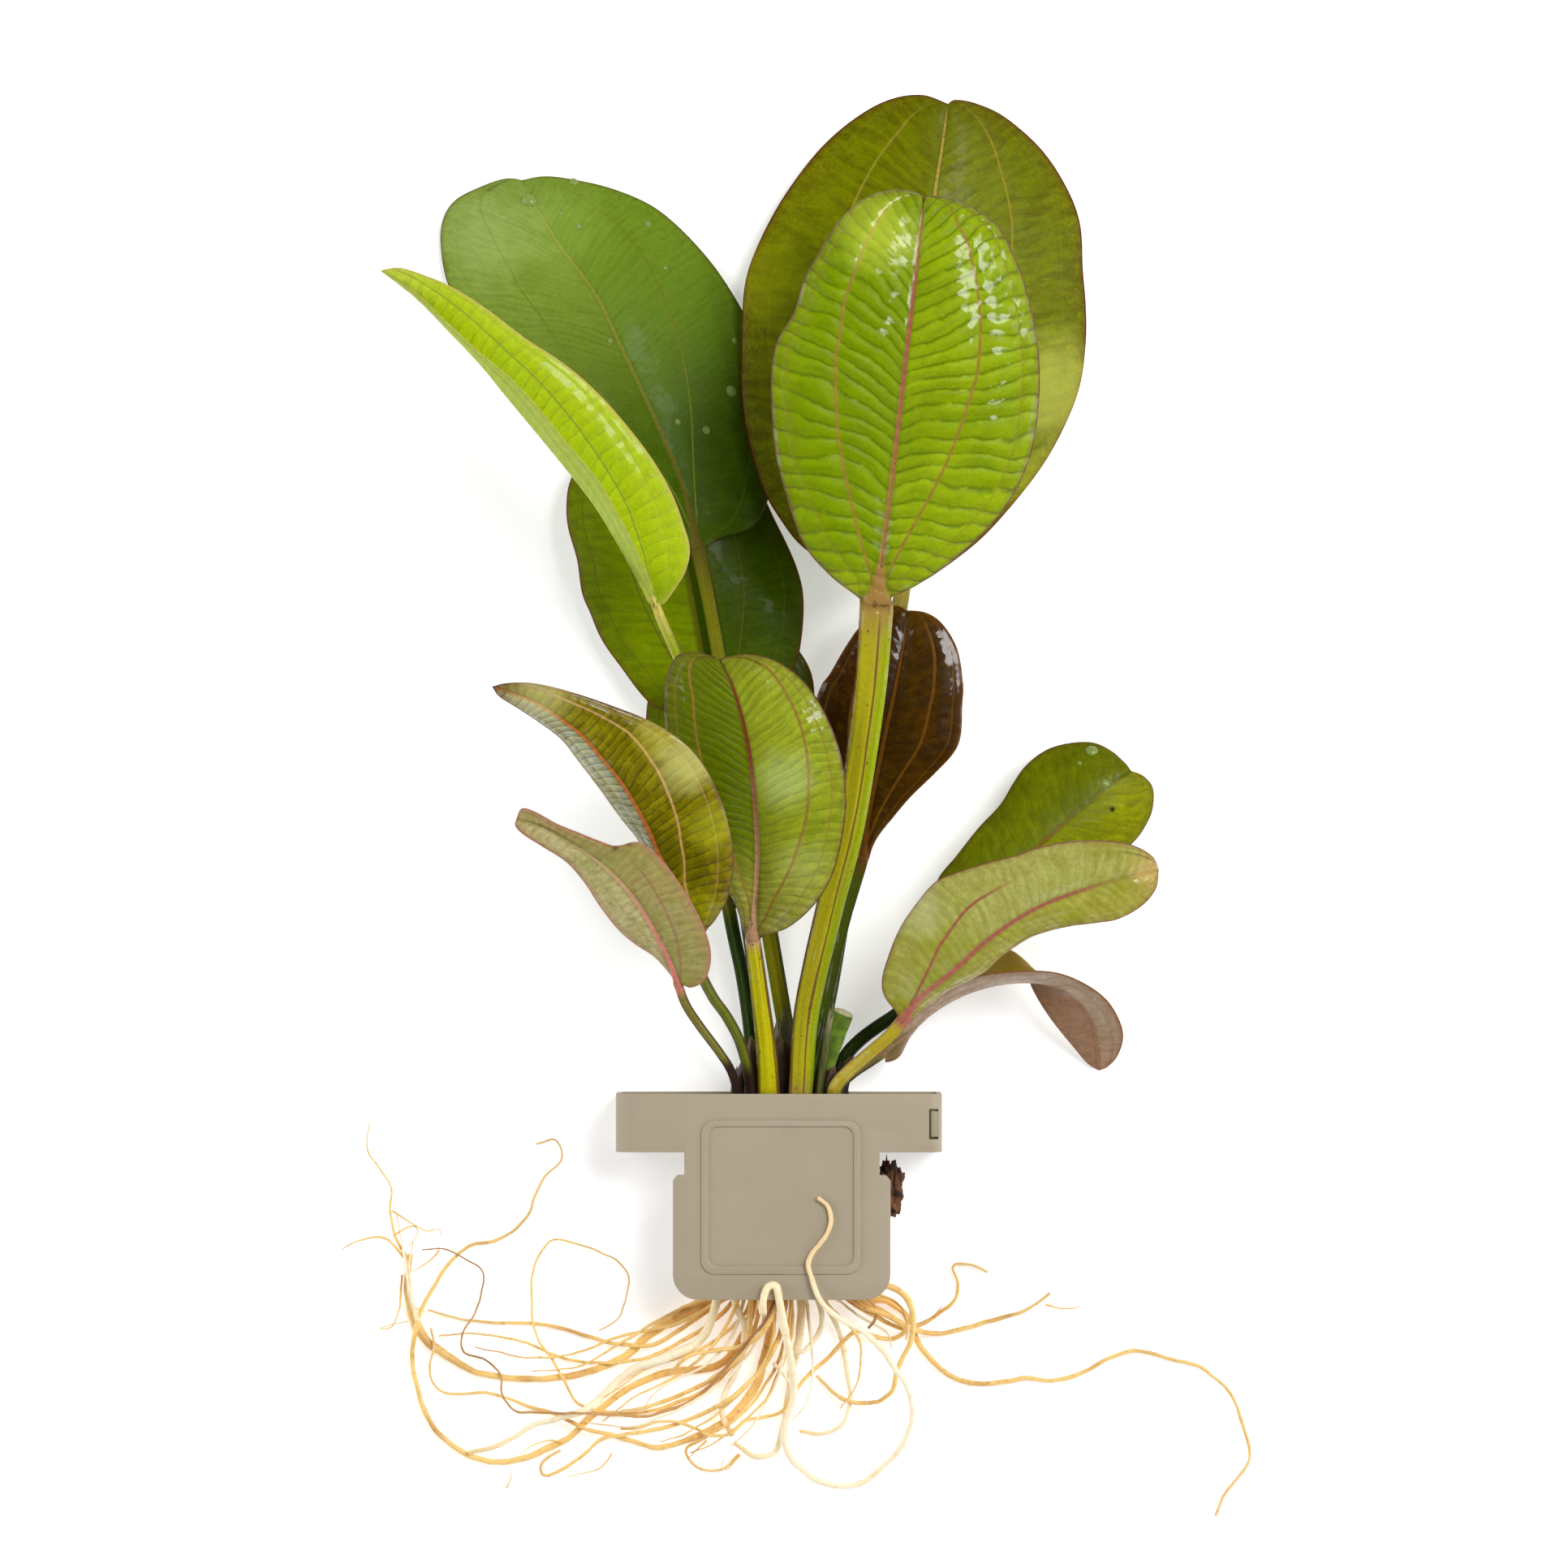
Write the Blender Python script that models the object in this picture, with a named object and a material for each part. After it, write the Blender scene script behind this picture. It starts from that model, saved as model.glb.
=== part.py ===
"""A sword plant pulled from its pot, lying on its back with its planting clip and bare roots.

Leaf tips point to +Y, the roots to -Y, and the plant lies on z = 0. Places across and down
the plant are counted in steps of 0.15 mm, as seen by an eye 2.4 m above the surface, and
heights above the surface are in millimetres.
"""

import math

import bmesh
import bpy
import numpy as np
from mathutils import Vector

for item in list(bpy.data.objects):
    bpy.data.objects.remove(item)

MM = 0.001

# The view that the places are counted in: its middle, and its eye above the clip's front.
STEP = 0.15
MIDDLE = 966
MIDDLE_X, MIDDLE_Y = -2.25, 4.1
EYE, CLIP_FRONT = 2400, 20

plant = bpy.data.collections.new("echinodorus_plant")
bpy.context.scene.collection.children.link(plant)
tools = bpy.data.collections.new("cutters")
bpy.context.scene.collection.children.link(tools)


def spot(across, down, height):
    """A place in millimetres from steps across and down the view and a height."""
    scale = STEP * (EYE - height) / (EYE - CLIP_FRONT)
    x = MIDDLE_X + (across - MIDDLE) * scale
    y = MIDDLE_Y + (MIDDLE - down) * scale
    return Vector((x, y, height))


def colour(name, red, green, blue, rough):
    material = bpy.data.materials.new(name)
    material.use_nodes = True
    shader = material.node_tree.nodes["Principled BSDF"]
    shader.inputs["Base Color"].default_value = (red, green, blue, 1)
    shader.inputs["Roughness"].default_value = rough
    return material


OLIVE = colour("olive_leaf", 0.16, 0.20, 0.02, 0.4)
YOUNG = colour("young_leaf", 0.32, 0.42, 0.03, 0.4)
GREEN = colour("green_leaf", 0.12, 0.25, 0.03, 0.4)
DARK = colour("dark_leaf", 0.05, 0.13, 0.02, 0.4)
MAROON = colour("maroon_leaf", 0.10, 0.035, 0.01, 0.35)
PALE = colour("pale_leaf", 0.40, 0.38, 0.15, 0.4)
CROWN = colour("crown", 0.10, 0.06, 0.03, 0.8)
GOLDEN_ROOT = colour("golden_root", 0.70, 0.42, 0.14, 0.5)
PALE_ROOT = colour("pale_root", 0.82, 0.68, 0.42, 0.5)
DARK_ROOT = colour("dark_root", 0.22, 0.11, 0.04, 0.5)
PLASTIC = colour("clip_plastic", 0.43, 0.37, 0.27, 0.5)


def node(name, mesh, material):
    """Adds a finished mesh to the plant as one named piece."""
    mesh.name = name
    mesh.materials.clear()
    mesh.materials.append(material)
    piece = bpy.data.objects.new(name, mesh)
    plant.objects.link(piece)
    return piece


# Curves through measured points, each stretch cut into short straight steps.
FINE = 16


def smooth(points, count, shares=None):
    """Points along a smooth curve through the given ones, evenly spaced or at given shares."""
    given = np.array([tuple(p) for p in points], float)
    first = 2 * given[0] - given[1]
    last = 2 * given[-1] - given[-2]
    padded = np.vstack([first, given, last])
    fine = []
    for i in range(len(given) - 1):
        a, b, c, d = padded[i : i + 4]
        for t in np.linspace(0, 1, FINE, endpoint=False):
            fine.append(
                0.5 * (2 * b + (c - a) * t + (2 * a - 5 * b + 4 * c - d) * t**2)
                + 0.5 * (3 * b - a - 3 * c + d) * t**3
            )
    fine.append(given[-1])
    fine = np.array(fine)
    steps = np.linalg.norm(np.diff(fine, axis=0), axis=1)
    along = np.concatenate([[0], np.cumsum(steps)])
    if shares is None:
        shares = np.linspace(0, 1, count)
    wanted = shares * along[-1]
    return np.stack([np.interp(wanted, along, fine[:, k]) for k in range(3)], axis=1)


# Leaves: a stalk that becomes the midrib of a blade hung between two margins.
STALK_ROWS, BLADE_ROWS = 8, 13
EDGE = 0.38
SPREAD = np.array([-1.0, -0.55, 0.0, 0.55, 1.0])


def leaf(name, stalk, midrib, left, right, girth, arch, material):
    """One leaf: stalk and blade in one skin.

    stalk runs from the crown to the foot of the blade, midrib from the foot to the tip, and
    the margins from just past the foot to just short of the tip. girth is the half width and
    half depth of the stalk at the crown and at the foot. arch lifts the middle of each half.
    """
    stalk_line = smooth([spot(*p) for p in stalk], STALK_ROWS)
    foot = spot(*midrib[0])
    tip = spot(*midrib[-1])
    even = np.linspace(0, 1, BLADE_ROWS)
    shares = 0.5 * even + 0.25 * (1 - np.cos(math.pi * even))
    middle_line = smooth([spot(*p) for p in midrib], BLADE_ROWS, shares)
    wide_in, deep_in, wide_out, deep_out = girth
    heading = middle_line[1] - middle_line[0]
    side = np.cross(heading, [0, 0, 1])
    side /= np.linalg.norm(side)
    near = [foot - Vector(side * wide_out)] + [spot(*p) for p in left] + [tip]
    far = [foot + Vector(side * wide_out)] + [spot(*p) for p in right] + [tip]
    left_line = smooth(near, BLADE_ROWS, shares)
    right_line = smooth(far, BLADE_ROWS, shares)

    grid, depths = [], []
    for i, centre in enumerate(stalk_line[:-1]):
        t = i / (len(stalk_line) - 1)
        along = stalk_line[i + 1] - stalk_line[max(i - 1, 0)]
        across = np.cross(along, [0, 0, 1])
        across /= np.linalg.norm(across)
        wide = wide_in + (wide_out - wide_in) * t
        deep = deep_in + (deep_out - deep_in) * t
        grid.append([centre + across * wide * v for v in SPREAD])
        depths.append([deep * math.sqrt(1 - v * v) for v in SPREAD])
    for i in range(BLADE_ROWS - 1):
        t = shares[i]
        middle = middle_line[i]
        row, depth = [], []
        for v in SPREAD:
            edge = left_line[i] if v < 0 else right_line[i]
            place = middle + (edge - middle) * abs(v)
            place[2] += arch * 4 * abs(v) * (1 - abs(v)) * math.sin(math.pi * t) ** 0.5
            half = np.linalg.norm(edge - middle)
            rib_wide = wide_out * (1 - 0.7 * t)
            rib_deep = deep_out * (1 - t) ** 1.5
            reach = abs(v) * half / rib_wide
            rib = rib_deep * math.sqrt(max(0.0, 1 - reach * reach))
            flat = 0.0 if abs(v) == 1 else EDGE * min(1.0, half / 2)
            row.append(place)
            depth.append(max(rib, flat))
        grid.append(row)
        depths.append(depth)

    grid = np.array(grid)
    depths = np.array(depths)
    down_line = np.gradient(grid, axis=0)
    across_line = np.gradient(grid, axis=1)
    normal = np.cross(across_line, down_line)
    normal /= np.linalg.norm(normal, axis=2)[:, :, None]
    grid[:, :, 2] = np.maximum(grid[:, :, 2], depths * np.abs(normal[:, :, 2]) + 0.02)
    upper = grid + normal * depths[:, :, None]
    lower = grid - normal * depths[:, :, None]
    lower[:, :, 2] = np.maximum(lower[:, :, 2], 0)
    upper[:, :, 2] = np.maximum(upper[:, :, 2], 0)

    work = bmesh.new()
    rings = []
    for top, bottom in zip(upper, lower):
        places = list(top) + list(bottom[-2:0:-1])
        rings.append([work.verts.new(Vector(p) * MM) for p in places])
    for one, two in zip(rings, rings[1:]):
        for k in range(len(one)):
            j = (k + 1) % len(one)
            work.faces.new((one[k], one[j], two[j], two[k]))
    work.faces.new(rings[0])
    end = work.verts.new(tip * MM)
    last = rings[-1]
    for k in range(len(last)):
        work.faces.new((last[k], last[(k + 1) % len(last)], end))
    bmesh.ops.recalc_face_normals(work, faces=work.faces)
    mesh = bpy.data.meshes.new(name)
    work.to_mesh(mesh)
    work.free()
    return node(name, mesh, material)


leaf(
    "leaf_back_right",
    [(1004, 1362, 4.6), (1010, 1290, 5.2), (1026, 1200, 6.5), (1046, 1080, 8),
     (1070, 950, 9.5), (1094, 830, 10.8), (1109, 745, 11.5), (1112, 722, 11.7)],
    [(1112, 722, 11.7), (1118, 640, 12.6), (1126, 540, 13), (1135, 430, 12.5),
     (1144, 320, 10.8), (1152, 238, 8.6), (1160, 187, 6.6), (1168, 128, 4.2)],
    [(1078, 722, 11.8), (1035, 704, 11.8), (989, 674, 11.4), (963, 642, 11), (940, 602, 10.6),
     (922, 544, 10), (914, 491, 9.4), (913, 437, 8.8), (914, 392, 8), (918, 348, 7),
     (931, 308, 5.9), (958, 254, 4.6), (989, 209, 3.5), (1025, 169, 2.9), (1065, 138, 2.8),
     (1101, 121, 3), (1137, 117, 3.6)],
    [(1145, 712, 10.5), (1182, 686, 9.5), (1217, 656, 8.6), (1257, 611, 7.4), (1289, 567, 6.3),
     (1315, 518, 5), (1331, 473, 3.8), (1338, 419, 2.6), (1338, 375, 1.6), (1334, 330, 0.8),
     (1331, 276, 0.2), (1315, 232, 0), (1284, 185, 0.5), (1239, 145, 1.6), (1204, 128, 2.6),
     (1178, 123, 3.6)],
    (1.5, 1.2, 1.5, 1.2), 1.2, OLIVE,
)
leaf(
    "leaf_front_right",
    [(985, 1362, 13.8), (987, 1335, 14.3), (992, 1260, 17), (1003, 1200, 19.5),
     (1023, 1115, 23), (1048, 1013, 27.5), (1071, 860, 33), (1079, 765, 36), (1080, 742, 36.6)],
    [(1080, 742, 36.6), (1090, 660, 39), (1104, 549, 41.5), (1114, 459, 42.8), (1123, 384, 43),
     (1132, 303, 42), (1138, 244, 40.5)],
    [(1056, 735, 37.5), (1021, 708, 39), (989, 669, 40.4), (969, 611, 41.6), (956, 562, 42.2),
     (951, 509, 42.8), (950, 459, 43), (957, 420, 43), (978, 384, 43), (991, 343, 42.8),
     (1011, 308, 42.4), (1037, 268, 41.6), (1068, 243, 41), (1101, 234, 40.6), (1126, 237, 40.5)],
    [(1100, 735, 37), (1128, 722, 37.8), (1172, 692, 38.6), (1217, 651, 39.2), (1248, 611, 39.6),
     (1268, 567, 40), (1277, 526, 40.2), (1281, 482, 40.4), (1280, 437, 40.6), (1273, 392, 40.6),
     (1262, 348, 40.6), (1248, 312, 40.6), (1231, 281, 40.6), (1204, 259, 40.5),
     (1172, 245, 40.4), (1150, 241, 40.4)],
    (2.2, 1.7, 3.1, 1.5), 1.6, YOUNG,
)
leaf(
    "leaf_maroon",
    [(996, 1362, 8), (1004, 1310, 8.4), (1020, 1225, 9.4), (1037, 1145, 10.8),
     (1053, 1090, 12.2), (1062, 1060, 13)],
    [(1062, 1060, 13), (1072, 1000, 14.2), (1088, 920, 15), (1103, 850, 15.2), (1113, 795, 14.8),
     (1118, 752, 14)],
    [(1048, 1045, 13), (1020, 985, 13.4), (1004, 925, 13.6), (1002, 880, 13.6), (1011, 847, 13.6),
     (1023, 830, 13.6), (1036, 807, 13.6), (1047, 789, 13.6), (1058, 774, 13.6), (1079, 756, 13.7),
     (1101, 746, 13.9)],
    [(1079, 1036, 13.2), (1101, 1008, 13.8), (1123, 982, 14.4), (1152, 953, 15.2),
     (1175, 928, 15.8), (1184, 906, 16), (1186, 869, 16.2), (1187, 843, 16.2), (1180, 800, 15.8),
     (1162, 769, 15.2), (1142, 755, 14.6)],
    (1.2, 1.0, 1.2, 1.0), 0.8, MAROON,
)
leaf(
    "leaf_back_left",
    [(977, 1362, 5.2), (973, 1300, 5.6), (962, 1230, 6.4), (949, 1153, 7.4), (932, 1050, 8.6),
     (908, 920, 10), (887, 810, 11), (874, 739, 11.5), (860, 676, 12)],
    [(860, 676, 12), (850, 630, 12.4), (837, 587, 12.6), (806, 514, 12.6), (764, 425, 11.6),
     (733, 362, 10), (691, 305, 7.6), (660, 256, 5.4), (643, 222, 3.6)],
    [(838, 655, 10.6), (795, 605, 9.4), (738, 555, 8), (680, 480, 6.2), (612, 412, 4),
     (574, 377, 2.6), (552, 350, 1.8), (543, 300, 1), (547, 268, 1), (563, 245, 1.4),
     (597, 228, 2.2), (623, 220, 3)],
    [(889, 662, 10.4), (926, 650, 9), (946, 618, 7.4), (958, 560, 5.6), (958, 500, 4.6),
     (944, 440, 3.6), (922, 395, 2.4), (900, 357, 1.6), (874, 321, 1), (837, 281, 0.6),
     (801, 253, 0.6), (754, 233, 1), (707, 221, 2), (672, 217, 3)],
    (1.6, 1.3, 1.4, 1.1), 1.0, GREEN,
)
leaf(
    "leaf_front_middle",
    [(948, 1362, 13.6), (947, 1335, 14.2), (944, 1290, 16.5), (938, 1240, 20), (927, 1156, 26.5)],
    [(927, 1156, 26.5), (930, 1113, 29.5), (933, 1057, 32.8), (931, 1002, 35.4),
     (926, 946, 37.6), (917, 895, 39), (903, 847, 39.6), (886, 812, 39.2)],
    [(904, 1110, 30.2), (874, 1070, 32), (846, 1015, 33.6), (829, 955, 34.8), (820, 891, 35.6),
     (819, 861, 36), (822, 832, 36.8), (832, 810, 37.6), (847, 803, 38.2), (868, 806, 38.8)],
    [(944, 1152, 27.8), (972, 1143, 29.6), (1002, 1117, 31.6), (1024, 1083, 33.4),
     (1035, 1046, 34.8), (1042, 1002, 36), (1042, 972, 36.8), (1037, 935, 37.6), (1024, 895, 38.2),
     (1005, 858, 38.6), (983, 832, 38.9), (954, 813, 39), (924, 806, 39.1), (903, 808, 39.1)],
    (1.5, 1.4, 1.4, 1.1), 1.4, GREEN,
)
leaf(
    "leaf_left_edge_on",
    [(957, 1362, 9.4), (953, 1320, 10), (943, 1250, 12), (925, 1130, 16), (895, 1000, 20.5),
     (862, 890, 25), (836, 812, 28.5), (815, 764, 31), (809, 748, 32)],
    [(809, 748, 32), (787, 712, 33.2), (763, 671, 34.4), (737, 628, 35.4), (706, 587, 36.2),
     (659, 530, 37), (624, 488, 37.3), (591, 448, 37.4), (550, 405, 37.2), (512, 367, 36.6),
     (469, 333, 35.4)],
    [(803, 724, 34.8), (792, 695, 38), (775, 658, 41), (758, 628, 43), (739, 595, 44.4),
     (715, 565, 45.2), (692, 539, 45.6), (666, 506, 45.4), (632, 469, 44.6), (589, 433, 43),
     (549, 396, 40.8), (512, 361, 38.4), (490, 345, 36.8)],
    [(820, 742, 32), (835, 721, 32.4), (846, 701, 32.8), (850, 675, 33.4), (841, 642, 34),
     (828, 608, 34.6), (808, 572, 35.2), (782, 536, 35.8), (748, 496, 36.4), (715, 464, 36.8),
     (682, 439, 37), (649, 418, 37.2), (599, 380, 37.2), (556, 353, 36.8), (523, 339, 36.2),
     (493, 330, 35.6)],
    (1.2, 1.1, 0.9, 0.9), 0.5, YOUNG,
)
leaf(
    "leaf_back_middle",
    [(950, 1362, 5.0), (944, 1300, 5.4), (930, 1200, 5.8), (912, 1080, 6), (894, 960, 6.6),
     (882, 890, 7)],
    [(882, 890, 7), (868, 820, 7.8), (853, 740, 8.4), (838, 660, 8.4), (824, 590, 7.8),
     (812, 530, 6.6)],
    [(862, 884, 6), (830, 880, 6), (798, 864, 6), (764, 821, 6), (741, 788, 5.8), (727, 755, 5.6),
     (717, 730, 5.4), (711, 690, 5.2), (700, 651, 5), (698, 621, 5), (703, 592, 5),
     (722, 560, 5), (760, 530, 5), (790, 522, 5.6)],
    [(905, 886, 6), (938, 876, 6), (965, 850, 6), (982, 815, 6), (989, 774, 6), (990, 735, 5.8),
     (984, 706, 5.4), (972, 676, 5), (955, 641, 4.4), (935, 600, 4), (905, 560, 4),
     (865, 530, 4.4), (835, 522, 5.4)],
    (1.2, 1.1, 1.2, 0.9), 0.6, DARK,
)
leaf(
    "leaf_back_hidden",
    [(928, 1362, 6.2), (928, 1320, 5.8), (923, 1260, 4.8), (915, 1204, 3.8), (905, 1156, 3.2),
     (898, 1120, 3)],
    [(898, 1120, 3), (896, 1050, 2.8), (897, 970, 2.6), (899, 890, 2.2), (902, 810, 1.6),
     (903, 765, 1.2)],
    [(880, 1110, 2.6), (838, 1070, 2), (808, 1000, 1.6), (798, 930, 1.4), (797, 870, 1.2),
     (812, 810, 1), (850, 772, 1), (880, 762, 1)],
    [(915, 1112, 2.6), (952, 1075, 2), (985, 1005, 1.6), (1002, 920, 1.4), (1004, 860, 1.2),
     (996, 820, 1), (965, 780, 1), (928, 764, 1)],
    (1.3, 1.2, 1.4, 1.0), 0.6, DARK,
)
leaf(
    "leaf_left_olive",
    [(926, 1362, 13), (924, 1335, 14), (919, 1308, 16), (910, 1280, 19), (895, 1252, 22.5),
     (878, 1228, 26), (862, 1196, 29.5), (856, 1172, 32)],
    [(856, 1172, 32), (846, 1125, 35), (829, 1082, 38), (811, 1050, 40), (801, 1026, 41.4),
     (785, 996, 43), (766, 965, 44.4), (744, 938, 45.8), (719, 908, 47), (691, 886, 48),
     (664, 868, 48.5), (630, 853, 48.4), (606, 846, 48)],
    [(846, 1160, 31.5), (826, 1120, 32), (804, 1075, 33), (787, 1037, 34.5), (765, 1009, 36),
     (739, 972, 38), (713, 939, 40), (691, 911, 42), (665, 891, 44.2), (635, 871, 46.6),
     (615, 858, 47.6)],
    [(870, 1147, 34), (883, 1131, 35.4), (898, 1102, 37.6), (904, 1061, 40), (898, 1017, 42),
     (883, 972, 43.6), (861, 935, 45), (835, 909, 46), (798, 887, 47), (758, 871, 48),
     (721, 858, 48.8), (680, 846, 49.4), (650, 841, 49.4), (622, 842, 48.8)],
    (1.0, 1.0, 1.0, 0.9), 0.8, OLIVE,
)
leaf(
    "leaf_left_pale",
    [(908, 1362, 14.5), (907, 1340, 15.5), (900, 1318, 18), (886, 1296, 21.5),
     (862, 1264, 27), (845, 1238, 32), (836, 1214, 36)],
    [(836, 1214, 36), (826, 1185, 39.5), (809, 1152, 43.5), (793, 1124, 46.5), (771, 1094, 49),
     (744, 1067, 51), (711, 1042, 52.4), (672, 1020, 53), (636, 1009, 52.6)],
    [(826, 1200, 36.4), (807, 1179, 38.4), (782, 1163, 40.6), (760, 1144, 42.8), (738, 1116, 45.4),
     (719, 1086, 47.8), (697, 1061, 49.8), (667, 1042, 51.4), (645, 1028, 52.4),
     (635, 1018, 52.6)],
    [(851, 1217, 36.6), (867, 1209, 38), (875, 1190, 40), (875, 1166, 42.6), (864, 1135, 45.8),
     (848, 1105, 48.8), (826, 1072, 51.4), (804, 1048, 53), (785, 1037, 53.8), (760, 1042, 54),
     (744, 1038, 54), (713, 1026, 54), (686, 1015, 54), (659, 1000, 53.8), (643, 996, 53.2)],
    (0.8, 0.8, 0.85, 0.8), 0.6, PALE,
)
leaf(
    "leaf_right_pale",
    [(1026, 1362, 14.8), (1029, 1340, 15.6), (1045, 1321, 17.2), (1066, 1303, 19.2),
     (1095, 1278, 22.4), (1113, 1257, 25)],
    [(1113, 1257, 25), (1122, 1243, 26.2), (1139, 1224, 28), (1171, 1199, 30.6),
     (1210, 1164, 33.4), (1245, 1138, 35.4), (1283, 1116, 37), (1324, 1100, 38), (1375, 1084, 38.4),
     (1428, 1072, 37.6)],
    [(1103, 1246, 26), (1089, 1226, 27.6), (1087, 1205, 29), (1095, 1177, 31), (1108, 1145, 33),
     (1127, 1116, 34.8), (1152, 1087, 36.4), (1178, 1075, 37.4), (1216, 1063, 38.6),
     (1251, 1054, 39.4), (1283, 1043, 40), (1324, 1036, 40.4), (1363, 1036, 40.2),
     (1395, 1041, 39.4), (1420, 1055, 38.2)],
    [(1130, 1249, 24.4), (1150, 1234, 25), (1171, 1218, 26.2), (1210, 1199, 28.4),
     (1235, 1177, 30.6), (1264, 1157, 32.6), (1286, 1148, 34), (1318, 1141, 35.4),
     (1353, 1137, 36.4), (1379, 1132, 36.8), (1407, 1116, 37.2), (1424, 1095, 37.4)],
    (1.3, 1.2, 1.3, 1.1), 0.8, PALE,
)
leaf(
    "leaf_right_green",
    [(1032, 1362, 4.8), (1033, 1330, 5.4), (1041, 1303, 6.6), (1058, 1283, 7.8),
     (1080, 1266, 9), (1105, 1249, 10), (1130, 1225, 11), (1142, 1208, 11.6)],
    [(1142, 1208, 11.6), (1175, 1160, 12.6), (1220, 1105, 13), (1280, 1043, 12.4),
     (1308, 1017, 11.6), (1337, 992, 10.4), (1363, 971, 9), (1394, 950, 7)],
    [(1134, 1182, 12), (1140, 1130, 12), (1155, 1084, 11.6), (1178, 1055, 11), (1206, 1020, 10),
     (1232, 992, 9), (1248, 966, 8), (1264, 944, 7), (1289, 925, 6), (1318, 916, 5.6),
     (1347, 915, 5.6), (1369, 925, 6), (1385, 939, 6.6)],
    [(1166, 1196, 10.8), (1210, 1162, 9.6), (1265, 1118, 8), (1330, 1088, 6), (1370, 1060, 4.6),
     (1396, 1038, 4), (1410, 1020, 4), (1420, 998, 4.4), (1421, 972, 5.2), (1410, 957, 6.2)],
    (1.3, 1.2, 1.2, 0.9), 0.8, OLIVE,
)
leaf(
    "leaf_right_curled",
    [(1029, 1362, 8.5), (1034, 1338, 9), (1050, 1322, 9.8), (1070, 1309, 10.6), (1087, 1298, 11.4)],
    [(1087, 1298, 11.4), (1105, 1283, 12.2), (1125, 1267, 13), (1146, 1250, 14), (1171, 1234, 15),
     (1197, 1222, 16), (1229, 1213, 16.8), (1262, 1210, 17), (1290, 1213, 16.4),
     (1315, 1222, 14.8), (1338, 1245, 11.4), (1350, 1275, 7), (1354, 1319, 0.6)],
    [(1096, 1280, 14), (1116, 1256, 17), (1152, 1226, 20.4), (1184, 1208, 22.8), (1222, 1199, 24.4),
     (1267, 1196, 24.8), (1305, 1199, 23.4), (1337, 1212, 20.4), (1363, 1231, 16.4),
     (1379, 1256, 12), (1384, 1279, 8), (1377, 1301, 3.6), (1365, 1314, 1)],
    [(1092, 1309, 10), (1108, 1302, 8.4), (1120, 1277, 6.6), (1148, 1232, 5.6), (1180, 1203, 5.8),
     (1212, 1182, 6.4), (1243, 1170, 7.2), (1266, 1190, 8.4), (1270, 1214, 9), (1292, 1252, 7.6),
     (1325, 1293, 3), (1340, 1310, 1)],
    (1.2, 1.0, 1.0, 0.8), 0.3, PALE,
)


# The cut stalk beside the front leaf.
def solid_of(curve, name):
    """The closed mesh that a curve makes."""
    holder = bpy.data.objects.new(name, curve)
    plant.objects.link(holder)
    bpy.context.view_layer.update()
    seen = holder.evaluated_get(bpy.context.evaluated_depsgraph_get())
    mesh = bpy.data.meshes.new_from_object(seen)
    bpy.data.objects.remove(holder)
    work = bmesh.new()
    work.from_mesh(mesh)
    bmesh.ops.remove_doubles(work, verts=work.verts, dist=1e-6)
    bmesh.ops.recalc_face_normals(work, faces=work.faces)
    work.to_mesh(mesh)
    work.free()
    return mesh


def tube(name, places, radii, material, sides=1):
    """A round rod along places given in millimetres, with a radius at each."""
    curve = bpy.data.curves.new(name, "CURVE")
    curve.dimensions = "3D"
    curve.bevel_depth = MM
    curve.bevel_resolution = sides
    curve.use_fill_caps = True
    line = curve.splines.new("POLY")
    line.points.add(len(places) - 1)
    for point, place, radius in zip(line.points, places, radii):
        point.co = (*(Vector(place) * MM), 1)
        point.radius = radius
    return node(name, solid_of(curve, name), material)


tube(
    "cut_stalk",
    smooth([spot(1009, 1362, 11.2), spot(1011, 1335, 11.6), spot(1018, 1305, 12.6),
            spot(1028, 1275, 13.6), spot(1040, 1246, 14.6)], 6),
    [1.4, 1.5, 1.6, 1.7, 1.6, 1.4], GREEN, 2,
)


# The rhizome: a lumpy block that the stalks and roots grow from.
CORNERS = 14
SQUARENESS = 0.65


def lofted(name, sections, material):
    """Closed skin over squarish rings: (y, centre x, centre z, half width, half depth)."""
    work = bmesh.new()
    rings = []
    for y, x, z, wide, deep in sections:
        ring = []
        for k in range(CORNERS):
            turn = 2 * math.pi * (k + 0.5) / CORNERS
            c, s = math.cos(turn), math.sin(turn)
            dx = wide * math.copysign(abs(c) ** SQUARENESS, c)
            dz = deep * math.copysign(abs(s) ** SQUARENESS, s)
            ring.append(work.verts.new(Vector((x + dx, y, z + dz)) * MM))
        rings.append(ring)
    for one, two in zip(rings, rings[1:]):
        for k in range(CORNERS):
            j = (k + 1) % CORNERS
            work.faces.new((one[k], one[j], two[j], two[k]))
    work.faces.new(rings[0])
    work.faces.new(rings[-1])
    bmesh.ops.recalc_face_normals(work, faces=work.faces)
    mesh = bpy.data.meshes.new(name)
    work.to_mesh(mesh)
    work.free()
    return node(name, mesh, material)


lofted(
    "rhizome",
    [(-55.8, -1.4, 9.5, 10.6, 6.6), (-58, -1.4, 9.5, 11.4, 7.2), (-64, -1, 9.5, 11.6, 7.4),
     (-70, 0, 9.4, 12.2, 7.6), (-76, 0.6, 9.2, 13, 7.8), (-82, 1, 9, 13.4, 7.6),
     (-86, 1.2, 9, 13.2, 7.2), (-87.8, 1.2, 9, 12.2, 6.6)],
    CROWN,
)

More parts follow.
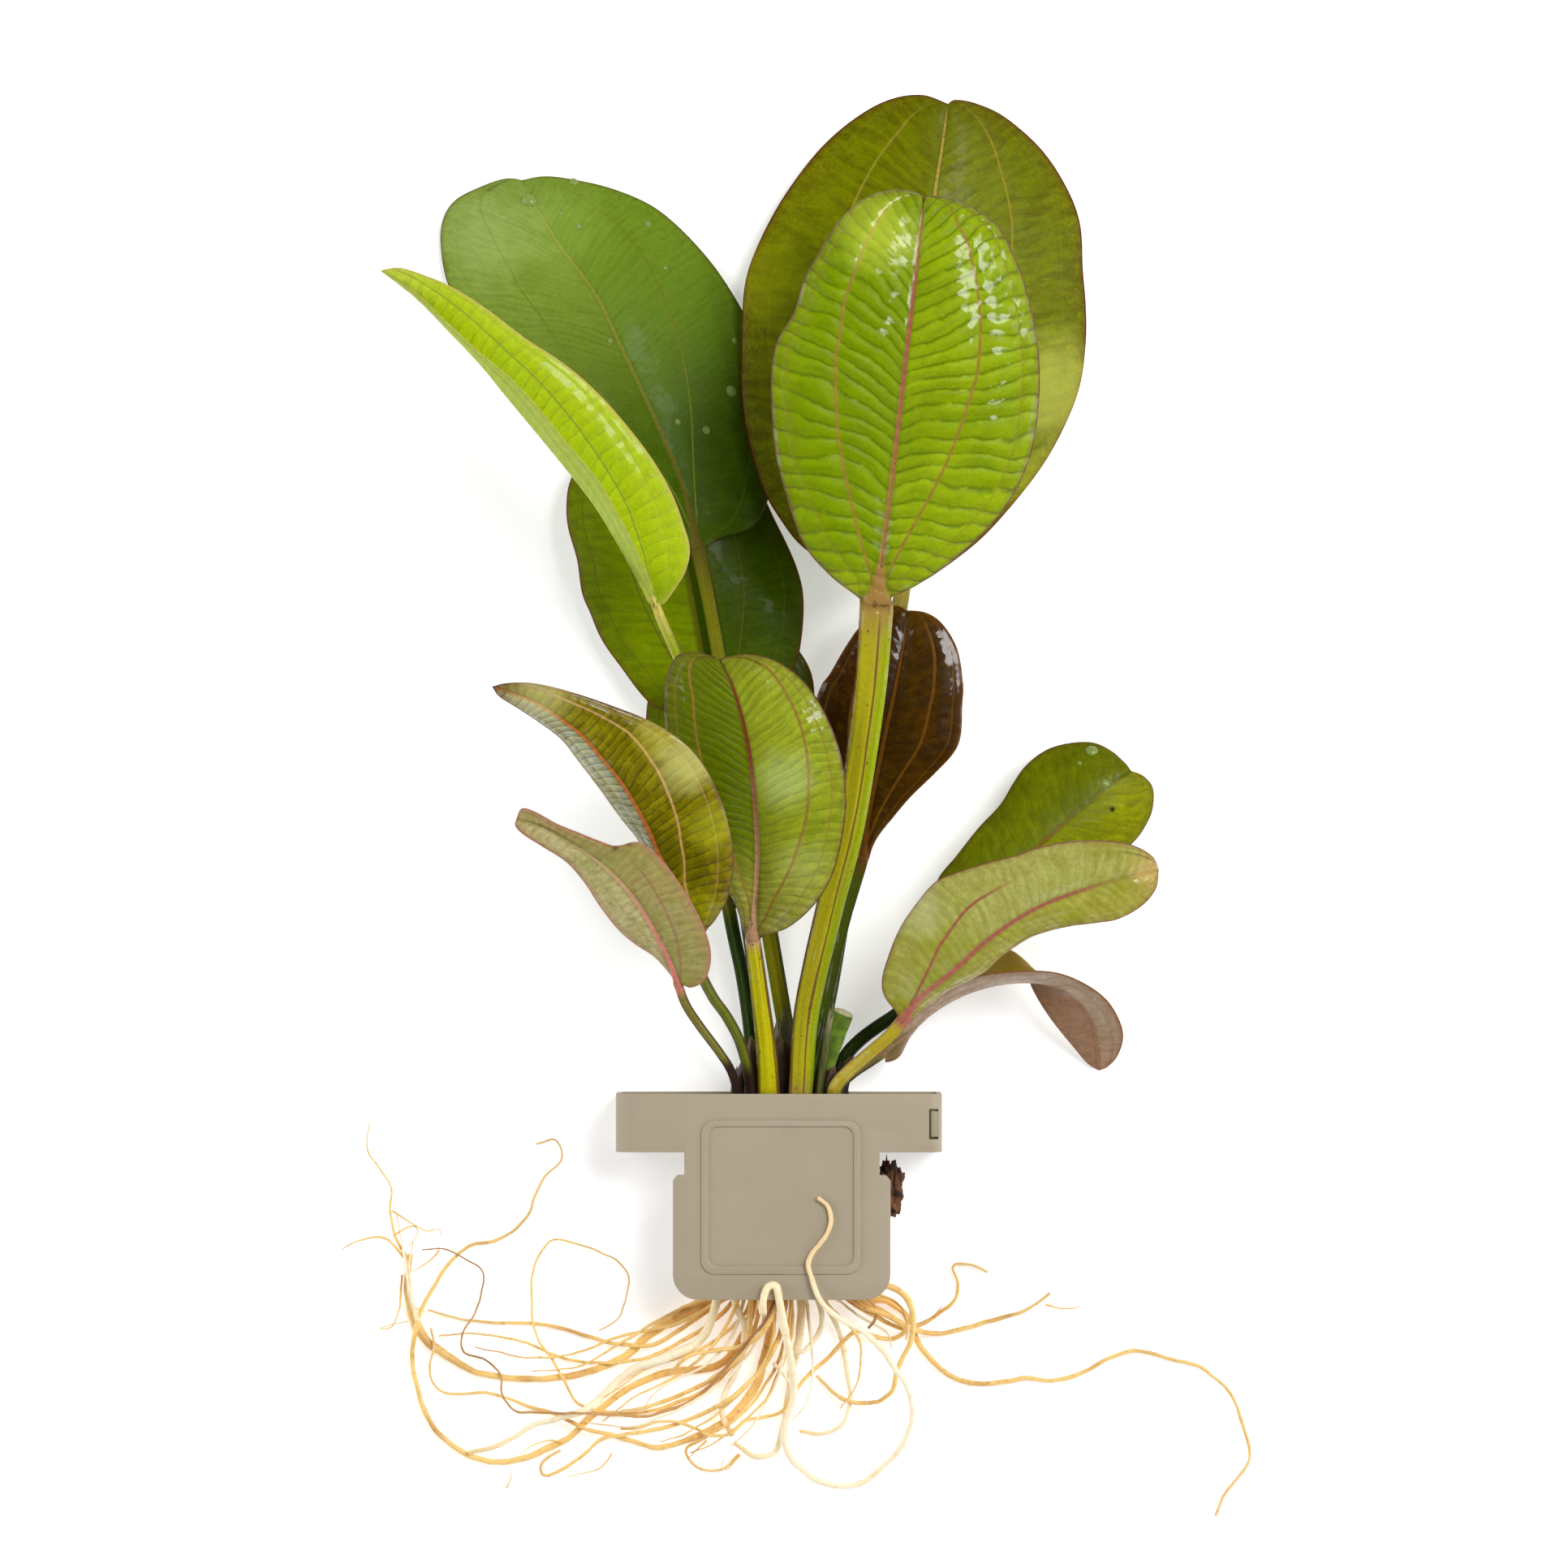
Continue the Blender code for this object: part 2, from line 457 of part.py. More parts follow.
# A scrap of rotted leaf base that shows beside the clip.
scrap = bmesh.new()
bmesh.ops.create_icosphere(scrap, subdivisions=2, radius=1)
for corner in scrap.verts:
    x, y, z = corner.co
    lump = 1 + 0.22 * math.sin(5 * x + 3 * y) * math.cos(4 * z + 2 * y)
    lump += 0.12 * math.sin(9 * y + 4 * x)
    corner.co = Vector((17.1 + 2.7 * x * lump, -71.2 + 4.7 * y * lump, 9 + 2.6 * z * lump)) * MM
scrap_mesh = bpy.data.meshes.new("old_leaf_scrap")
scrap.to_mesh(scrap_mesh)
scrap.free()
node("old_leaf_scrap", scrap_mesh, CROWN)


# The clip: a flat strap bent round the crown, with a wide tab in front.
def outline(corners):
    """Corner points (x, y, radius) in millimetres rounded into a closed outline."""
    path = []
    count = len(corners)
    for i, (x, y, radius) in enumerate(corners):
        here = Vector((x, y))
        back = (Vector(corners[i - 1][:2]) - here).normalized()
        ahead = (Vector(corners[(i + 1) % count][:2]) - here).normalized()
        if radius == 0:
            path.append(here)
            continue
        open_by = back.angle(ahead)
        reach = radius / math.tan(open_by / 2)
        start = here + back * reach
        stop = here + ahead * reach
        centre = here + (back + ahead).normalized() * radius / math.sin(open_by / 2)
        for k in range(6):
            place = start.lerp(stop, k / 5) - centre
            path.append(centre + place.normalized() * radius)
    return path


def sheet(name, loops, thick):
    """A flat curve with holes, thickened to both sides."""
    curve = bpy.data.curves.new(name, "CURVE")
    curve.dimensions = "2D"
    curve.fill_mode = "BOTH"
    curve.extrude = thick / 2 * MM
    for loop in loops:
        line = curve.splines.new("POLY")
        line.points.add(len(loop) - 1)
        line.use_cyclic_u = True
        for point, place in zip(line.points, loop):
            point.co = (place.x * MM, place.y * MM, 0, 1)
    return solid_of(curve, name)


def placed(mesh, name, change):
    """Moves every corner of a mesh and returns it as a tool."""
    for corner in mesh.vertices:
        corner.co = Vector(change(corner.co / MM)) * MM
    work = bmesh.new()
    work.from_mesh(mesh)
    bmesh.ops.recalc_face_normals(work, faces=work.faces)
    work.to_mesh(mesh)
    work.free()
    holder = bpy.data.objects.new(name, mesh)
    holder.hide_render = True
    holder.display_type = "WIRE"
    tools.objects.link(holder)
    return holder


def block(name, low, high):
    work = bmesh.new()
    bmesh.ops.create_cube(work, size=1)
    for corner in work.verts:
        corner.co = [
            (a + (b - a) * (c + 0.5)) * MM for a, b, c in zip(low, high, corner.co)
        ]
    mesh = bpy.data.meshes.new(name)
    work.to_mesh(mesh)
    work.free()
    return placed(mesh, name, lambda co: co)


LEFT, RIGHT, TOP, FOOT, FACE, WALL = -33.4, 27.0, -53.2, -64.0, 19.0, 1.0
ring = sheet(
    "strap",
    [outline([(LEFT, 0, 3.5), (RIGHT, 0, 2), (RIGHT, FACE, 2), (LEFT, FACE, 3.5)]),
     outline([(LEFT + WALL, WALL, 2.5), (RIGHT - WALL, WALL, 1),
              (RIGHT - WALL, FACE - WALL, 1), (LEFT + WALL, FACE - WALL, 2.5)])],
    TOP - FOOT,
)
strap = placed(ring, "strap", lambda c: (c.x, (TOP + FOOT) / 2 + c.z, c.y))
tab = placed(
    sheet("tab", [outline([(-20.7, -60, 0), (15.45, -60, 0), (15.45, -68.2, 0), (16.6, -68.2, 0),
                           (17.45, -69.2, 0.6), (17.45, -91.3, 4.7), (-22.8, -91.3, 4.7),
                           (-22.8, -69.2, 0.6), (-22, -68.2, 0), (-20.7, -68.2, 0)])], WALL),
    "tab", lambda c: (c.x, c.y, FACE - WALL / 2 + c.z),
)
frame = placed(
    sheet("frame", [outline([(-17.6, -58, 2.6), (11.9, -58, 2.6), (11.9, -86.6, 2.6),
                             (-17.6, -86.6, 2.6)]),
                    outline([(-16.2, -59.3, 1.8), (10.6, -59.3, 1.8), (10.6, -85, 1.8),
                             (-16.2, -85, 1.8)])], 0.7),
    "frame", lambda c: (c.x, c.y, FACE + c.z),
)
slot = block("slot", (24.6, -61.6, FACE - 1.6), (26.3, -56.0, FACE + 1))
tongue = block("tongue", (24.9, -61.2, 14), (26.4, -56.4, FACE - 0.6))

clip = node("plant_clip", strap.data.copy(), PLASTIC)
for other, kind in ((tab, "UNION"), (frame, "UNION"), (slot, "DIFFERENCE"), (tongue, "UNION")):
    cut = clip.modifiers.new(other.name, "BOOLEAN")
    cut.operation = kind
    cut.solver = "EXACT"
    cut.object = other


# Roots, laid in turn: each lies on the surface or over those already there.
laid = []
GAP = 0.34
TRIES = 60


def root(name, route, girth, material=GOLDEN_ROOT, apart=4.0):
    """A root along route; girth is its radius at even shares of its length."""
    line = [spot(*p) for p in route]
    length = sum((b - a).length for a, b in zip(line, line[1:]))
    count = max(7, round(length / apart))
    places = smooth(line, count)
    radii = np.interp(np.linspace(0, 1, count), np.linspace(0, 1, len(girth)), girth)
    places[:, 2] = np.maximum(places[:, 2], radii + 0.02)
    share = np.linspace(0, 1, 9)
    for turn in range(TRIES):
        lifted = False
        for i in range(count - 1):
            a, b = places[i], places[i + 1]
            rods = list(laid)
            for j in range(count - 1):
                if abs(j - i) > 3 and j < i:
                    rods.append((places[j], places[j + 1], radii[j], radii[j + 1]))
            for c, d, thick, thin in rods:
                reach = radii[i] + thick + GAP
                if min(c[0], d[0]) - reach > max(a[0], b[0]):
                    continue
                if max(c[0], d[0]) + reach < min(a[0], b[0]):
                    continue
                if min(c[1], d[1]) - reach > max(a[1], b[1]):
                    continue
                if max(c[1], d[1]) + reach < min(a[1], b[1]):
                    continue
                mine = a + (b - a) * share[:, None]
                theirs = c + (d - c) * share[:, None]
                flat = np.linalg.norm(mine[:, None, :2] - theirs[None, :, :2], axis=2)
                limit = (
                    (radii[i] + (radii[i + 1] - radii[i]) * share)[:, None]
                    + (thick + (thin - thick) * share)[None, :]
                    + GAP
                )
                need = theirs[None, :, 2] + np.sqrt(np.maximum(limit**2 - flat**2, 0))
                short = np.where(flat < limit, need - mine[:, None, 2], 0).max()
                if short > 1e-4:
                    places[i, 2] += short + 0.01
                    places[i + 1, 2] += short + 0.01
                    a, b = places[i], places[i + 1]
                    lifted = True
        if not lifted:
            break
    for i in range(count - 1):
        laid.append((places[i], places[i + 1], radii[i], radii[i + 1]))
    tube(name, places, radii, material)


root("root_right_long",
     [(1048, 1582, 4), (1062, 1597, 3), (1085, 1600, 2), (1108, 1610, 1), (1120, 1630, 1),
      (1128, 1655, 1), (1140, 1668, 1), (1159, 1686, 1), (1180, 1700, 1), (1208, 1705, 1),
      (1232, 1702, 1), (1260, 1698, 1), (1296, 1700, 1), (1327, 1693, 1), (1355, 1681, 1),
      (1376, 1668, 1), (1394, 1664, 1), (1418, 1668, 1), (1443, 1675, 1), (1471, 1681, 1),
      (1495, 1696, 1), (1516, 1717, 1), (1529, 1746, 1), (1538, 1781, 1), (1539, 1802, 1),
      (1527, 1819, 1), (1513, 1831, 1), (1506, 1851, 1), (1497, 1868, 1)],
     (0.7, 0.5, 0.4, 0.32, 0.3))
root("root_left_thick",
     [(912, 1582, 4), (877, 1606, 3), (836, 1621, 2), (801, 1644, 1), (772, 1669, 1),
      (740, 1685, 1), (703, 1697, 1), (664, 1699, 1), (617, 1697, 1), (581, 1688, 1),
      (546, 1666, 1), (521, 1645, 1), (510, 1622, 1), (503, 1595, 1), (501, 1570, 1),
      (506, 1545, 1)],
     (1.15, 1.0, 0.7, 0.62, 0.6, 0.8, 0.6))
root("root_left_fine_up",
     [(497, 1532, 1), (485, 1518, 1), (480, 1481, 1), (482, 1456, 1), (478, 1445, 1),
      (458, 1431, 1), (452, 1406, 1), (456, 1384, 1)],
     (0.34, 0.3, 0.26))
root("root_left_fine_out",
     [(492, 1541, 1), (482, 1530, 1), (467, 1524, 1), (442, 1529, 1), (421, 1540, 1)],
     (0.34, 0.3, 0.26))
root("root_left_hook",
     [(932, 1582, 4), (925, 1625, 3), (905, 1665, 2), (880, 1683, 1), (854, 1687, 1),
      (824, 1691, 1), (792, 1701, 1), (765, 1717, 1), (745, 1733, 1), (727, 1747, 1),
      (715, 1760, 1), (699, 1773, 1), (667, 1788, 1), (640, 1798, 1), (610, 1802, 1),
      (589, 1797, 1), (560, 1784, 1), (535, 1759, 1), (517, 1720, 1), (508, 1675, 1),
      (511, 1641, 1), (517, 1616, 1), (542, 1574, 1), (564, 1547, 1), (581, 1533, 1),
      (606, 1529, 1), (628, 1520, 1), (649, 1502, 1), (660, 1477, 1), (667, 1454, 1),
      (687, 1436, 1), (694, 1418, 1), (683, 1404, 1), (665, 1404, 1), (660, 1409, 1)],
     (0.75, 0.7, 0.62, 0.5, 0.4, 0.3))
root("root_left_upper",
     [(905, 1582, 7), (882, 1607, 5), (850, 1631, 3), (815, 1653, 2), (783, 1658, 1),
      (738, 1652, 1), (711, 1644, 1), (685, 1635, 1), (640, 1631, 1), (592, 1629, 1),
      (560, 1622, 1), (526, 1615, 1)],
     (0.5, 0.42, 0.35, 0.3))
root("root_left_second",
     [(918, 1582, 7), (890, 1618, 5), (850, 1648, 3), (800, 1672, 2), (747, 1679, 1),
      (702, 1676, 1), (676, 1667, 1), (658, 1658, 1), (617, 1647, 1), (581, 1643, 1),
      (541, 1646, 1)],
     (0.45, 0.36, 0.3, 0.28))
root("root_left_loop",
     [(940, 1582, 7), (925, 1650, 4), (885, 1700, 2), (830, 1730, 1), (780, 1741, 1),
      (745, 1739, 1), (720, 1735, 1), (711, 1729, 1), (699, 1708, 1), (688, 1686, 1),
      (670, 1661, 1), (658, 1640, 1), (656, 1591, 1), (658, 1563, 1), (671, 1534, 1),
      (681, 1528, 1), (703, 1531, 1), (735, 1541, 1), (764, 1556, 1), (774, 1570, 1),
      (771, 1602, 1), (761, 1626, 1), (738, 1640, 1)],
     (0.45, 0.4, 0.32, 0.28, 0.26))
root("root_pinkish",
     [(950, 1582, 4), (950, 1640, 3), (943, 1671, 2), (936, 1695, 2), (926, 1716, 1),
      (908, 1738, 1), (886, 1756, 1), (850, 1773, 1), (819, 1783, 1), (801, 1781, 1),
      (774, 1774, 1), (747, 1767, 1), (720, 1760, 1), (694, 1747, 1), (667, 1736, 1),
      (640, 1729, 1), (603, 1717, 1), (567, 1718, 1), (542, 1713, 1), (531, 1699, 1),
      (531, 1670, 1), (539, 1649, 1), (531, 1636, 1)],
     (0.85, 0.95, 0.7, 0.45, 0.36, 0.3, 0.3))
root("root_left_pale",
     [(887, 1582, 7), (882, 1608, 6), (871, 1640, 4), (850, 1661, 3), (819, 1671, 2),
      (792, 1683, 1), (765, 1697, 1), (747, 1715, 1), (727, 1731, 1), (702, 1745, 1),
      (680, 1750, 1), (658, 1757, 1), (640, 1768, 1), (617, 1780, 1), (578, 1790, 1)],
     (0.8, 0.9, 0.8, 0.5, 0.4), PALE_ROOT)
root("root_pale_front",
     [(903, 1582, 10), (907, 1606, 9), (917, 1634, 7), (915, 1668, 5), (900, 1703, 3),
      (889, 1733, 2), (893, 1757, 1), (902, 1768, 1)],
     (0.6, 0.7, 0.6, 0.5), PALE_ROOT)
root("root_left_middle",
     [(925, 1582, 10), (922, 1650, 7), (895, 1688, 4), (854, 1711, 2), (819, 1726, 1),
      (792, 1733, 1), (765, 1738, 1)],
     (0.5, 0.5, 0.4, 0.35))
root("root_golden_short",
     [(960, 1582, 4), (948, 1630, 3), (920, 1652, 3), (890, 1662, 2), (854, 1667, 2),
      (836, 1677, 1), (824, 1693, 1)],
     (0.6, 0.5, 0.4, 0.35))
root("root_dark_crossing",
     [(957, 1582, 10), (953, 1609, 9), (942, 1628, 8), (923, 1651, 7), (898, 1681, 5),
      (875, 1708, 3), (850, 1727, 2), (810, 1742, 1), (783, 1744, 1), (747, 1740, 1),
      (711, 1738, 1), (670, 1741, 1), (640, 1738, 1), (620, 1730, 1), (621, 1704, 1),
      (610, 1684, 1), (589, 1672, 1), (567, 1663, 1), (564, 1650, 1), (578, 1634, 1),
      (589, 1609, 1), (595, 1577, 1), (589, 1559, 1), (567, 1550, 1), (549, 1540, 1),
      (531, 1540, 1), (520, 1540, 1)],
     (0.36, 0.34, 0.3, 0.26, 0.24), DARK_ROOT)
root("root_low_hook",
     [(968, 1582, 4), (962, 1640, 3), (935, 1690, 2), (890, 1728, 1), (840, 1752, 1),
      (790, 1764, 1), (750, 1771, 1), (726, 1781, 1), (717, 1795, 1), (699, 1808, 1),
      (676, 1817, 1), (665, 1820, 1), (662, 1813, 1), (676, 1797, 1), (692, 1787, 1)],
     (0.5, 0.45, 0.4, 0.36, 0.3))
root("root_low_thin",
     [(975, 1582, 7), (965, 1660, 4), (930, 1725, 2), (880, 1765, 1), (845, 1788, 1),
      (863, 1811, 1), (886, 1812, 1), (899, 1804, 1), (911, 1792, 1)],
     (0.35, 0.32, 0.28, 0.26))
root("root_cream_low",
     [(985, 1582, 4), (986, 1640, 3), (977, 1690, 2), (970, 1733, 1), (964, 1762, 1),
      (956, 1787, 1), (944, 1798, 1), (930, 1794, 1), (915, 1784, 1), (904, 1776, 1)],
     (0.8, 0.75, 0.7, 0.55, 0.45), PALE_ROOT)
root("root_cream_bow",
     [(1008, 1582, 4), (1020, 1610, 3), (1034, 1641, 2), (1041, 1666, 1), (1045, 1695, 1),
      (1047, 1723, 1), (1041, 1748, 1), (1032, 1762, 1), (1013, 1766, 1), (984, 1762, 1)],
     (0.55, 0.5, 0.45, 0.35), PALE_ROOT)
root("root_middle_curl",
     [(998, 1582, 4), (1008, 1604, 3), (1013, 1620, 3), (1011, 1637, 2), (999, 1657, 2),
      (984, 1664, 2), (970, 1660, 2)],
     (0.55, 0.5, 0.4), PALE_ROOT)
root("root_right_up",
     [(1020, 1582, 4), (1045, 1600, 3), (1078, 1621, 2), (1110, 1636, 1), (1131, 1632, 1),
      (1146, 1624, 1), (1166, 1612, 1), (1176, 1604, 1), (1181, 1589, 1), (1181, 1576, 1),
      (1175, 1561, 1), (1179, 1555, 1), (1193, 1558, 1), (1216, 1567, 1)],
     (0.55, 0.5, 0.42, 0.3, 0.26), apart=3.2)
root("root_right_out",
     [(1033, 1582, 7), (1058, 1602, 5), (1085, 1614, 4), (1110, 1630, 3), (1130, 1639, 2),
      (1160, 1642, 1), (1184, 1637, 1), (1209, 1631, 1), (1242, 1621, 1), (1267, 1611, 1),
      (1284, 1604, 1), (1294, 1593, 1)],
     (0.6, 0.55, 0.45, 0.3))
root("root_dark_short",
     [(1042, 1582, 10), (1060, 1596, 9), (1074, 1606, 8), (1082, 1620, 7), (1078, 1629, 6),
      (1069, 1637, 5)],
     (0.34, 0.32, 0.28), DARK_ROOT, 2.5)
root("root_golden_long",
     [(1022, 1582, 10), (1055, 1604, 8), (1088, 1618, 6), (1112, 1630, 4), (1117, 1641, 3),
      (1105, 1648, 3), (1089, 1650, 3), (1070, 1645, 3), (1055, 1642, 3), (1041, 1651, 2),
      (1022, 1670, 2), (1003, 1687, 2), (988, 1702, 2), (978, 1716, 1), (965, 1737, 1),
      (946, 1747, 1), (927, 1745, 1), (898, 1766, 1), (888, 1771, 1), (869, 1764, 1),
      (850, 1756, 1), (836, 1752, 1), (810, 1752, 1), (792, 1758, 1), (765, 1760, 1)],
     (0.5, 0.45, 0.4, 0.3, 0.26), apart=3.4)
root("root_right_bow",
     [(1050, 1582, 12), (1075, 1584, 12), (1098, 1587, 11.5), (1115, 1597, 11), (1124, 1614, 10),
      (1125, 1634, 8.5), (1121, 1653, 7), (1112, 1672, 5.4), (1104, 1691, 4), (1100, 1710, 3),
      (1087, 1723, 2), (1070, 1729, 1), (1051, 1727, 1), (1032, 1720, 1), (1018, 1706, 1),
      (1007, 1695, 1)],
     (0.6, 0.58, 0.5, 0.42, 0.36), apart=3.2)
root("root_over_clip",
     [(940, 1582, 13.5), (938, 1598, 13), (938, 1611, 14.4), (939, 1615, 17.6),
      (940, 1608, 20.6), (943, 1592, 20.6), (951, 1580, 20.4), (957, 1588, 20.4),
      (960, 1605, 20), (966, 1637, 17), (974, 1671, 13), (979, 1700, 9.5), (977, 1725, 7),
      (969, 1752, 5), (966, 1771, 3.8), (972, 1792, 2.8), (984, 1807, 2.2), (1003, 1822, 1.4),
      (1032, 1831, 1), (1060, 1827, 1), (1089, 1806, 1.6), (1112, 1779, 3.4), (1124, 1743, 6.4),
      (1118, 1710, 9.8), (1103, 1686, 12.8), (1086, 1662, 15.6), (1066, 1643, 18),
      (1041, 1630, 20), (1022, 1614, 20.8), (1009, 1597, 20.6), (1001, 1580, 20.3),
      (995, 1561, 20.2), (1000, 1544, 20.1), (1020, 1518, 19.9), (1023, 1492, 19.7),
      (1007, 1476, 19.7)],
     (0.75, 0.75, 0.7, 0.6, 0.55, 0.55, 0.55, 0.5, 0.42), PALE_ROOT, 2.4)
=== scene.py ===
"""A sword plant pulled from its pot, lying on its back: leaves, planting clip and bare roots."""

import math

import bmesh
import bpy
import numpy as np
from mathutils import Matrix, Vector, noise


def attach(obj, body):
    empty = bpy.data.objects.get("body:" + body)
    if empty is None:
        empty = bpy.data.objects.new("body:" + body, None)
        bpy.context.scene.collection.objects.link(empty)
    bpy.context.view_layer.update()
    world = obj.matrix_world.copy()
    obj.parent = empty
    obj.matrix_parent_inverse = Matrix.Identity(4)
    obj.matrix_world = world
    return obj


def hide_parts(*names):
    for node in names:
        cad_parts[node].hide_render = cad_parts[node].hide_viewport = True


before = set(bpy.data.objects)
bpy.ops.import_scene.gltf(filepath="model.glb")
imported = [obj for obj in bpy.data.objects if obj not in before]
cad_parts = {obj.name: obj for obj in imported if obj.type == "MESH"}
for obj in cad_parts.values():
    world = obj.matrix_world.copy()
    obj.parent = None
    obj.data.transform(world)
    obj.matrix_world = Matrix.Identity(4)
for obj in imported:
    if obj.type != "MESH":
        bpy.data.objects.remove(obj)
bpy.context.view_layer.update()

# The view. The plant lies on its back on a table and is looked at from 2.4 m straight above.
# Places are counted in steps across and down this view, each 0.15 mm at the clip's front.
MM = 0.001
EYE, CLIP_FRONT = 2400, 20
VIEW_X, VIEW_Y = -2.25, 4.1
STEP, VIEW_STEPS = 0.15, 1932
lens = bpy.data.cameras.new("view")
lens.sensor_width = 36
lens.lens = lens.sensor_width * (EYE - CLIP_FRONT) / (STEP * VIEW_STEPS)
lens.clip_end = 10


def placed(name, data):
    """A new object in the scene."""
    made = bpy.data.objects.new(name, data)
    bpy.context.scene.collection.objects.link(made)
    return made


view = placed("view", lens)
view.location = Vector((VIEW_X, VIEW_Y, EYE)) * MM
bpy.context.scene.camera = view


def spot(across, down, height=1):
    """A place in millimetres from steps across and down the view and its height."""
    scale = STEP * (EYE - height) / (EYE - CLIP_FRONT)
    x = VIEW_X + (across - VIEW_STEPS / 2) * scale
    y = VIEW_Y + (VIEW_STEPS / 2 - down) * scale
    return Vector((x, y, height))


# The leaf at the back right. A leaf is one skin of living tissue: a fleshy stalk that narrows
# into the midrib of a thin blade, with two veins beside it on each side, fine cross veins
# between them, and a coloured margin. It grows from the crown.
def smooth(points, count, shares=None):
    """Points along a smooth curve through the given ones, evenly spaced or at given shares."""
    given = np.array([tuple(p) for p in points], float)
    padded = np.vstack([2 * given[0] - given[1], given, 2 * given[-1] - given[-2]])
    fine = []
    for i in range(len(given) - 1):
        a, b, c, d = padded[i : i + 4]
        for t in np.linspace(0, 1, 16, endpoint=False):
            fine.append(
                0.5 * (2 * b + (c - a) * t + (2 * a - 5 * b + 4 * c - d) * t**2)
                + 0.5 * (3 * b - a - 3 * c + d) * t**3
            )
    fine.append(given[-1])
    fine = np.array(fine)
    steps = np.linalg.norm(np.diff(fine, axis=0), axis=1)
    along = np.concatenate([[0], np.cumsum(steps)])
    if shares is None:
        shares = np.linspace(0, 1, count)
    wanted = shares * along[-1]
    return np.stack([np.interp(wanted, along, fine[:, k]) for k in range(3)], axis=1)


def eased(value, low, high):
    """0 below low, 1 above high and a soft step between."""
    share = np.clip((value - low) / (high - low), 0, 1)
    return share * share * (3 - 2 * share)


def drift(places, size, seed):
    """Slow noise from -1 to 1 at places in millimetres; size is its wave in millimetres."""
    flat = places.reshape(-1, 3) / size + seed
    return np.array([noise.noise(Vector(p)) for p in flat]).reshape(places.shape[:-1])


def new_piece(name, mesh, finish):
    mesh.materials.append(finish)
    return placed(name, mesh)


def ringed(above, below):
    """Rows of an upper and a lower side joined into closed rings."""
    return np.concatenate([above, below[:, -2:0:-1]], axis=1)


def tube_faces(rows, sides):
    """The points of a tube in rows, the same turned by one, and the tube's faces."""
    index = np.arange(rows * sides).reshape(rows, sides)
    turned = np.roll(index, -1, axis=1)
    faces = np.stack([index[:-1], turned[:-1], turned[1:], index[1:]], axis=-1)
    return index, turned, faces.reshape(-1, 4).tolist()


def end_faces(index, turned):
    """Fans that close a tube's two ends at the two points that follow its own."""
    sides = range(index.shape[1])
    first = [(turned[0, k], index[0, k], index.size) for k in sides]
    return first + [(index[-1, k], turned[-1, k], index.size + 1) for k in sides]


def closed_mesh(name, places, faces):
    """A smooth closed skin from places in millimetres and faces."""
    mesh = bpy.data.meshes.new(name)
    mesh.from_pydata((np.asarray(places) * MM).tolist(), [], faces)
    work = bmesh.new()
    work.from_mesh(mesh)
    bmesh.ops.recalc_face_normals(work, faces=work.faces)
    work.to_mesh(mesh)
    work.free()
    mesh.shade_smooth()
    return mesh


GAP_COLUMNS = 8
STALK_ROWS = 44
BLADE_HALF = 0.22
INNER_VEIN = [(0.06, 0.22), (0.25, 0.38), (0.45, 0.48), (0.65, 0.56), (0.88, 0.62), (1, 0.8)]
OUTER_VEIN = [(0.1, 0.66), (0.32, 0.8), (0.5, 0.85), (0.88, 0.87), (1, 0.9)]


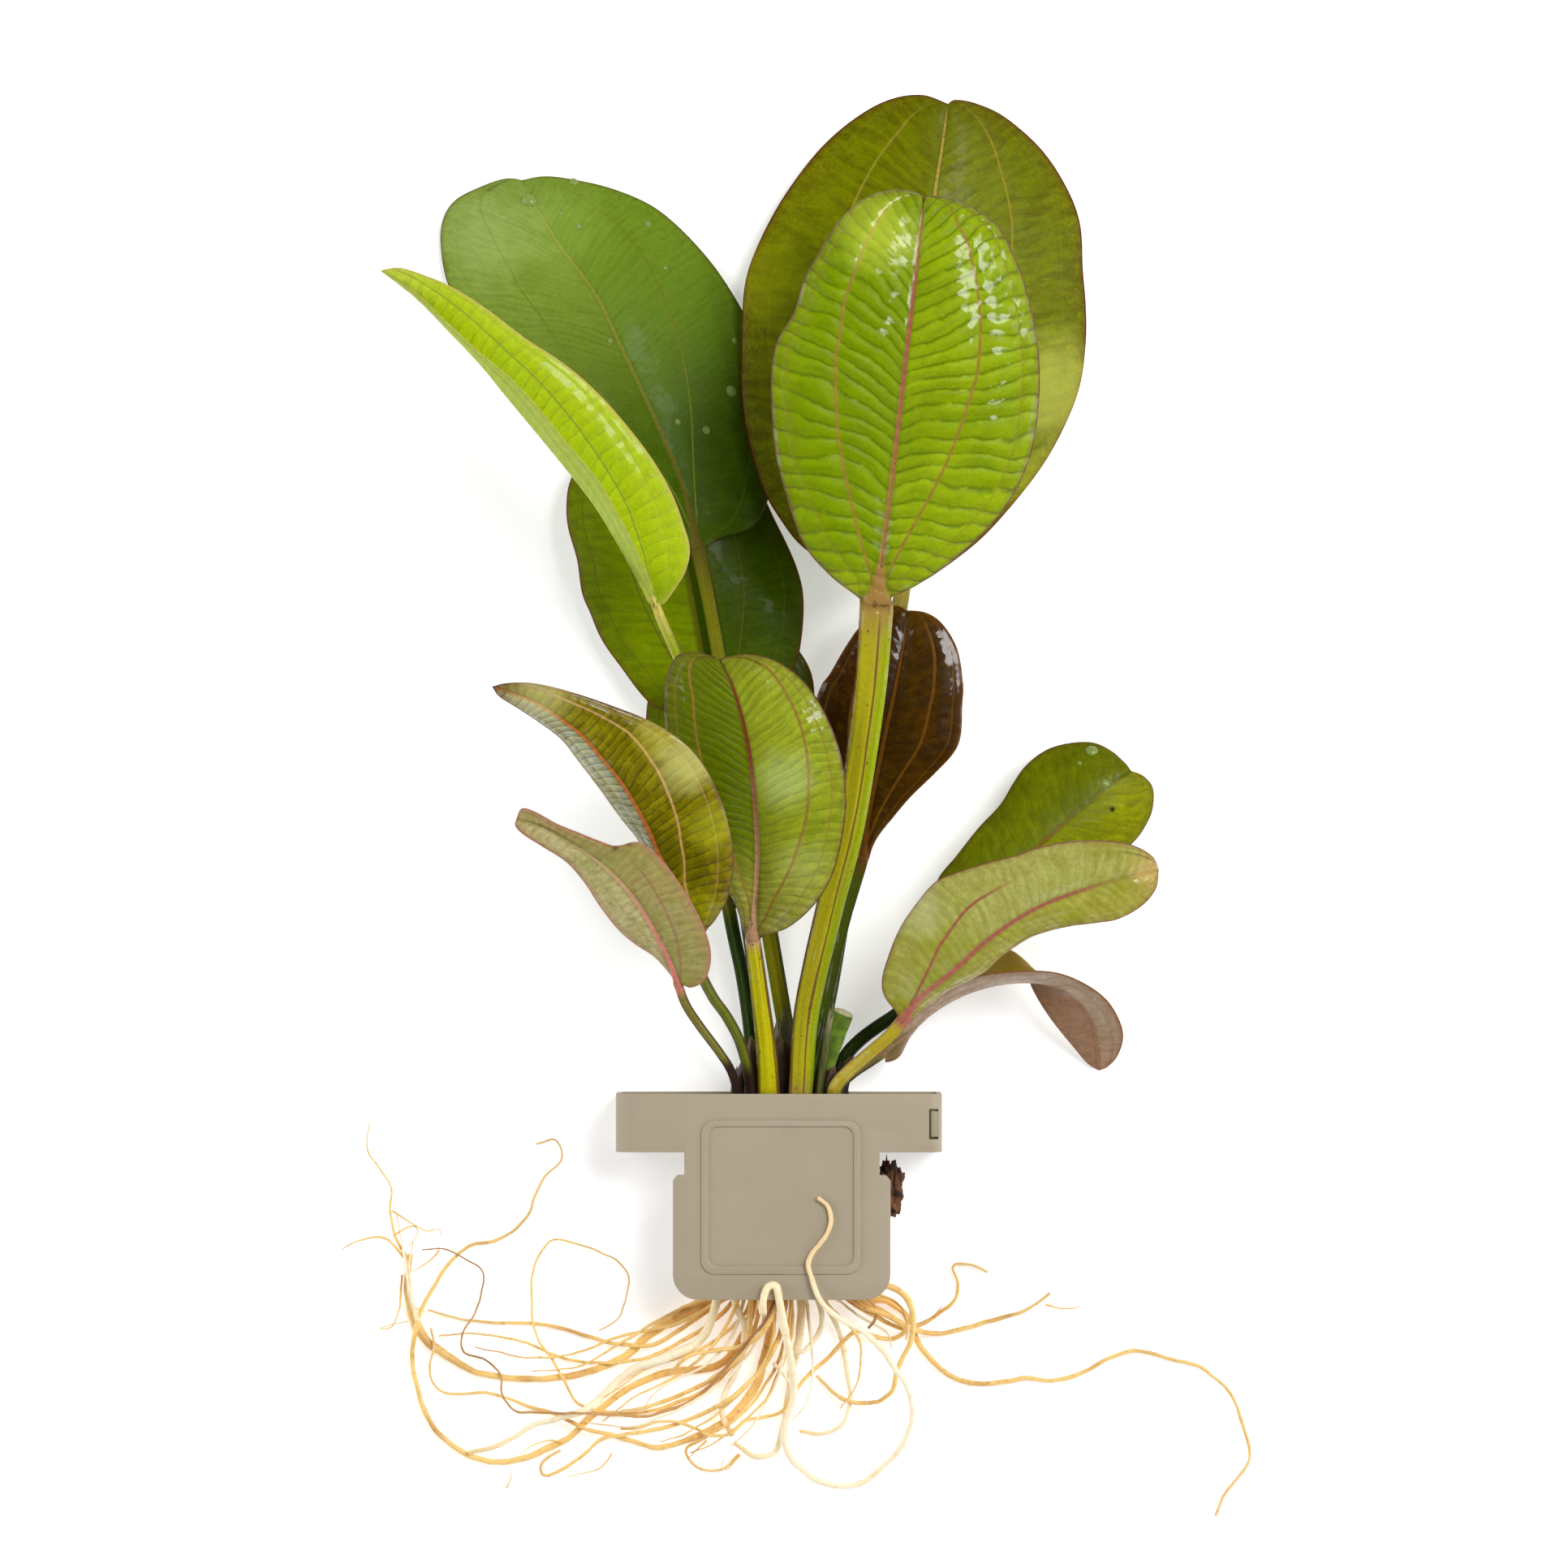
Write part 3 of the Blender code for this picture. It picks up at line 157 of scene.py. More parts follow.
def leaf_mesh(name, stalk, midrib, left, right, girth, arch, rib=(0.6, 0.35), veins=None,
              cross=(2.4, 0.5, 0.5), quilt=0.12, wave=0.25, seed=0, rows=130):
    """One leaf: stalk and blade in one closed skin.

    stalk runs from the crown to the blade's foot, midrib on from there to the tip, and left
    and right are the margins. girth is the half width and half depth of the stalk at the crown
    and at the foot, arch lifts the middle of each half. rib is the midrib's half width near
    the foot and at the tip. veins gives, for each side, how far out a vein runs at shares of
    the blade's length. cross is the spacing of the cross veins and their slant left and right.
    """
    even = np.linspace(0, 1, rows)
    shares = 0.5 * even + 0.25 * (1 - np.cos(math.pi * even))
    stalk_line = smooth([spot(*p) for p in stalk], STALK_ROWS)
    foot, tip = spot(*stalk[-1]), spot(*midrib[-1])
    middle_line = smooth([foot] + [spot(*p) for p in midrib], rows, shares)
    wide_in, deep_in, wide_out, deep_out = girth
    side = np.cross(middle_line[1] - middle_line[0], [0, 0, 1])
    side /= np.linalg.norm(side)
    near = [foot - Vector(side * wide_out)] + [spot(*p) for p in left] + [tip]
    far = [foot + Vector(side * wide_out)] + [spot(*p) for p in right] + [tip]
    left_line = smooth(near, rows, shares)
    right_line = smooth(far, rows, shares)

    # Columns lie evenly between the veins and closer together towards the margins.
    column = np.linspace(-1, 1, 6 * GAP_COLUMNS + 1)
    beyond = np.clip(np.abs(column) * 3 - 2, 0, 1)
    out = np.where(beyond > 0, 2 / 3 + (1 - (1 - beyond) ** 1.5) / 3, np.abs(column))
    is_left = column < 0
    routes = {"left": INNER_VEIN, "right": INNER_VEIN, "outer_left": OUTER_VEIN,
              "outer_right": OUTER_VEIN}
    routes.update(veins or {})
    t = shares[:-1]
    run = np.empty((len(t), len(column)))
    vein_at = {key: np.interp(t, *zip(*route)) for key, route in routes.items()}
    for i in range(len(t)):
        for half_side, inner, outer in ((is_left, "left", "outer_left"),
                                        (~is_left, "right", "outer_right")):
            knots = [0, vein_at[inner][i], vein_at[outer][i], 1]
            run[i, half_side] = np.interp(out[half_side], [0, 1 / 3, 2 / 3, 1], knots)
    round_run = np.abs(np.sin(math.pi / 2 * column))
    rounding = (1 - eased(t, 0, 0.07))[:, None]
    run = run * (1 - rounding) + round_run * rounding

    # The stalk's rows come first, then the blade's.
    u = np.arange(STALK_ROWS - 1) / (STALK_ROWS - 1)
    heading = np.gradient(stalk_line, axis=0)[:-1]
    across = np.cross(heading, [0, 0, 1])
    across /= np.linalg.norm(across, axis=1)[:, None]
    stalk_wide = wide_in + (wide_out - wide_in) * u
    stalk_deep = deep_in + (deep_out - deep_in) * u
    centre = np.vstack([stalk_line[:-1], middle_line[:-1]])
    reach_left = np.vstack([-across * stalk_wide[:, None], (left_line - middle_line)[:-1]])
    reach_right = np.vstack([across * stalk_wide[:, None], (right_line - middle_line)[:-1]])
    run = np.vstack([np.tile(round_run, (len(u), 1)), run])
    share = np.concatenate([u - 1, t])
    blade = np.concatenate([np.zeros(len(u)), np.ones(len(t))])
    reach = np.where(is_left[None, :, None], reach_left[:, None], reach_right[:, None])
    grid = centre[:, None] + reach * run[:, :, None]
    lift = arch * 4 * run * (1 - run) * np.sin(math.pi * np.clip(share, 0, 1))[:, None] ** 0.5
    grid[:, :, 2] += lift * blade[:, None]

    # Along the blade in millimetres, and how far each place is from midrib, veins and margin.
    steps = np.linalg.norm(np.diff(centre, axis=0), axis=1)
    along = np.concatenate([[0], np.cumsum(steps)])
    along -= along[len(u)]
    half = np.linalg.norm(reach, axis=2)
    offset = run * half
    thinning = np.exp(-np.clip(share, 0, 1) / 0.05)
    rib_wide = rib[0] + (rib[1] - rib[0]) * np.clip(share, 0, 1)
    rib_wide = rib_wide + (wide_out - rib[0]) * thinning
    rib_wide[: len(u)] = stalk_wide
    rib_ratio = offset / rib_wide[:, None]
    inner_at = np.where(is_left, vein_at["left"][:, None], vein_at["right"][:, None])
    outer_at = np.where(is_left, vein_at["outer_left"][:, None], vein_at["outer_right"][:, None])
    far_off = np.full((len(u), len(column)), 9.0)
    inner_off = np.vstack([far_off, np.abs(run[len(u):] - inner_at) * half[len(u):]])
    outer_off = np.vstack([far_off, np.abs(run[len(u):] - outer_at) * half[len(u):]])
    rim_off = np.vstack([far_off, ((1 - run) * half)[len(u):]])

    # The skin swells between the veins, and the cross veins tie it down.
    spacing, slant_left, slant_right = cross
    slant = np.where(is_left, slant_left, slant_right)
    climb = slant * half * (run - 0.55 * run**2)
    ladder = (along[:, None] - climb) / spacing + 0.7 * drift(grid, 8, seed + 3.1)
    fade = (eased(share, 0.02, 0.1) * (1 - eased(share, 0.9, 1)))[:, None]
    swell = np.abs(np.sin(math.pi * 3 * out))[None, :] ** 0.8
    swell = swell * np.where(out > 2 / 3, 0.45, 1)[None, :]
    swell = swell * (0.35 + 0.65 * np.abs(np.sin(math.pi * ladder)) ** 0.7)
    rise = quilt * swell * fade
    rise += 0.5 * wave * drift(grid, 11, seed) * fade
    rise += wave * run**3 * drift(grid, 16, seed + 7.7) * fade
    normal = np.cross(np.gradient(grid, axis=1), np.gradient(grid, axis=0))
    normal /= np.linalg.norm(normal, axis=2)[:, :, None]
    grid += normal * rise[:, :, None]

    # Thickness: a round stalk that sinks into a thin blade with a rounded margin.
    sunk = eased(share, 0, 0.16)[:, None]
    rib_deep = deep_out * np.exp(-np.clip(share, 0, 1) / 0.14) + 0.3 * eased(share, 0, 0.1)
    rib_deep *= 1 - 0.5 * np.clip(share, 0, 1)
    rib_deep[: len(u)] = stalk_deep
    hump = np.clip(1 - rib_ratio**2, 0, 1) ** (0.5 + 0.9 * sunk)
    ridges = 1 + 0.07 * np.cos(column * 11)[None, :] * (1 - sunk)
    rib_rise = rib_deep[:, None] * hump * ridges
    vein_hump = 0.1 * np.exp(-((inner_off / 0.35) ** 2)) + 0.05 * np.exp(-((outer_off / 0.3) ** 2))
    flat = BLADE_HALF * np.minimum(1, half / 2) * np.sqrt(np.clip(1 - run**10, 0, 1))
    flat = flat * eased(share, 0, 0.05)[:, None]
    top = (np.maximum(rib_rise * (1 - 0.55 * sunk), 0) ** 3 + flat**3) ** (1 / 3)
    bottom = ((rib_rise + vein_hump * fade) ** 3 + flat**3) ** (1 / 3)
    normal = np.cross(np.gradient(grid, axis=1), np.gradient(grid, axis=0))
    normal /= np.linalg.norm(normal, axis=2)[:, :, None]
    grid[:, :, 2] = np.maximum(grid[:, :, 2], bottom * np.abs(normal[:, :, 2]) + 0.02)
    upper = grid + normal * top[:, :, None]
    lower = grid - normal * bottom[:, :, None]
    upper[:, :, 2] = np.maximum(upper[:, :, 2], 0.01)
    lower[:, :, 2] = np.maximum(lower[:, :, 2], 0.01)

    count = len(share)
    places = ringed(upper, lower).reshape(-1, 3)
    places = np.vstack([places, stalk_line[:1], np.array(tip)[None]])
    index, turned, faces = tube_faces(count, 2 * len(column) - 2)
    mesh = closed_mesh(name, places, faces + end_faces(index, turned))

    def full(values):
        return np.broadcast_to(values, (count, len(column)))

    zeros, ones = full(0.0), full(1.0)
    written = {
        "leaf_place": (full(column), full(share[:, None]), ladder),
        "leaf_lines": (rib_ratio, inner_off, outer_off),
        "leaf_rim": (rim_off, zeros, full(along[:, None])),
    }
    for key, parts in written.items():
        above = np.stack(parts, axis=-1)
        below = above.copy()
        if key == "leaf_rim":
            below[:, :, 1] = ones
        values = ringed(above, below).reshape(-1, 3)
        values = np.vstack([values, values[:1], values[-1:]])
        layer = mesh.attributes.new(key, "FLOAT_VECTOR", "POINT")
        layer.data.foreach_set("vector", values.astype(np.float32).ravel())
    return mesh


def put(tree, kind, inputs, **settings):
    """Adds a node to a tree; inputs are plain values or the outputs that feed them."""
    made = tree.nodes.new(kind)
    for name, value in settings.items():
        setattr(made, name, value)
    for key, value in inputs.items():
        if isinstance(value, bpy.types.NodeSocket):
            tree.links.new(value, made.inputs[key])
        else:
            made.inputs[key].default_value = value
    return made


def sums(tree, operation, *values):
    inputs = dict(enumerate(values))
    return put(tree, "ShaderNodeMath", inputs, operation=operation).outputs[0]


def mixed(tree, share, one, other):
    made = put(tree, "ShaderNodeMix", {0: share, 6: one, 7: other}, data_type="RGBA")
    return made.outputs[2]


def ramp(tree, value, low, high):
    """0 where value is at low, 1 at high, with soft ends."""
    inputs = {0: value, 1: low, 2: high}
    made = put(tree, "ShaderNodeMapRange", inputs, interpolation_type="SMOOTHSTEP")
    return made.outputs[0]


def clouds(tree, where, size, detail=2.0):
    """Noise from 0 to 1; size is its wave in millimetres."""
    inputs = {"Vector": where, "Scale": 1 / (size * MM), "Detail": detail}
    return put(tree, "ShaderNodeTexNoise", inputs).outputs[0]


def paint(red, green, blue):
    """A colour as screens count it, from 0 to 255, turned into light."""
    parts = [v / 255 for v in (red, green, blue)]
    return tuple(p / 12.92 if p < 0.04045 else ((p + 0.055) / 1.055) ** 2.4 for p in parts) + (1,)


def new_finish(name):
    """A new material, its node tree and the shader in it."""
    made = bpy.data.materials.new(name)
    made.use_nodes = True
    return made, made.node_tree, made.node_tree.nodes["Principled BSDF"]


def object_place(tree):
    """Where each point lies on its piece, in metres."""
    return tree.nodes.new("ShaderNodeTexCoord").outputs["Object"]


def bumped(tree, shader, height, strength, distance):
    """Makes a skin uneven by a height from 0 to 1; distance is its depth in metres."""
    inputs = {"Strength": strength, "Distance": distance, "Height": height}
    bump = put(tree, "ShaderNodeBump", inputs)
    tree.links.new(bump.outputs[0], shader.inputs["Normal"])


LEAF_COLOURS = {
    "Left": (118, 126, 0), "Right": (118, 128, 0), "Blotch": (94, 100, 0), "Foot": (120, 124, 10),
    "Tip": (88, 88, 2), "Rib": (172, 148, 66), "Rib Tip": (164, 142, 60), "Vein": (138, 128, 30),
    "Dark": (58, 60, 0), "Rim": (92, 40, 12), "Under": (120, 130, 50), "Stalk": (120, 130, 20),
    "Stalk Left": (66, 44, 36), "Stalk Right": (66, 44, 36), "Stalk Foot": (52, 36, 22),
    "Ridge": (96, 60, 50), "Mottle": (150, 110, 60), "Stripe": (100, 96, 30),
}
# The last of the numbers below sets how strong the painted shade on the leaf's pillows is.
LEAF_NUMBERS = {
    "Blotches": 0.5, "Foot To": 0.1, "Tip From": 0.8, "Tip Share": 0.6, "Ladder": 0.3, "Net": 0.12,
    "Rim Wide": 0.3, "Rim Net": 0.5, "Quilt": 0.0, "Streaks": 0.25, "Vein Wide": 0.3,
    "Outer Vein": 0.3, "Dots": 0.5, "Rough": 0.36, "Under Share": 0.8, "Left From": -0.35,
    "Right From": 0.35, "Ridge At": 5.0, "Ridge Wide": 0.07, "Mottles": 0.0, "Mottle Size": 1.0,
    "Rung Wide": 0.28, "Left Vein": 1.0, "Right Vein": 1.0, "Vein To": 1.0, "Rib To": 1.1,
    "Foot From": -0.88, "Relief": 0.2,
}


def add_sockets(group, side, kind, labels):
    """Gives a shader group inputs or outputs of one kind."""
    for label in labels:
        group.interface.new_socket(label, in_out=side, socket_type="NodeSocket" + kind)


leaf_skin = bpy.data.node_groups.new("leaf_skin", "ShaderNodeTree")
add_sockets(leaf_skin, "INPUT", "Color", LEAF_COLOURS)
add_sockets(leaf_skin, "INPUT", "Float", LEAF_NUMBERS)
add_sockets(leaf_skin, "OUTPUT", "Color", ["Color"])
add_sockets(leaf_skin, "OUTPUT", "Float", ["Roughness", "Height", "Gloss"])


def draw_leaf_skin(tree):
    """Fills the group that colours a leaf from its veins, margin, stalk and two faces."""
    given = tree.nodes.new("NodeGroupInput").outputs

    def read(name):
        vector = put(tree, "ShaderNodeAttribute", {}, attribute_name=name).outputs["Vector"]
        return put(tree, "ShaderNodeSeparateXYZ", {0: vector}).outputs

    column, share, ladder = read("leaf_place")
    rib, inner, outer = read("leaf_lines")
    rim, under, along = read("leaf_rim")
    where = object_place(tree)
    wide_clouds = clouds(tree, where, 16, 3)
    small_clouds = clouds(tree, where, 3.2, 3)
    grain = clouds(tree, where, 0.7, 2)

    skin = mixed(tree, ramp(tree, column, -0.02, 0.02), given["Left"], given["Right"])
    foot = sums(tree, "DIVIDE", share, given["Foot To"])
    skin = mixed(tree, ramp(tree, foot, 1.3, 0.3), skin, given["Foot"])
    tip = sums(tree, "MULTIPLY", ramp(tree, share, given["Tip From"], 1.02), given["Tip Share"])
    skin = mixed(tree, tip, skin, given["Tip"])
    both = sums(tree, "MULTIPLY_ADD", small_clouds, 0.4, sums(tree, "MULTIPLY", wide_clouds, 0.6))
    patches = sums(tree, "MULTIPLY", ramp(tree, both, 0.38, 0.64), given["Blotches"])
    skin = mixed(tree, patches, skin, given["Blotch"])

    drawn = put(tree, "ShaderNodeCombineXYZ", {0: sums(tree, "MULTIPLY", column, 3.0),
                                               1: ladder, 2: under}).outputs[0]
    streaks = put(tree, "ShaderNodeTexNoise", {"Vector": drawn, "Scale": 1.6,
                                               "Detail": 3.0}).outputs[0]
    streaks = sums(tree, "MULTIPLY", ramp(tree, streaks, 0.42, 0.66), given["Streaks"])
    skin = mixed(tree, streaks, skin, given["Dark"])

    # Irregular marks where the blade ages or its veins show through.
    scaled = put(tree, "ShaderNodeVectorMath", {0: where, "Scale": given["Mottle Size"]},
                 operation="SCALE").outputs[0]
    marks = sums(tree, "MULTIPLY_ADD", clouds(tree, scaled, 7, 2), 0.5,
                 sums(tree, "MULTIPLY", clouds(tree, scaled, 1.7, 4), 0.5))
    marks = sums(tree, "MULTIPLY", ramp(tree, marks, 0.5, 0.57), given["Mottles"])
    skin = mixed(tree, marks, skin, given["Mottle"])

    # Cross veins: thin dark lines where the ladder count is whole, with pillows between them,
    # and a finer net of cells that is browner towards the margin.
    shifted = sums(tree, "MULTIPLY_ADD", small_clouds, 0.5, ladder)
    pillow = sums(tree, "ABSOLUTE", sums(tree, "SINE", sums(tree, "MULTIPLY", shifted, math.pi)))
    bay = sums(tree, "ABSOLUTE", sums(tree, "SINE", sums(tree, "MULTIPLY", column, 3 * math.pi)))
    rung = ramp(tree, pillow, given["Rung Wide"], 0.02)
    strength = sums(tree, "MULTIPLY", ramp(tree, small_clouds, 0.2, 0.5), given["Ladder"])
    rung = sums(tree, "MULTIPLY", rung, strength)
    woven = put(tree, "ShaderNodeCombineXYZ", {0: sums(tree, "MULTIPLY", column, 24.0),
                                               1: sums(tree, "MULTIPLY", shifted, 2.4)}).outputs[0]
    cells = put(tree, "ShaderNodeTexVoronoi", {"Vector": woven, "Scale": 1.0},
                feature="DISTANCE_TO_EDGE").outputs["Distance"]
    near_rim = ramp(tree, rim, 6.5, 0.5)
    net = sums(tree, "MULTIPLY", ramp(tree, cells, 0.13, 0.02), given["Net"])
    net = sums(tree, "MULTIPLY", net, sums(tree, "MULTIPLY_ADD", near_rim, 0.7, 0.3))
    lines = sums(tree, "MAXIMUM", rung, net)
    browned = sums(tree, "MULTIPLY", near_rim, given["Rim Net"])
    line_colour = mixed(tree, browned, given["Dark"], given["Rim"])
    skin = mixed(tree, lines, skin, line_colour)

    # The side veins, the midrib with painted shade along its flanks, and small brown dots along
    # them.
    wide = given["Vein Wide"]
    inner_line = ramp(tree, sums(tree, "DIVIDE", inner, wide), 1.3, 0.5)
    shown = put(tree, "ShaderNodeMix", {0: ramp(tree, column, -0.02, 0.02),
                                        2: given["Left Vein"], 3: given["Right Vein"]}).outputs[0]
    inner_line = sums(tree, "MULTIPLY", inner_line, shown)
    outer_line = ramp(tree, sums(tree, "DIVIDE", outer, wide), 1.1, 0.4)
    outer_line = sums(tree, "MULTIPLY", outer_line, given["Outer Vein"])
    fading = ramp(tree, sums(tree, "SUBTRACT", given["Vein To"], share), 0.0, 0.16)
    vein = sums(tree, "MULTIPLY", sums(tree, "MAXIMUM", inner_line, outer_line), fading)
    skin = mixed(tree, vein, skin, given["Vein"])
    # Painted shade on the midrib's flanks.
    rib_side_shade = sums(tree, "MULTIPLY", ramp(tree, rib, 2.4, 1.0), 0.35)
    skin = mixed(tree, rib_side_shade, skin, given["Dark"])
    rib_colour = mixed(tree, ramp(tree, share, 0.0, 0.75), given["Rib"], given["Rib Tip"])
    rib_line = ramp(tree, rib, 1.15, 0.75)
    rib_line = sums(tree, "MULTIPLY", rib_line,
                    ramp(tree, sums(tree, "SUBTRACT", given["Rib To"], share), 0.0, 0.2))
    skin = mixed(tree, rib_line, skin, rib_colour)
    edge = sums(tree, "DIVIDE", rim, given["Rim Wide"])
    halo = sums(tree, "MULTIPLY", ramp(tree, edge, 5.0, 0.6), 0.35)
    skin = mixed(tree, halo, skin, given["Rim"])
    skin = mixed(tree, ramp(tree, edge, 1.5, 0.7), skin, given["Rim"])
    covered = sums(tree, "MULTIPLY", under, given["Under Share"])
    skin = mixed(tree, covered, skin, given["Under"])

    # The stalk: streaks along it, and its own colours at the edges and at the crown.
    stretch = put(tree, "ShaderNodeCombineXYZ",
                  {0: sums(tree, "MULTIPLY", column, 5.0), 1: sums(tree, "MULTIPLY", along, 0.05),
                   2: under}).outputs[0]
    streak = put(tree, "ShaderNodeTexNoise", {"Vector": stretch, "Scale": 1.0,
                                              "Detail": 3.0}).outputs[0]
    wavy = sums(tree, "MULTIPLY_ADD", sums(tree, "SUBTRACT", streak, 0.5), 0.8, column)
    left_of = sums(tree, "SUBTRACT", given["Left From"], wavy)
    right_of = sums(tree, "SUBTRACT", wavy, given["Right From"])
    stalk = mixed(tree, ramp(tree, left_of, 0.0, 0.4), given["Stalk"], given["Stalk Left"])
    stalk = mixed(tree, ramp(tree, right_of, 0.0, 0.3), stalk, given["Stalk Right"])
    stripe = sums(tree, "MULTIPLY", ramp(tree, streak, 0.52, 0.7), 0.45)
    stalk = mixed(tree, stripe, stalk, given["Stripe"])
    at_foot = ramp(tree, sums(tree, "SUBTRACT", given["Foot From"], share), 0.0, 0.12)
    stalk = mixed(tree, at_foot, stalk, given["Stalk Foot"])
    straight = sums(tree, "MULTIPLY_ADD", sums(tree, "SUBTRACT", streak, 0.5), 0.2, column)
    off_ridge = sums(tree, "ABSOLUTE", sums(tree, "SUBTRACT", straight, given["Ridge At"]))
    ridge = ramp(tree, sums(tree, "DIVIDE", off_ridge, given["Ridge Wide"]), 1.4, 0.5)
    stalk = mixed(tree, sums(tree, "MULTIPLY", ridge, 0.85), stalk, given["Ridge"])
    stalk = mixed(tree, ramp(tree, share, -0.1, 0.02), stalk, given["Rib"])
    skin = mixed(tree, ramp(tree, share, -0.02, 0.005), stalk, skin)

    speck = put(tree, "ShaderNodeTexVoronoi", {"Vector": where, "Scale": 760.0}).outputs
    picked = ramp(tree, put(tree, "ShaderNodeSeparateColor", {0: speck["Color"]}).outputs[0],
                  0.5, 0.9)
    dots = sums(tree, "MULTIPLY", ramp(tree, speck["Distance"], 0.26, 0.1), picked)
    near_rib = sums(tree, "MULTIPLY", ramp(tree, rib, 1.6, 0.9), given["Dots"])
    dots = sums(tree, "MULTIPLY", dots, near_rib)
    skin = mixed(tree, dots, skin, (0.05, 0.022, 0.008, 1))
    # Painted shade and highlight on the pillows between the cross veins: each is lighter towards
    # its end nearer the tip and darker towards its lower end. The fine grain adds random tone.
    slope = sums(tree, "SUBTRACT", sums(tree, "FRACT", shifted), 0.5)
    slope = sums(tree, "MULTIPLY", slope, sums(tree, "MULTIPLY", pillow, given["Relief"]))
    slope = sums(tree, "MULTIPLY", slope, ramp(tree, share, 0.0, 0.06))
    shade = sums(tree, "ADD", sums(tree, "MULTIPLY_ADD", grain, 0.36, 0.82), slope)
    shade = put(tree, "ShaderNodeCombineColor", {0: shade, 1: shade, 2: shade}).outputs[0]
    skin = put(tree, "ShaderNodeMix", {0: 1.0, 6: skin, 7: shade}, data_type="RGBA",
               blend_type="MULTIPLY").outputs[2]

    puffed = sums(tree, "MULTIPLY", sums(tree, "POWER", pillow, 0.6), given["Quilt"])
    puffed = sums(tree, "MULTIPLY", puffed, sums(tree, "POWER", bay, 0.5))
    on_stalk = ramp(tree, share, 0.05, -0.02)
    drawn_up = sums(tree, "MULTIPLY_ADD", net, -0.12, puffed)
    height = sums(tree, "MULTIPLY", drawn_up, sums(tree, "SUBTRACT", 1.0, on_stalk))
    height = sums(tree, "MULTIPLY_ADD", vein, 0.35, height)
    height = sums(tree, "MULTIPLY_ADD", small_clouds, 0.8, height)
    height = sums(tree, "MULTIPLY_ADD", grain, 0.25, height)
    height = sums(tree, "MULTIPLY_ADD", sums(tree, "MULTIPLY", streak, on_stalk), 1.5, height)
    rough = sums(tree, "MULTIPLY_ADD", sums(tree, "SUBTRACT", small_clouds, 0.5), 0.3,
                 given["Rough"])
    rough = sums(tree, "MULTIPLY_ADD", under, 0.2, rough)
    wet = sums(tree, "MULTIPLY_ADD", clouds(tree, where, 2.2, 3), 0.6,
               sums(tree, "MULTIPLY", clouds(tree, where, 9, 1), 0.4))
    gloss = sums(tree, "MULTIPLY", ramp(tree, wet, 0.47, 0.58),
                 sums(tree, "MULTIPLY_ADD", under, -0.7, 1.0))
    put(tree, "NodeGroupOutput", {"Color": skin, "Roughness": rough, "Height": height,
                                  "Gloss": gloss})


draw_leaf_skin(leaf_skin)


WIDE_MARK = 10      # radius in steps of the view


def leaf_finish(name, colours, marks=(), gloss=0.3, **numbers):
    """A leaf's material. marks are stains and painted sheen: across, down, height, radius, colour
    and strength.

    Colours and numbers are given where they differ from the usual ones above.
    A wide mark lightens the skin, and most wide marks are painted sheen; a small one covers it.
    """
    finish, tree, shader = new_finish(name)
    skin = put(tree, "ShaderNodeGroup", {}, node_tree=leaf_skin)
    for label, value in {**LEAF_COLOURS, **colours}.items():
        skin.inputs[label].default_value = paint(*value)
    for label, value in {**LEAF_NUMBERS, **numbers}.items():
        skin.inputs[label.replace("_", " ")].default_value = value
    colour = skin.outputs["Color"]
    if marks:
        where = object_place(tree)
        ragged = sums(tree, "SUBTRACT", clouds(tree, where, 3.5, 4), 0.5)
    for across, down, height, size, stain, strength in marks:
        place = spot(across, down, height) * MM
        away = put(tree, "ShaderNodeVectorMath", {0: where, 1: place}, operation="DISTANCE")
        reach = size * STEP * MM
        away = sums(tree, "MULTIPLY_ADD", ragged, reach * 0.9, away.outputs["Value"])
        hit = ramp(tree, away, reach * 1.5, reach * 0.3)
        kind = "SCREEN" if size > WIDE_MARK else "MIX"
        colour = put(tree, "ShaderNodeMix", {0: sums(tree, "MULTIPLY", hit, strength), 6: colour,
                                             7: paint(*stain)},
                     data_type="RGBA", blend_type=kind).outputs[2]
    tree.links.new(colour, shader.inputs["Base Color"])
    tree.links.new(skin.outputs["Roughness"], shader.inputs["Roughness"])
    bumped(tree, shader, skin.outputs["Height"], 0.5, 0.0004)
    tree.links.new(sums(tree, "MULTIPLY", skin.outputs["Gloss"], gloss),
                   shader.inputs["Coat Weight"])
    shader.inputs["Coat Roughness"].default_value = 0.05
    shader.inputs["Specular IOR Level"].default_value = 0.06
    return finish


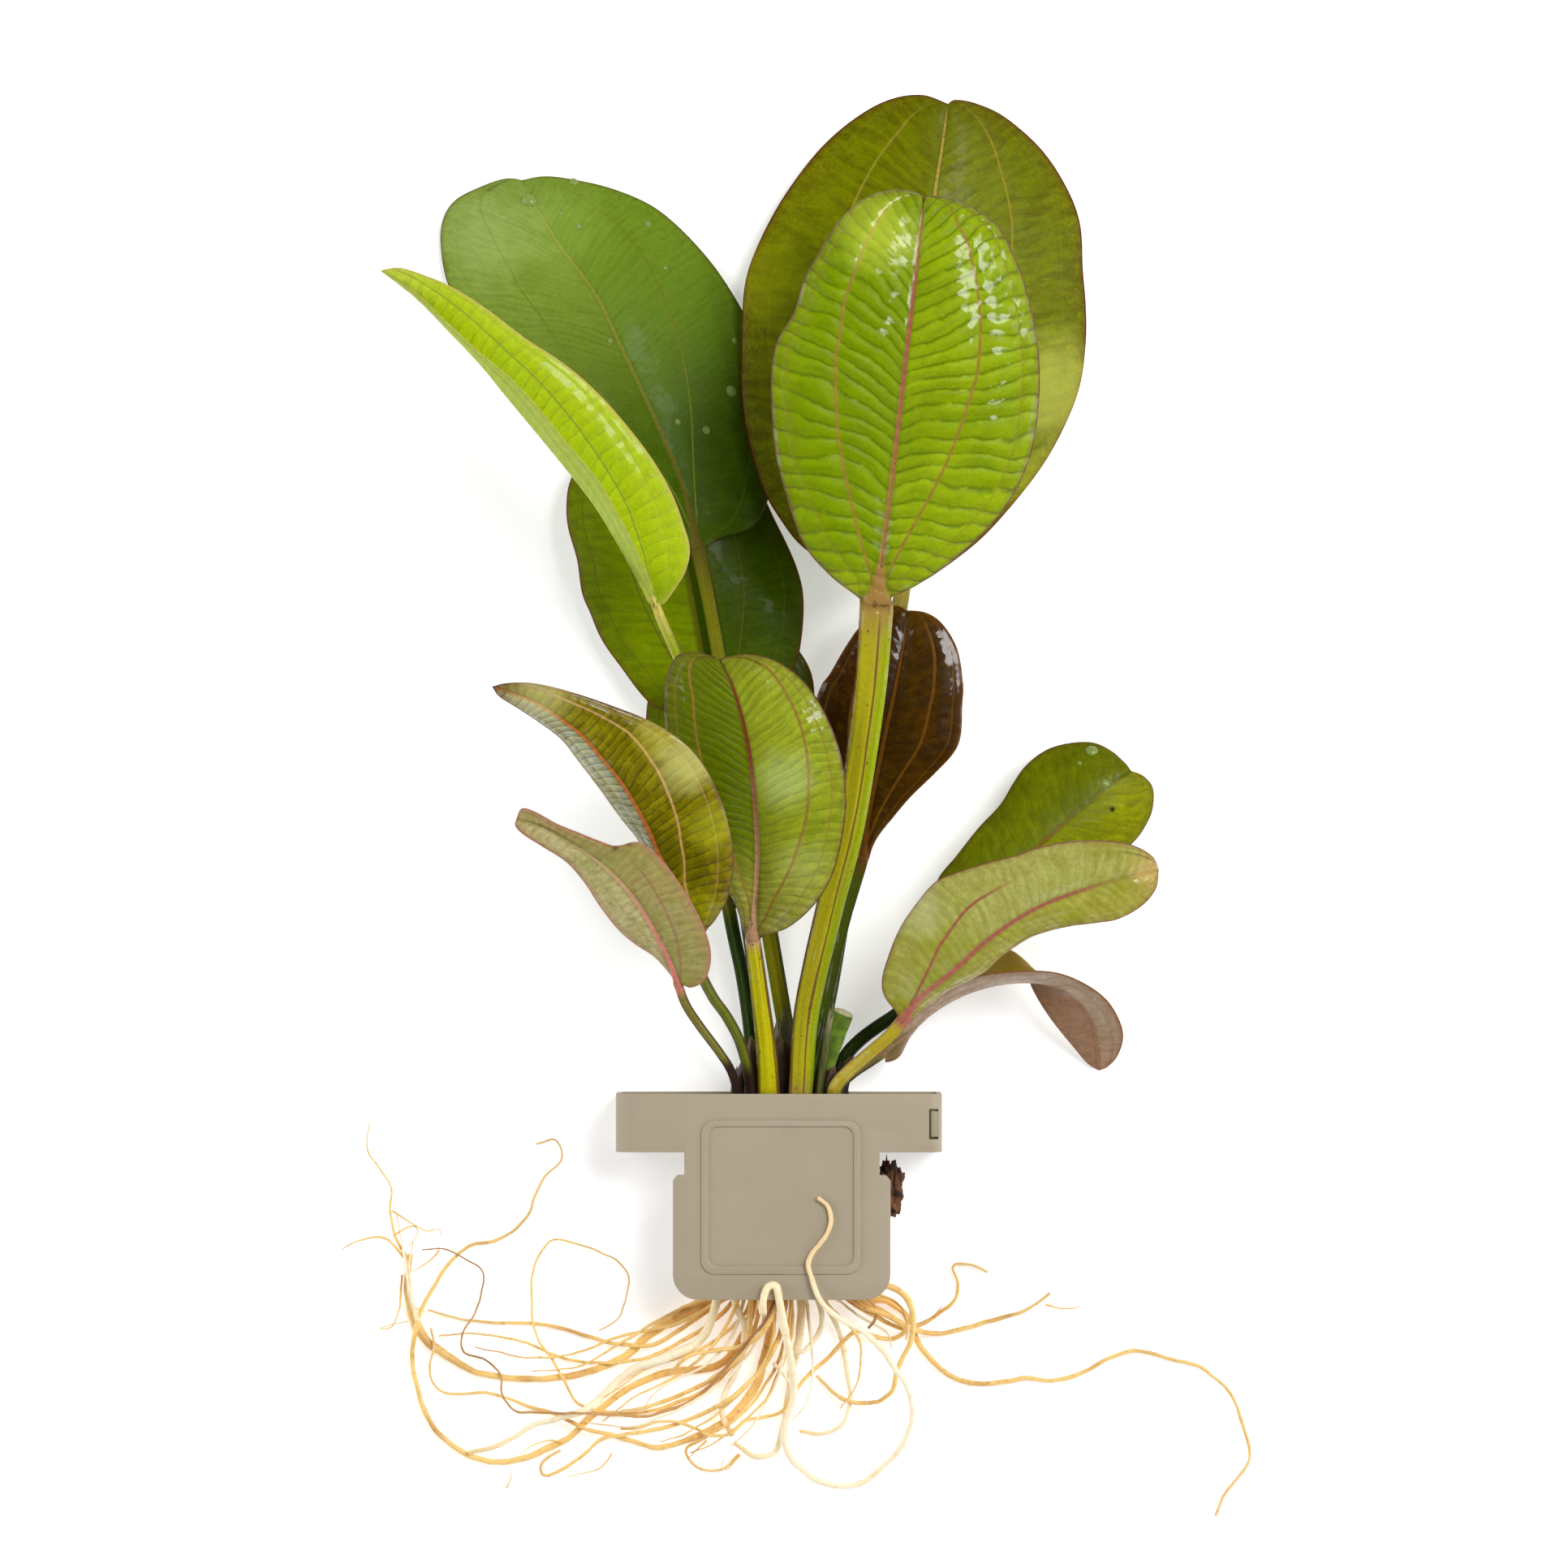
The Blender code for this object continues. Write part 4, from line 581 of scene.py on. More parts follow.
blade = leaf_mesh(
    "back_right_leaf",
    [(1004, 1362, 4.6), (1010, 1290, 5.2), (1026, 1200, 6.5), (1046, 1080, 8),
     (1070, 950, 9.5), (1094, 830, 10.8), (1109, 745, 11.5), (1112, 722, 11.7)],
    [(1118, 640, 12.6), (1126, 540, 13), (1135, 430, 12.5), (1144, 320, 10.8), (1152, 238, 8.6),
     (1160, 187, 6.6), (1168, 128, 4.2)],
    [(1078, 722, 11.8), (1035, 704, 11.8), (989, 674, 11.4), (963, 642, 11), (940, 602, 10.6),
     (922, 544, 10), (914, 491, 9.4), (913, 437, 8.8), (914, 392, 8), (918, 348, 7),
     (931, 308, 5.9), (958, 254, 4.6), (989, 209, 3.5), (1025, 169, 2.9), (1065, 138, 2.8),
     (1101, 121, 3), (1137, 117, 3.6)],
    [(1145, 712, 10.5), (1182, 686, 9.5), (1217, 656, 8.6), (1257, 611, 7.4), (1289, 567, 6.3),
     (1315, 518, 5), (1331, 473, 3.8), (1338, 419, 2.6), (1338, 375, 1.6), (1334, 330, 0.8),
     (1331, 276, 0.2), (1315, 232, 0), (1284, 185, 0.5), (1239, 145, 1.6), (1204, 128, 2.6),
     (1178, 123, 3.6)],
    (1.5, 1.2, 1.5, 1.2), 1.2, rib=(0.5, 0.3), cross=(2.3, 0.35, 0.35), quilt=0.1, seed=1,
    veins={"left": [(0.06, 0.24), (0.3, 0.42), (0.5, 0.52), (0.72, 0.56), (0.88, 0.57), (1, 0.7)],
           "right": [(0.06, 0.24), (0.3, 0.42), (0.5, 0.5), (0.67, 0.54), (0.81, 0.58),
                     (0.9, 0.66), (1, 0.8)]},
)
finish = leaf_finish(
    "olive_blade",
    {"Stalk Left": (70, 70, 20), "Stalk Right": (70, 80, 20), "Mottle": (92, 52, 6)},
    # All three marks are painted light: a pale glossy reflection low on the right half that fades
    # downwards, and a lightened patch by the upper left margin.
    marks=[(1296, 480, 4, 62, (176, 178, 80), 0.55), (1275, 590, 6, 40, (150, 156, 50), 0.4),
           (938, 345, 7, 50, (128, 134, 4), 0.4)],
    gloss=0.06, Tip_From=0.75, Ladder=0.25, Net=0.45, Rim_Net=0.8, Streaks=0.35, Vein_Wide=0.24,
    Outer_Vein=0.15, Mottles=0.12, Relief=0.3,
)
piece = new_piece("back_right_leaf", blade, finish)
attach(piece, "root")
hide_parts("leaf_back_right")

# The leaf at the front right, the largest young one: bright yellow green, deeply quilted
# between its cross veins, and glossy. Its ridged stalk is the thickest of the plant.
blade = leaf_mesh(
    "front_right_leaf",
    [(985, 1362, 13.8), (987, 1335, 14.3), (992, 1260, 17), (1003, 1200, 19.5),
     (1023, 1115, 23), (1048, 1013, 27.5), (1071, 860, 33), (1079, 765, 36), (1080, 742, 36.6)],
    [(1090, 660, 39), (1104, 549, 41.5), (1114, 459, 42.8), (1123, 384, 43), (1132, 303, 42),
     (1138, 244, 40.5)],
    [(1056, 735, 37.5), (1021, 708, 39), (989, 669, 40.4), (969, 611, 41.6), (956, 562, 42.2),
     (951, 509, 42.8), (950, 459, 43), (957, 420, 43), (978, 384, 43), (991, 343, 42.8),
     (1011, 308, 42.4), (1037, 268, 41.6), (1068, 243, 41), (1101, 234, 40.6), (1126, 237, 40.5)],
    [(1100, 735, 37), (1128, 722, 37.8), (1172, 692, 38.6), (1217, 651, 39.2), (1248, 611, 39.6),
     (1268, 567, 40), (1277, 526, 40.2), (1281, 482, 40.4), (1280, 437, 40.6), (1273, 392, 40.6),
     (1262, 348, 40.6), (1248, 312, 40.6), (1231, 281, 40.6), (1204, 259, 40.5),
     (1172, 245, 40.4), (1150, 241, 40.4)],
    (2.2, 1.7, 3.1, 1.5), 1.6, rib=(0.55, 0.42), cross=(2.7, 0.6, 0.3), quilt=0.26, seed=2,
    rows=210,
    veins={"left": [(0.02, 0.12), (0.08, 0.23), (0.25, 0.38), (0.41, 0.48), (0.52, 0.51),
                    (0.65, 0.6), (0.75, 0.61), (0.86, 0.64), (1, 0.8)],
           "outer_left": [(0.06, 0.5), (0.18, 0.7), (0.32, 0.84), (0.46, 0.9), (1, 0.92)],
           "right": [(0.02, 0.12), (0.06, 0.2), (0.25, 0.33), (0.43, 0.44), (0.56, 0.54),
                     (0.67, 0.58), (0.78, 0.59), (0.88, 0.61), (0.98, 0.86)],
           "outer_right": [(0.06, 0.5), (0.17, 0.77), (0.32, 0.85), (1, 0.9)]},
)
finish = leaf_finish(
    "young_blade",
    {"Left": (124, 148, 2), "Right": (144, 166, 12), "Blotch": (108, 132, 0),
     "Foot": (148, 162, 20), "Tip": (130, 148, 6), "Rib": (156, 120, 62), "Rib Tip": (156, 92, 66),
     "Vein": (146, 122, 44), "Dark": (82, 106, 0), "Rim": (112, 82, 54), "Under": (140, 158, 40),
     "Stalk": (170, 162, 24), "Stalk Left": (86, 52, 20), "Stalk Right": (142, 160, 14),
     "Stalk Foot": (160, 110, 76), "Ridge": (96, 66, 40), "Stripe": (178, 136, 70)},
    marks=[(1252, 440, 40.6, 5, (40, 22, 10), 1), (1190, 645, 39, 4, (70, 60, 10), 1),
           # The last, wide mark is a painted sheen near the top of the blade; the others are brown
           # spots.
           (1173, 380, 42, 4, (80, 80, 10), 1), (1085, 292, 41, 46, (186, 198, 70), 0.5)],
    gloss=0.6, Blotches=0.45, Tip_From=0.9, Ladder=0.6, Rim_Wide=0.28, Quilt=1.8, Vein_Wide=0.32,
    Dots=0.7, Rough=0.34, Left_From=-0.48, Right_From=0.16, Ridge_At=0.16, Ridge_Wide=0.05,
    Rung_Wide=0.55, Foot_From=-0.92, Relief=0.42,
)
piece = new_piece("front_right_leaf", blade, finish)
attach(piece, "root")
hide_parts("leaf_front_right")

# The maroon leaf behind the front stalks: an old, thin blade of leaf tissue, dark red-brown
# and glossy. Its stalk grows from the crown.
blade = leaf_mesh(
    "maroon_leaf",
    [(996, 1362, 8), (1004, 1310, 8.4), (1020, 1225, 9.4), (1037, 1145, 10.8),
     (1053, 1090, 12.2), (1062, 1060, 13)],
    [(1072, 1000, 14.2), (1088, 920, 15), (1103, 850, 15.2), (1113, 795, 14.8), (1118, 752, 14)],
    [(1048, 1045, 13), (1020, 985, 13.4), (1004, 925, 13.6), (1002, 880, 13.6), (1011, 847, 13.6),
     (1023, 830, 13.6), (1036, 807, 13.6), (1047, 789, 13.6), (1058, 774, 13.6), (1079, 756, 13.7),
     (1101, 746, 13.9)],
    [(1079, 1036, 13.2), (1101, 1008, 13.8), (1123, 982, 14.4), (1152, 953, 15.2),
     (1175, 928, 15.8), (1184, 906, 16), (1186, 869, 16.2), (1187, 843, 16.2), (1180, 800, 15.8),
     (1162, 769, 15.2), (1142, 755, 14.6)],
    (1.2, 1.0, 1.2, 1.0), 0.8, rib=(0.5, 0.3), cross=(2.0, 0.4, 0.4), quilt=0.12, seed=3,
)
finish = leaf_finish(
    "maroon_blade",
    {"Left": (52, 30, 2), "Right": (62, 40, 5), "Blotch": (48, 24, 1), "Foot": (56, 30, 2),
     "Tip": (84, 54, 4), "Rib": (96, 60, 16), "Rib Tip": (96, 58, 12), "Vein": (104, 66, 12),
     "Dark": (30, 14, 1), "Rim": (104, 62, 16), "Under": (100, 60, 30), "Stalk": (70, 84, 14),
     "Stalk Left": (50, 60, 12), "Stalk Right": (56, 62, 12), "Mottle": (84, 54, 2),
     "Stripe": (50, 54, 16)},
    gloss=0.7, Ladder=0.5, Net=0.3, Outer_Vein=0.5, Dots=0.2, Rough=0.3, Mottles=0.45, Relief=0.4,
)
piece = new_piece("maroon_leaf", blade, finish)
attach(piece, "root")
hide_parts("leaf_maroon")

# The leaf at the back left: a broad mid-green blade with fine close cross lines. Like every
# leaf here, it is one skin of living tissue and is held at the crown by its stalk.
blade = leaf_mesh(
    "back_left_leaf",
    [(977, 1362, 5.2), (973, 1300, 5.6), (962, 1230, 6.4), (949, 1153, 7.4), (932, 1050, 8.6),
     (908, 920, 10), (887, 810, 11), (874, 739, 11.5), (860, 676, 12)],
    [(850, 630, 12.4), (837, 587, 12.6), (806, 514, 12.6), (764, 425, 11.6), (733, 362, 10),
     (691, 305, 7.6), (660, 256, 5.4), (643, 222, 3.6)],
    [(838, 655, 10.6), (795, 605, 9.4), (738, 555, 8), (680, 480, 6.2), (612, 412, 4),
     (574, 377, 2.6), (552, 350, 1.8), (543, 300, 1), (547, 268, 1), (563, 245, 1.4),
     (597, 228, 2.2), (623, 220, 3)],
    [(889, 662, 10.4), (926, 650, 9), (946, 618, 7.4), (958, 560, 5.6), (958, 500, 4.6),
     (944, 440, 3.6), (922, 395, 2.4), (900, 357, 1.6), (874, 321, 1), (837, 281, 0.6),
     (801, 253, 0.6), (754, 233, 1), (707, 221, 2), (672, 217, 3)],
    (1.6, 1.3, 1.4, 1.1), 1.0, rib=(0.5, 0.3), cross=(1.35, 0.5, 0.5), quilt=0.06, seed=4,
    veins={"left": [(0.06, 0.22), (0.3, 0.42), (0.5, 0.54), (0.6, 0.51), (0.72, 0.5),
                    (0.81, 0.57), (0.91, 0.86), (1, 0.9)],
           "right": [(0.05, 0.08), (0.15, 0.13), (0.31, 0.28), (0.48, 0.42), (0.78, 0.62),
                     (1, 0.8)]},
)
finish = leaf_finish(
    "mid_green_blade",
    # The left half and the tip are greyed towards blue, partly as painted sheen.
    {"Left": (124, 146, 50), "Right": (110, 138, 34), "Blotch": (104, 132, 26),
     "Foot": (56, 78, 0), "Tip": (130, 148, 66), "Rib": (92, 82, 16), "Rib Tip": (134, 138, 50),
     "Vein": (112, 122, 30), "Dark": (66, 96, 4), "Rim": (80, 66, 12), "Under": (100, 120, 30),
     "Stalk": (114, 112, 4), "Stalk Left": (96, 98, 8), "Stalk Right": (50, 66, 14),
     "Stripe": (92, 66, 14)},
    # Both marks are painted sheen at the upper left.
    marks=[(606, 292, 2, 60, (166, 180, 120), 0.3), (690, 290, 3, 60, (140, 164, 80), 0.25)],
    gloss=0.05, Blotches=0.3, Foot_To=0.55, Ladder=0.12, Net=0.1, Rim_Wide=0.22, Vein_Wide=0.2,
    Outer_Vein=0.4, Rough=0.4,
)
piece = new_piece("back_left_leaf", blade, finish)
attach(piece, "root")
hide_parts("leaf_back_left")

# The leaf in the front middle: dark green on the left, and glossy where its right half turns.
# Its stalk grows from the front of the crown.
blade = leaf_mesh(
    "front_middle_leaf",
    [(948, 1362, 13.6), (947, 1335, 14.2), (944, 1290, 16.5), (938, 1240, 20), (927, 1156, 26.5)],
    [(930, 1113, 29.5), (933, 1057, 32.8), (931, 1002, 35.4), (926, 946, 37.6), (917, 895, 39),
     (903, 847, 39.6), (886, 812, 39.2)],
    [(904, 1110, 30.2), (874, 1070, 32), (846, 1015, 33.6), (829, 955, 34.8), (820, 891, 35.6),
     (819, 861, 36), (822, 832, 36.8), (832, 810, 37.6), (847, 803, 38.2), (868, 806, 38.8)],
    [(944, 1152, 27.8), (972, 1143, 29.6), (1002, 1117, 31.6), (1024, 1083, 33.4),
     (1035, 1046, 34.8), (1042, 1002, 36), (1042, 972, 36.8), (1037, 935, 37.6), (1024, 895, 38.2),
     (1005, 858, 38.6), (983, 832, 38.9), (954, 813, 39), (924, 806, 39.1), (903, 808, 39.1)],
    (2.15, 1.5, 1.4, 1.1), 1.4, rib=(0.62, 0.34), cross=(1.6, 0.3, 0.3), quilt=0.16, seed=5,
    rows=190,
    veins={"left": [(0.06, 0.22), (0.25, 0.4), (0.5, 0.58), (0.65, 0.63), (0.79, 0.64),
                    (0.9, 0.8), (1, 0.9)],
           "right": [(0.05, 0.31), (0.16, 0.33), (0.31, 0.47), (0.42, 0.56), (0.55, 0.62),
                     (0.66, 0.67), (0.77, 0.7), (0.88, 0.8), (1, 0.9)]},
)
finish = leaf_finish(
    "front_green_blade",
    # The right half's paler colour is partly its own waxy bloom and partly painted sheen.
    {"Left": (98, 114, 2), "Right": (150, 162, 34), "Blotch": (96, 108, 6), "Foot": (164, 164, 64),
     "Tip": (100, 104, 8), "Rib": (184, 142, 108), "Rib Tip": (112, 54, 30),
     "Vein": (140, 112, 46), "Dark": (50, 58, 0), "Rim": (100, 70, 44), "Under": (140, 150, 70),
     "Stalk": (192, 184, 14), "Stalk Left": (122, 108, 20), "Stalk Right": (98, 72, 30),
     "Stalk Foot": (104, 78, 24), "Stripe": (140, 104, 36)},
    # The two wide marks are painted sheen on the right half; the small ones are brown spots.
    marks=[(933, 845, 39.6, 4, (46, 22, 10), 1), (980, 1095, 32, 5, (50, 30, 10), 1),
           (915, 1031, 34.6, 3, (60, 50, 10), 1), (968, 960, 38, 34, (120, 134, 100), 0.65),
           (990, 1060, 33, 30, (110, 116, 80), 0.55)],
    gloss=0.6, Blotches=0.3, Foot_To=0.3, Net=0.15, Quilt=0.7, Outer_Vein=0.5, Dots=0.6,
    Rough=0.34, Rung_Wide=0.4, Relief=0.32,
)
piece = new_piece("front_middle_leaf", blade, finish)
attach(piece, "root")
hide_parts("leaf_front_middle")

# The leaf seen edge on at the left: a young blade folded along its midrib, so that its pale
# back shows too. Its stalk grows from the left of the crown.
blade = leaf_mesh(
    "edge_on_leaf",
    [(957, 1362, 9.4), (953, 1320, 10), (943, 1250, 12), (925, 1130, 16), (895, 1000, 20.5),
     (862, 890, 25), (836, 812, 28.5), (815, 764, 31), (809, 748, 32)],
    [(787, 712, 33.2), (763, 671, 34.4), (737, 628, 35.4), (706, 587, 36.2), (659, 530, 37),
     (624, 488, 37.3), (591, 448, 37.4), (550, 405, 37.2), (512, 367, 36.6), (469, 333, 35.4)],
    [(803, 724, 34.8), (792, 695, 38), (775, 658, 41), (758, 628, 43), (739, 595, 44.4),
     (715, 565, 45.2), (692, 539, 45.6), (666, 506, 45.4), (632, 469, 44.6), (589, 433, 43),
     (549, 396, 40.8), (512, 361, 38.4), (490, 345, 36.8)],
    [(820, 742, 32), (835, 721, 32.4), (846, 701, 32.8), (850, 675, 33.4), (841, 642, 34),
     (828, 608, 34.6), (808, 572, 35.2), (782, 536, 35.8), (748, 496, 36.4), (715, 464, 36.8),
     (682, 439, 37), (649, 418, 37.2), (599, 380, 37.2), (556, 353, 36.8), (523, 339, 36.2),
     (493, 330, 35.6)],
    (1.2, 1.1, 0.9, 0.9), 0.5, rib=(0.6, 0.35), cross=(2.6, 0.5, 0.5), quilt=0.18, wave=0.1,
    seed=6,
)
finish = leaf_finish(
    "folded_blade",
    {"Left": (164, 186, 24), "Right": (178, 200, 18), "Blotch": (160, 188, 6),
     "Foot": (136, 162, 8), "Tip": (204, 214, 96), "Rib": (206, 190, 96),
     "Rib Tip": (214, 196, 110), "Vein": (150, 166, 50), "Dark": (112, 132, 24),
     "Rim": (190, 172, 92), "Under": (164, 182, 72), "Stalk": (150, 168, 26),
     "Stalk Left": (190, 180, 80), "Stalk Right": (110, 120, 30), "Stripe": (140, 140, 50)},
    Blotches=0.35, Ladder=0.42, Rim_Wide=0.26, Streaks=0.15, Vein_Wide=0.2, Dots=0.9, Rough=0.38,
)
piece = new_piece("edge_on_leaf", blade, finish)
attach(piece, "root")
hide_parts("leaf_left_edge_on")

# Two dark leaves low at the back: a broad one, and another that shows only as a strip below
# it. Both are thin blades whose stalks grow from the back of the crown.
for label, seed, routes in (
    ("back_middle", 7, (
        [(950, 1362, 5.0), (944, 1300, 5.4), (930, 1200, 5.8), (912, 1080, 6), (894, 960, 6.6),
         (882, 890, 7)],
        [(868, 820, 7.8), (853, 740, 8.4), (838, 660, 8.4), (824, 590, 7.8), (812, 530, 6.6)],
        [(862, 884, 6), (830, 880, 6), (798, 864, 6), (764, 821, 6), (741, 788, 5.8),
         (727, 755, 5.6), (717, 730, 5.4), (711, 690, 5.2), (700, 651, 5), (698, 621, 5),
         (703, 592, 5), (722, 560, 5), (760, 530, 5), (790, 522, 5.6)],
        [(905, 886, 6), (938, 876, 6), (965, 850, 6), (982, 815, 6), (989, 774, 6),
         (990, 735, 5.8), (984, 706, 5.4), (972, 676, 5), (955, 641, 4.4), (935, 600, 4),
         (905, 560, 4), (865, 530, 4.4), (835, 522, 5.4)],
    )),
    ("back_hidden", 8, (
        [(928, 1362, 6.2), (928, 1320, 5.8), (923, 1260, 4.8), (915, 1204, 3.8), (905, 1156, 3.2),
         (898, 1120, 3)],
        [(896, 1050, 2.8), (897, 970, 2.6), (899, 890, 2.2), (902, 810, 1.6), (903, 765, 1.2)],
        [(880, 1110, 2.6), (838, 1070, 2), (808, 1000, 1.6), (798, 930, 1.4), (797, 870, 1.2),
         (812, 810, 1), (850, 772, 1), (880, 762, 1)],
        [(915, 1112, 2.6), (952, 1075, 2), (985, 1005, 1.6), (1002, 920, 1.4), (1004, 860, 1.2),
         (996, 820, 1), (965, 780, 1), (928, 764, 1)],
    )),
):
    blade = leaf_mesh(label + "_leaf", *routes, (1.2, 1.1, 1.3, 0.95), 0.6, rib=(0.5, 0.3),
                      cross=(1.7, 0.3, 0.3), quilt=0.08, seed=seed)
    finish = leaf_finish(
        label + "_blade",
        {"Left": (112, 130, 0), "Right": (62, 84, 0), "Blotch": (86, 104, 0), "Foot": (40, 54, 0),
         "Tip": (90, 104, 2), "Rib": (90, 92, 10), "Rib Tip": (96, 94, 12), "Vein": (92, 94, 10),
         "Dark": (34, 50, 0), "Rim": (96, 52, 12), "Under": (90, 110, 40), "Stalk": (44, 66, 10),
         "Stalk Left": (30, 46, 8), "Stalk Right": (30, 46, 8), "Stalk Foot": (30, 22, 14),
         "Stripe": (36, 48, 12)},
        gloss=0.05, Blotches=0.4, Foot_To=0.2, Ladder=0.25, Net=0.15, Rim_Wide=0.25, Streaks=0.22,
        Vein_Wide=0.2, Outer_Vein=0.5, Dots=0.2, Rough=0.34,
    )
    piece = new_piece(label + "_leaf", blade, finish)
    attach(piece, "root")
    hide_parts("leaf_" + label)

# The olive leaf at the left: its right half is brown-green, and the left one turns away; its
# pale grey colour is partly painted sheen. It stands high over the table on its stalk, which
# grows from the crown.
blade = leaf_mesh(
    "left_olive_leaf",
    [(926, 1362, 13), (924, 1335, 14), (919, 1308, 16), (910, 1280, 19), (895, 1252, 22.5),
     (878, 1228, 26), (862, 1196, 29.5), (856, 1172, 32)],
    [(846, 1125, 35), (829, 1082, 38), (811, 1050, 40), (801, 1026, 41.4), (785, 996, 43),
     (766, 965, 44.4), (744, 938, 45.8), (719, 908, 47), (691, 886, 48), (664, 868, 48.5),
     (630, 853, 48.4), (606, 846, 48)],
    [(846, 1160, 31.5), (826, 1120, 32), (804, 1075, 33), (787, 1037, 34.5), (765, 1009, 36),
     (739, 972, 38), (713, 939, 40), (691, 911, 42), (665, 891, 44.2), (635, 871, 46.6),
     (615, 858, 47.6)],
    [(870, 1147, 34), (883, 1131, 35.4), (898, 1102, 37.6), (904, 1061, 40), (898, 1017, 42),
     (883, 972, 43.6), (861, 935, 45), (835, 909, 46), (798, 887, 47), (758, 871, 48),
     (721, 858, 48.8), (680, 846, 49.4), (650, 841, 49.4), (622, 842, 48.8)],
    (1.0, 1.0, 1.0, 0.9), 0.8, rib=(0.5, 0.34), cross=(1.6, 0.4, 0.3), quilt=0.2, seed=9,
    veins={"right": [(0.05, 0.12), (0.21, 0.16), (0.28, 0.29), (0.36, 0.37), (0.46, 0.44),
                     (0.55, 0.51), (0.64, 0.63), (0.73, 0.65), (0.82, 0.65), (1, 0.8)]},
)
finish = leaf_finish(
    "left_olive_blade",
    # The left half's pale grey is partly painted sheen.
    {"Left": (176, 182, 148), "Right": (120, 112, 4), "Blotch": (84, 76, 0), "Foot": (78, 84, 1),
     "Tip": (176, 166, 96), "Rib": (180, 100, 44), "Rib Tip": (184, 110, 56),
     "Vein": (190, 150, 92), "Dark": (52, 46, 0), "Rim": (112, 80, 56), "Under": (160, 150, 120),
     "Stalk": (104, 112, 24), "Stalk Foot": (50, 34, 28), "Mottle": (164, 152, 16),
     "Stripe": (96, 84, 36)},
    # The first two marks are painted glints on the right half; the others lighten the blade's
    # yellow-green outer zone, its greener lower part and its pale tip.
    marks=[(846, 940, 46, 34, (198, 196, 116), 0.6), (806, 905, 47, 26, (180, 174, 70), 0.45),
           (880, 1020, 43, 30, (150, 156, 30), 0.5), (866, 1120, 38, 26, (130, 134, 10), 0.5),
           (668, 856, 48, 34, (176, 172, 112), 0.6)],
    gloss=0.5, Blotches=0.45, Ladder=0.7, Net=0.2, Quilt=0.9, Vein_Wide=0.26, Rough=0.28,
    Mottles=0.35, Rung_Wide=0.4, Left_Vein=0.3, Foot_From=-0.72, Relief=0.5,
)
piece = new_piece("left_olive_leaf", blade, finish)
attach(piece, "root")
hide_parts("leaf_left_olive")

# The pale leaf at the left: an ageing blade, pinkish grey with a red midrib and a small torn
# spot in its upper rim. It is held high over the table by its stalk.
blade = leaf_mesh(
    "left_pale_leaf",
    [(908, 1362, 14.5), (907, 1340, 15.5), (900, 1318, 18), (886, 1296, 21.5),
     (862, 1264, 27), (845, 1238, 32), (836, 1214, 36)],
    [(826, 1185, 39.5), (809, 1152, 43.5), (793, 1124, 46.5), (771, 1094, 49), (744, 1067, 51),
     (711, 1042, 52.4), (672, 1020, 53), (636, 1009, 52.6)],
    [(826, 1200, 36.4), (807, 1179, 38.4), (782, 1163, 40.6), (760, 1144, 42.8), (738, 1116, 45.4),
     (719, 1086, 47.8), (697, 1061, 49.8), (667, 1042, 51.4), (645, 1028, 52.4),
     (635, 1018, 52.6)],
    [(851, 1217, 36.6), (867, 1209, 38), (875, 1190, 40), (875, 1166, 42.6), (864, 1135, 45.8),
     (848, 1105, 48.8), (826, 1072, 51.4), (804, 1048, 53), (785, 1037, 53.8), (760, 1042, 54),
     (744, 1038, 54), (713, 1026, 54), (686, 1015, 54), (659, 1000, 53.8), (643, 996, 53.2)],
    (0.8, 0.8, 0.85, 0.8), 0.6, rib=(0.6, 0.34), cross=(1.5, 0.3, 0.3), quilt=0.14, seed=10,
)
finish = leaf_finish(
    "left_pale_blade",
    {"Left": (196, 184, 132), "Right": (164, 148, 90), "Blotch": (152, 154, 82),
     "Foot": (150, 138, 60), "Tip": (184, 170, 116), "Rib": (205, 120, 108),
     "Rib Tip": (184, 158, 116), "Vein": (150, 110, 80), "Dark": (100, 86, 24),
     "Rim": (164, 116, 92), "Under": (170, 158, 126), "Stalk": (124, 118, 50),
     "Stalk Foot": (50, 34, 28), "Mottle": (124, 124, 44), "Stripe": (110, 84, 50)},
    marks=[(758, 1045, 54, 5, (92, 62, 24), 0.8), (775, 1040, 54, 4, (110, 84, 40), 0.7)],
    Blotches=0.6, Rim_Wide=0.4, Rim_Net=0.3, Outer_Vein=0.2, Dots=0.3, Rough=0.4, Mottles=0.25,
    Left_Vein=0.25, Right_Vein=0.7, Vein_To=0.66, Rib_To=0.88, Foot_From=-0.62, Relief=0.3,
)
piece = new_piece("left_pale_leaf", blade, finish)
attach(piece, "root")
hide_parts("leaf_left_pale")

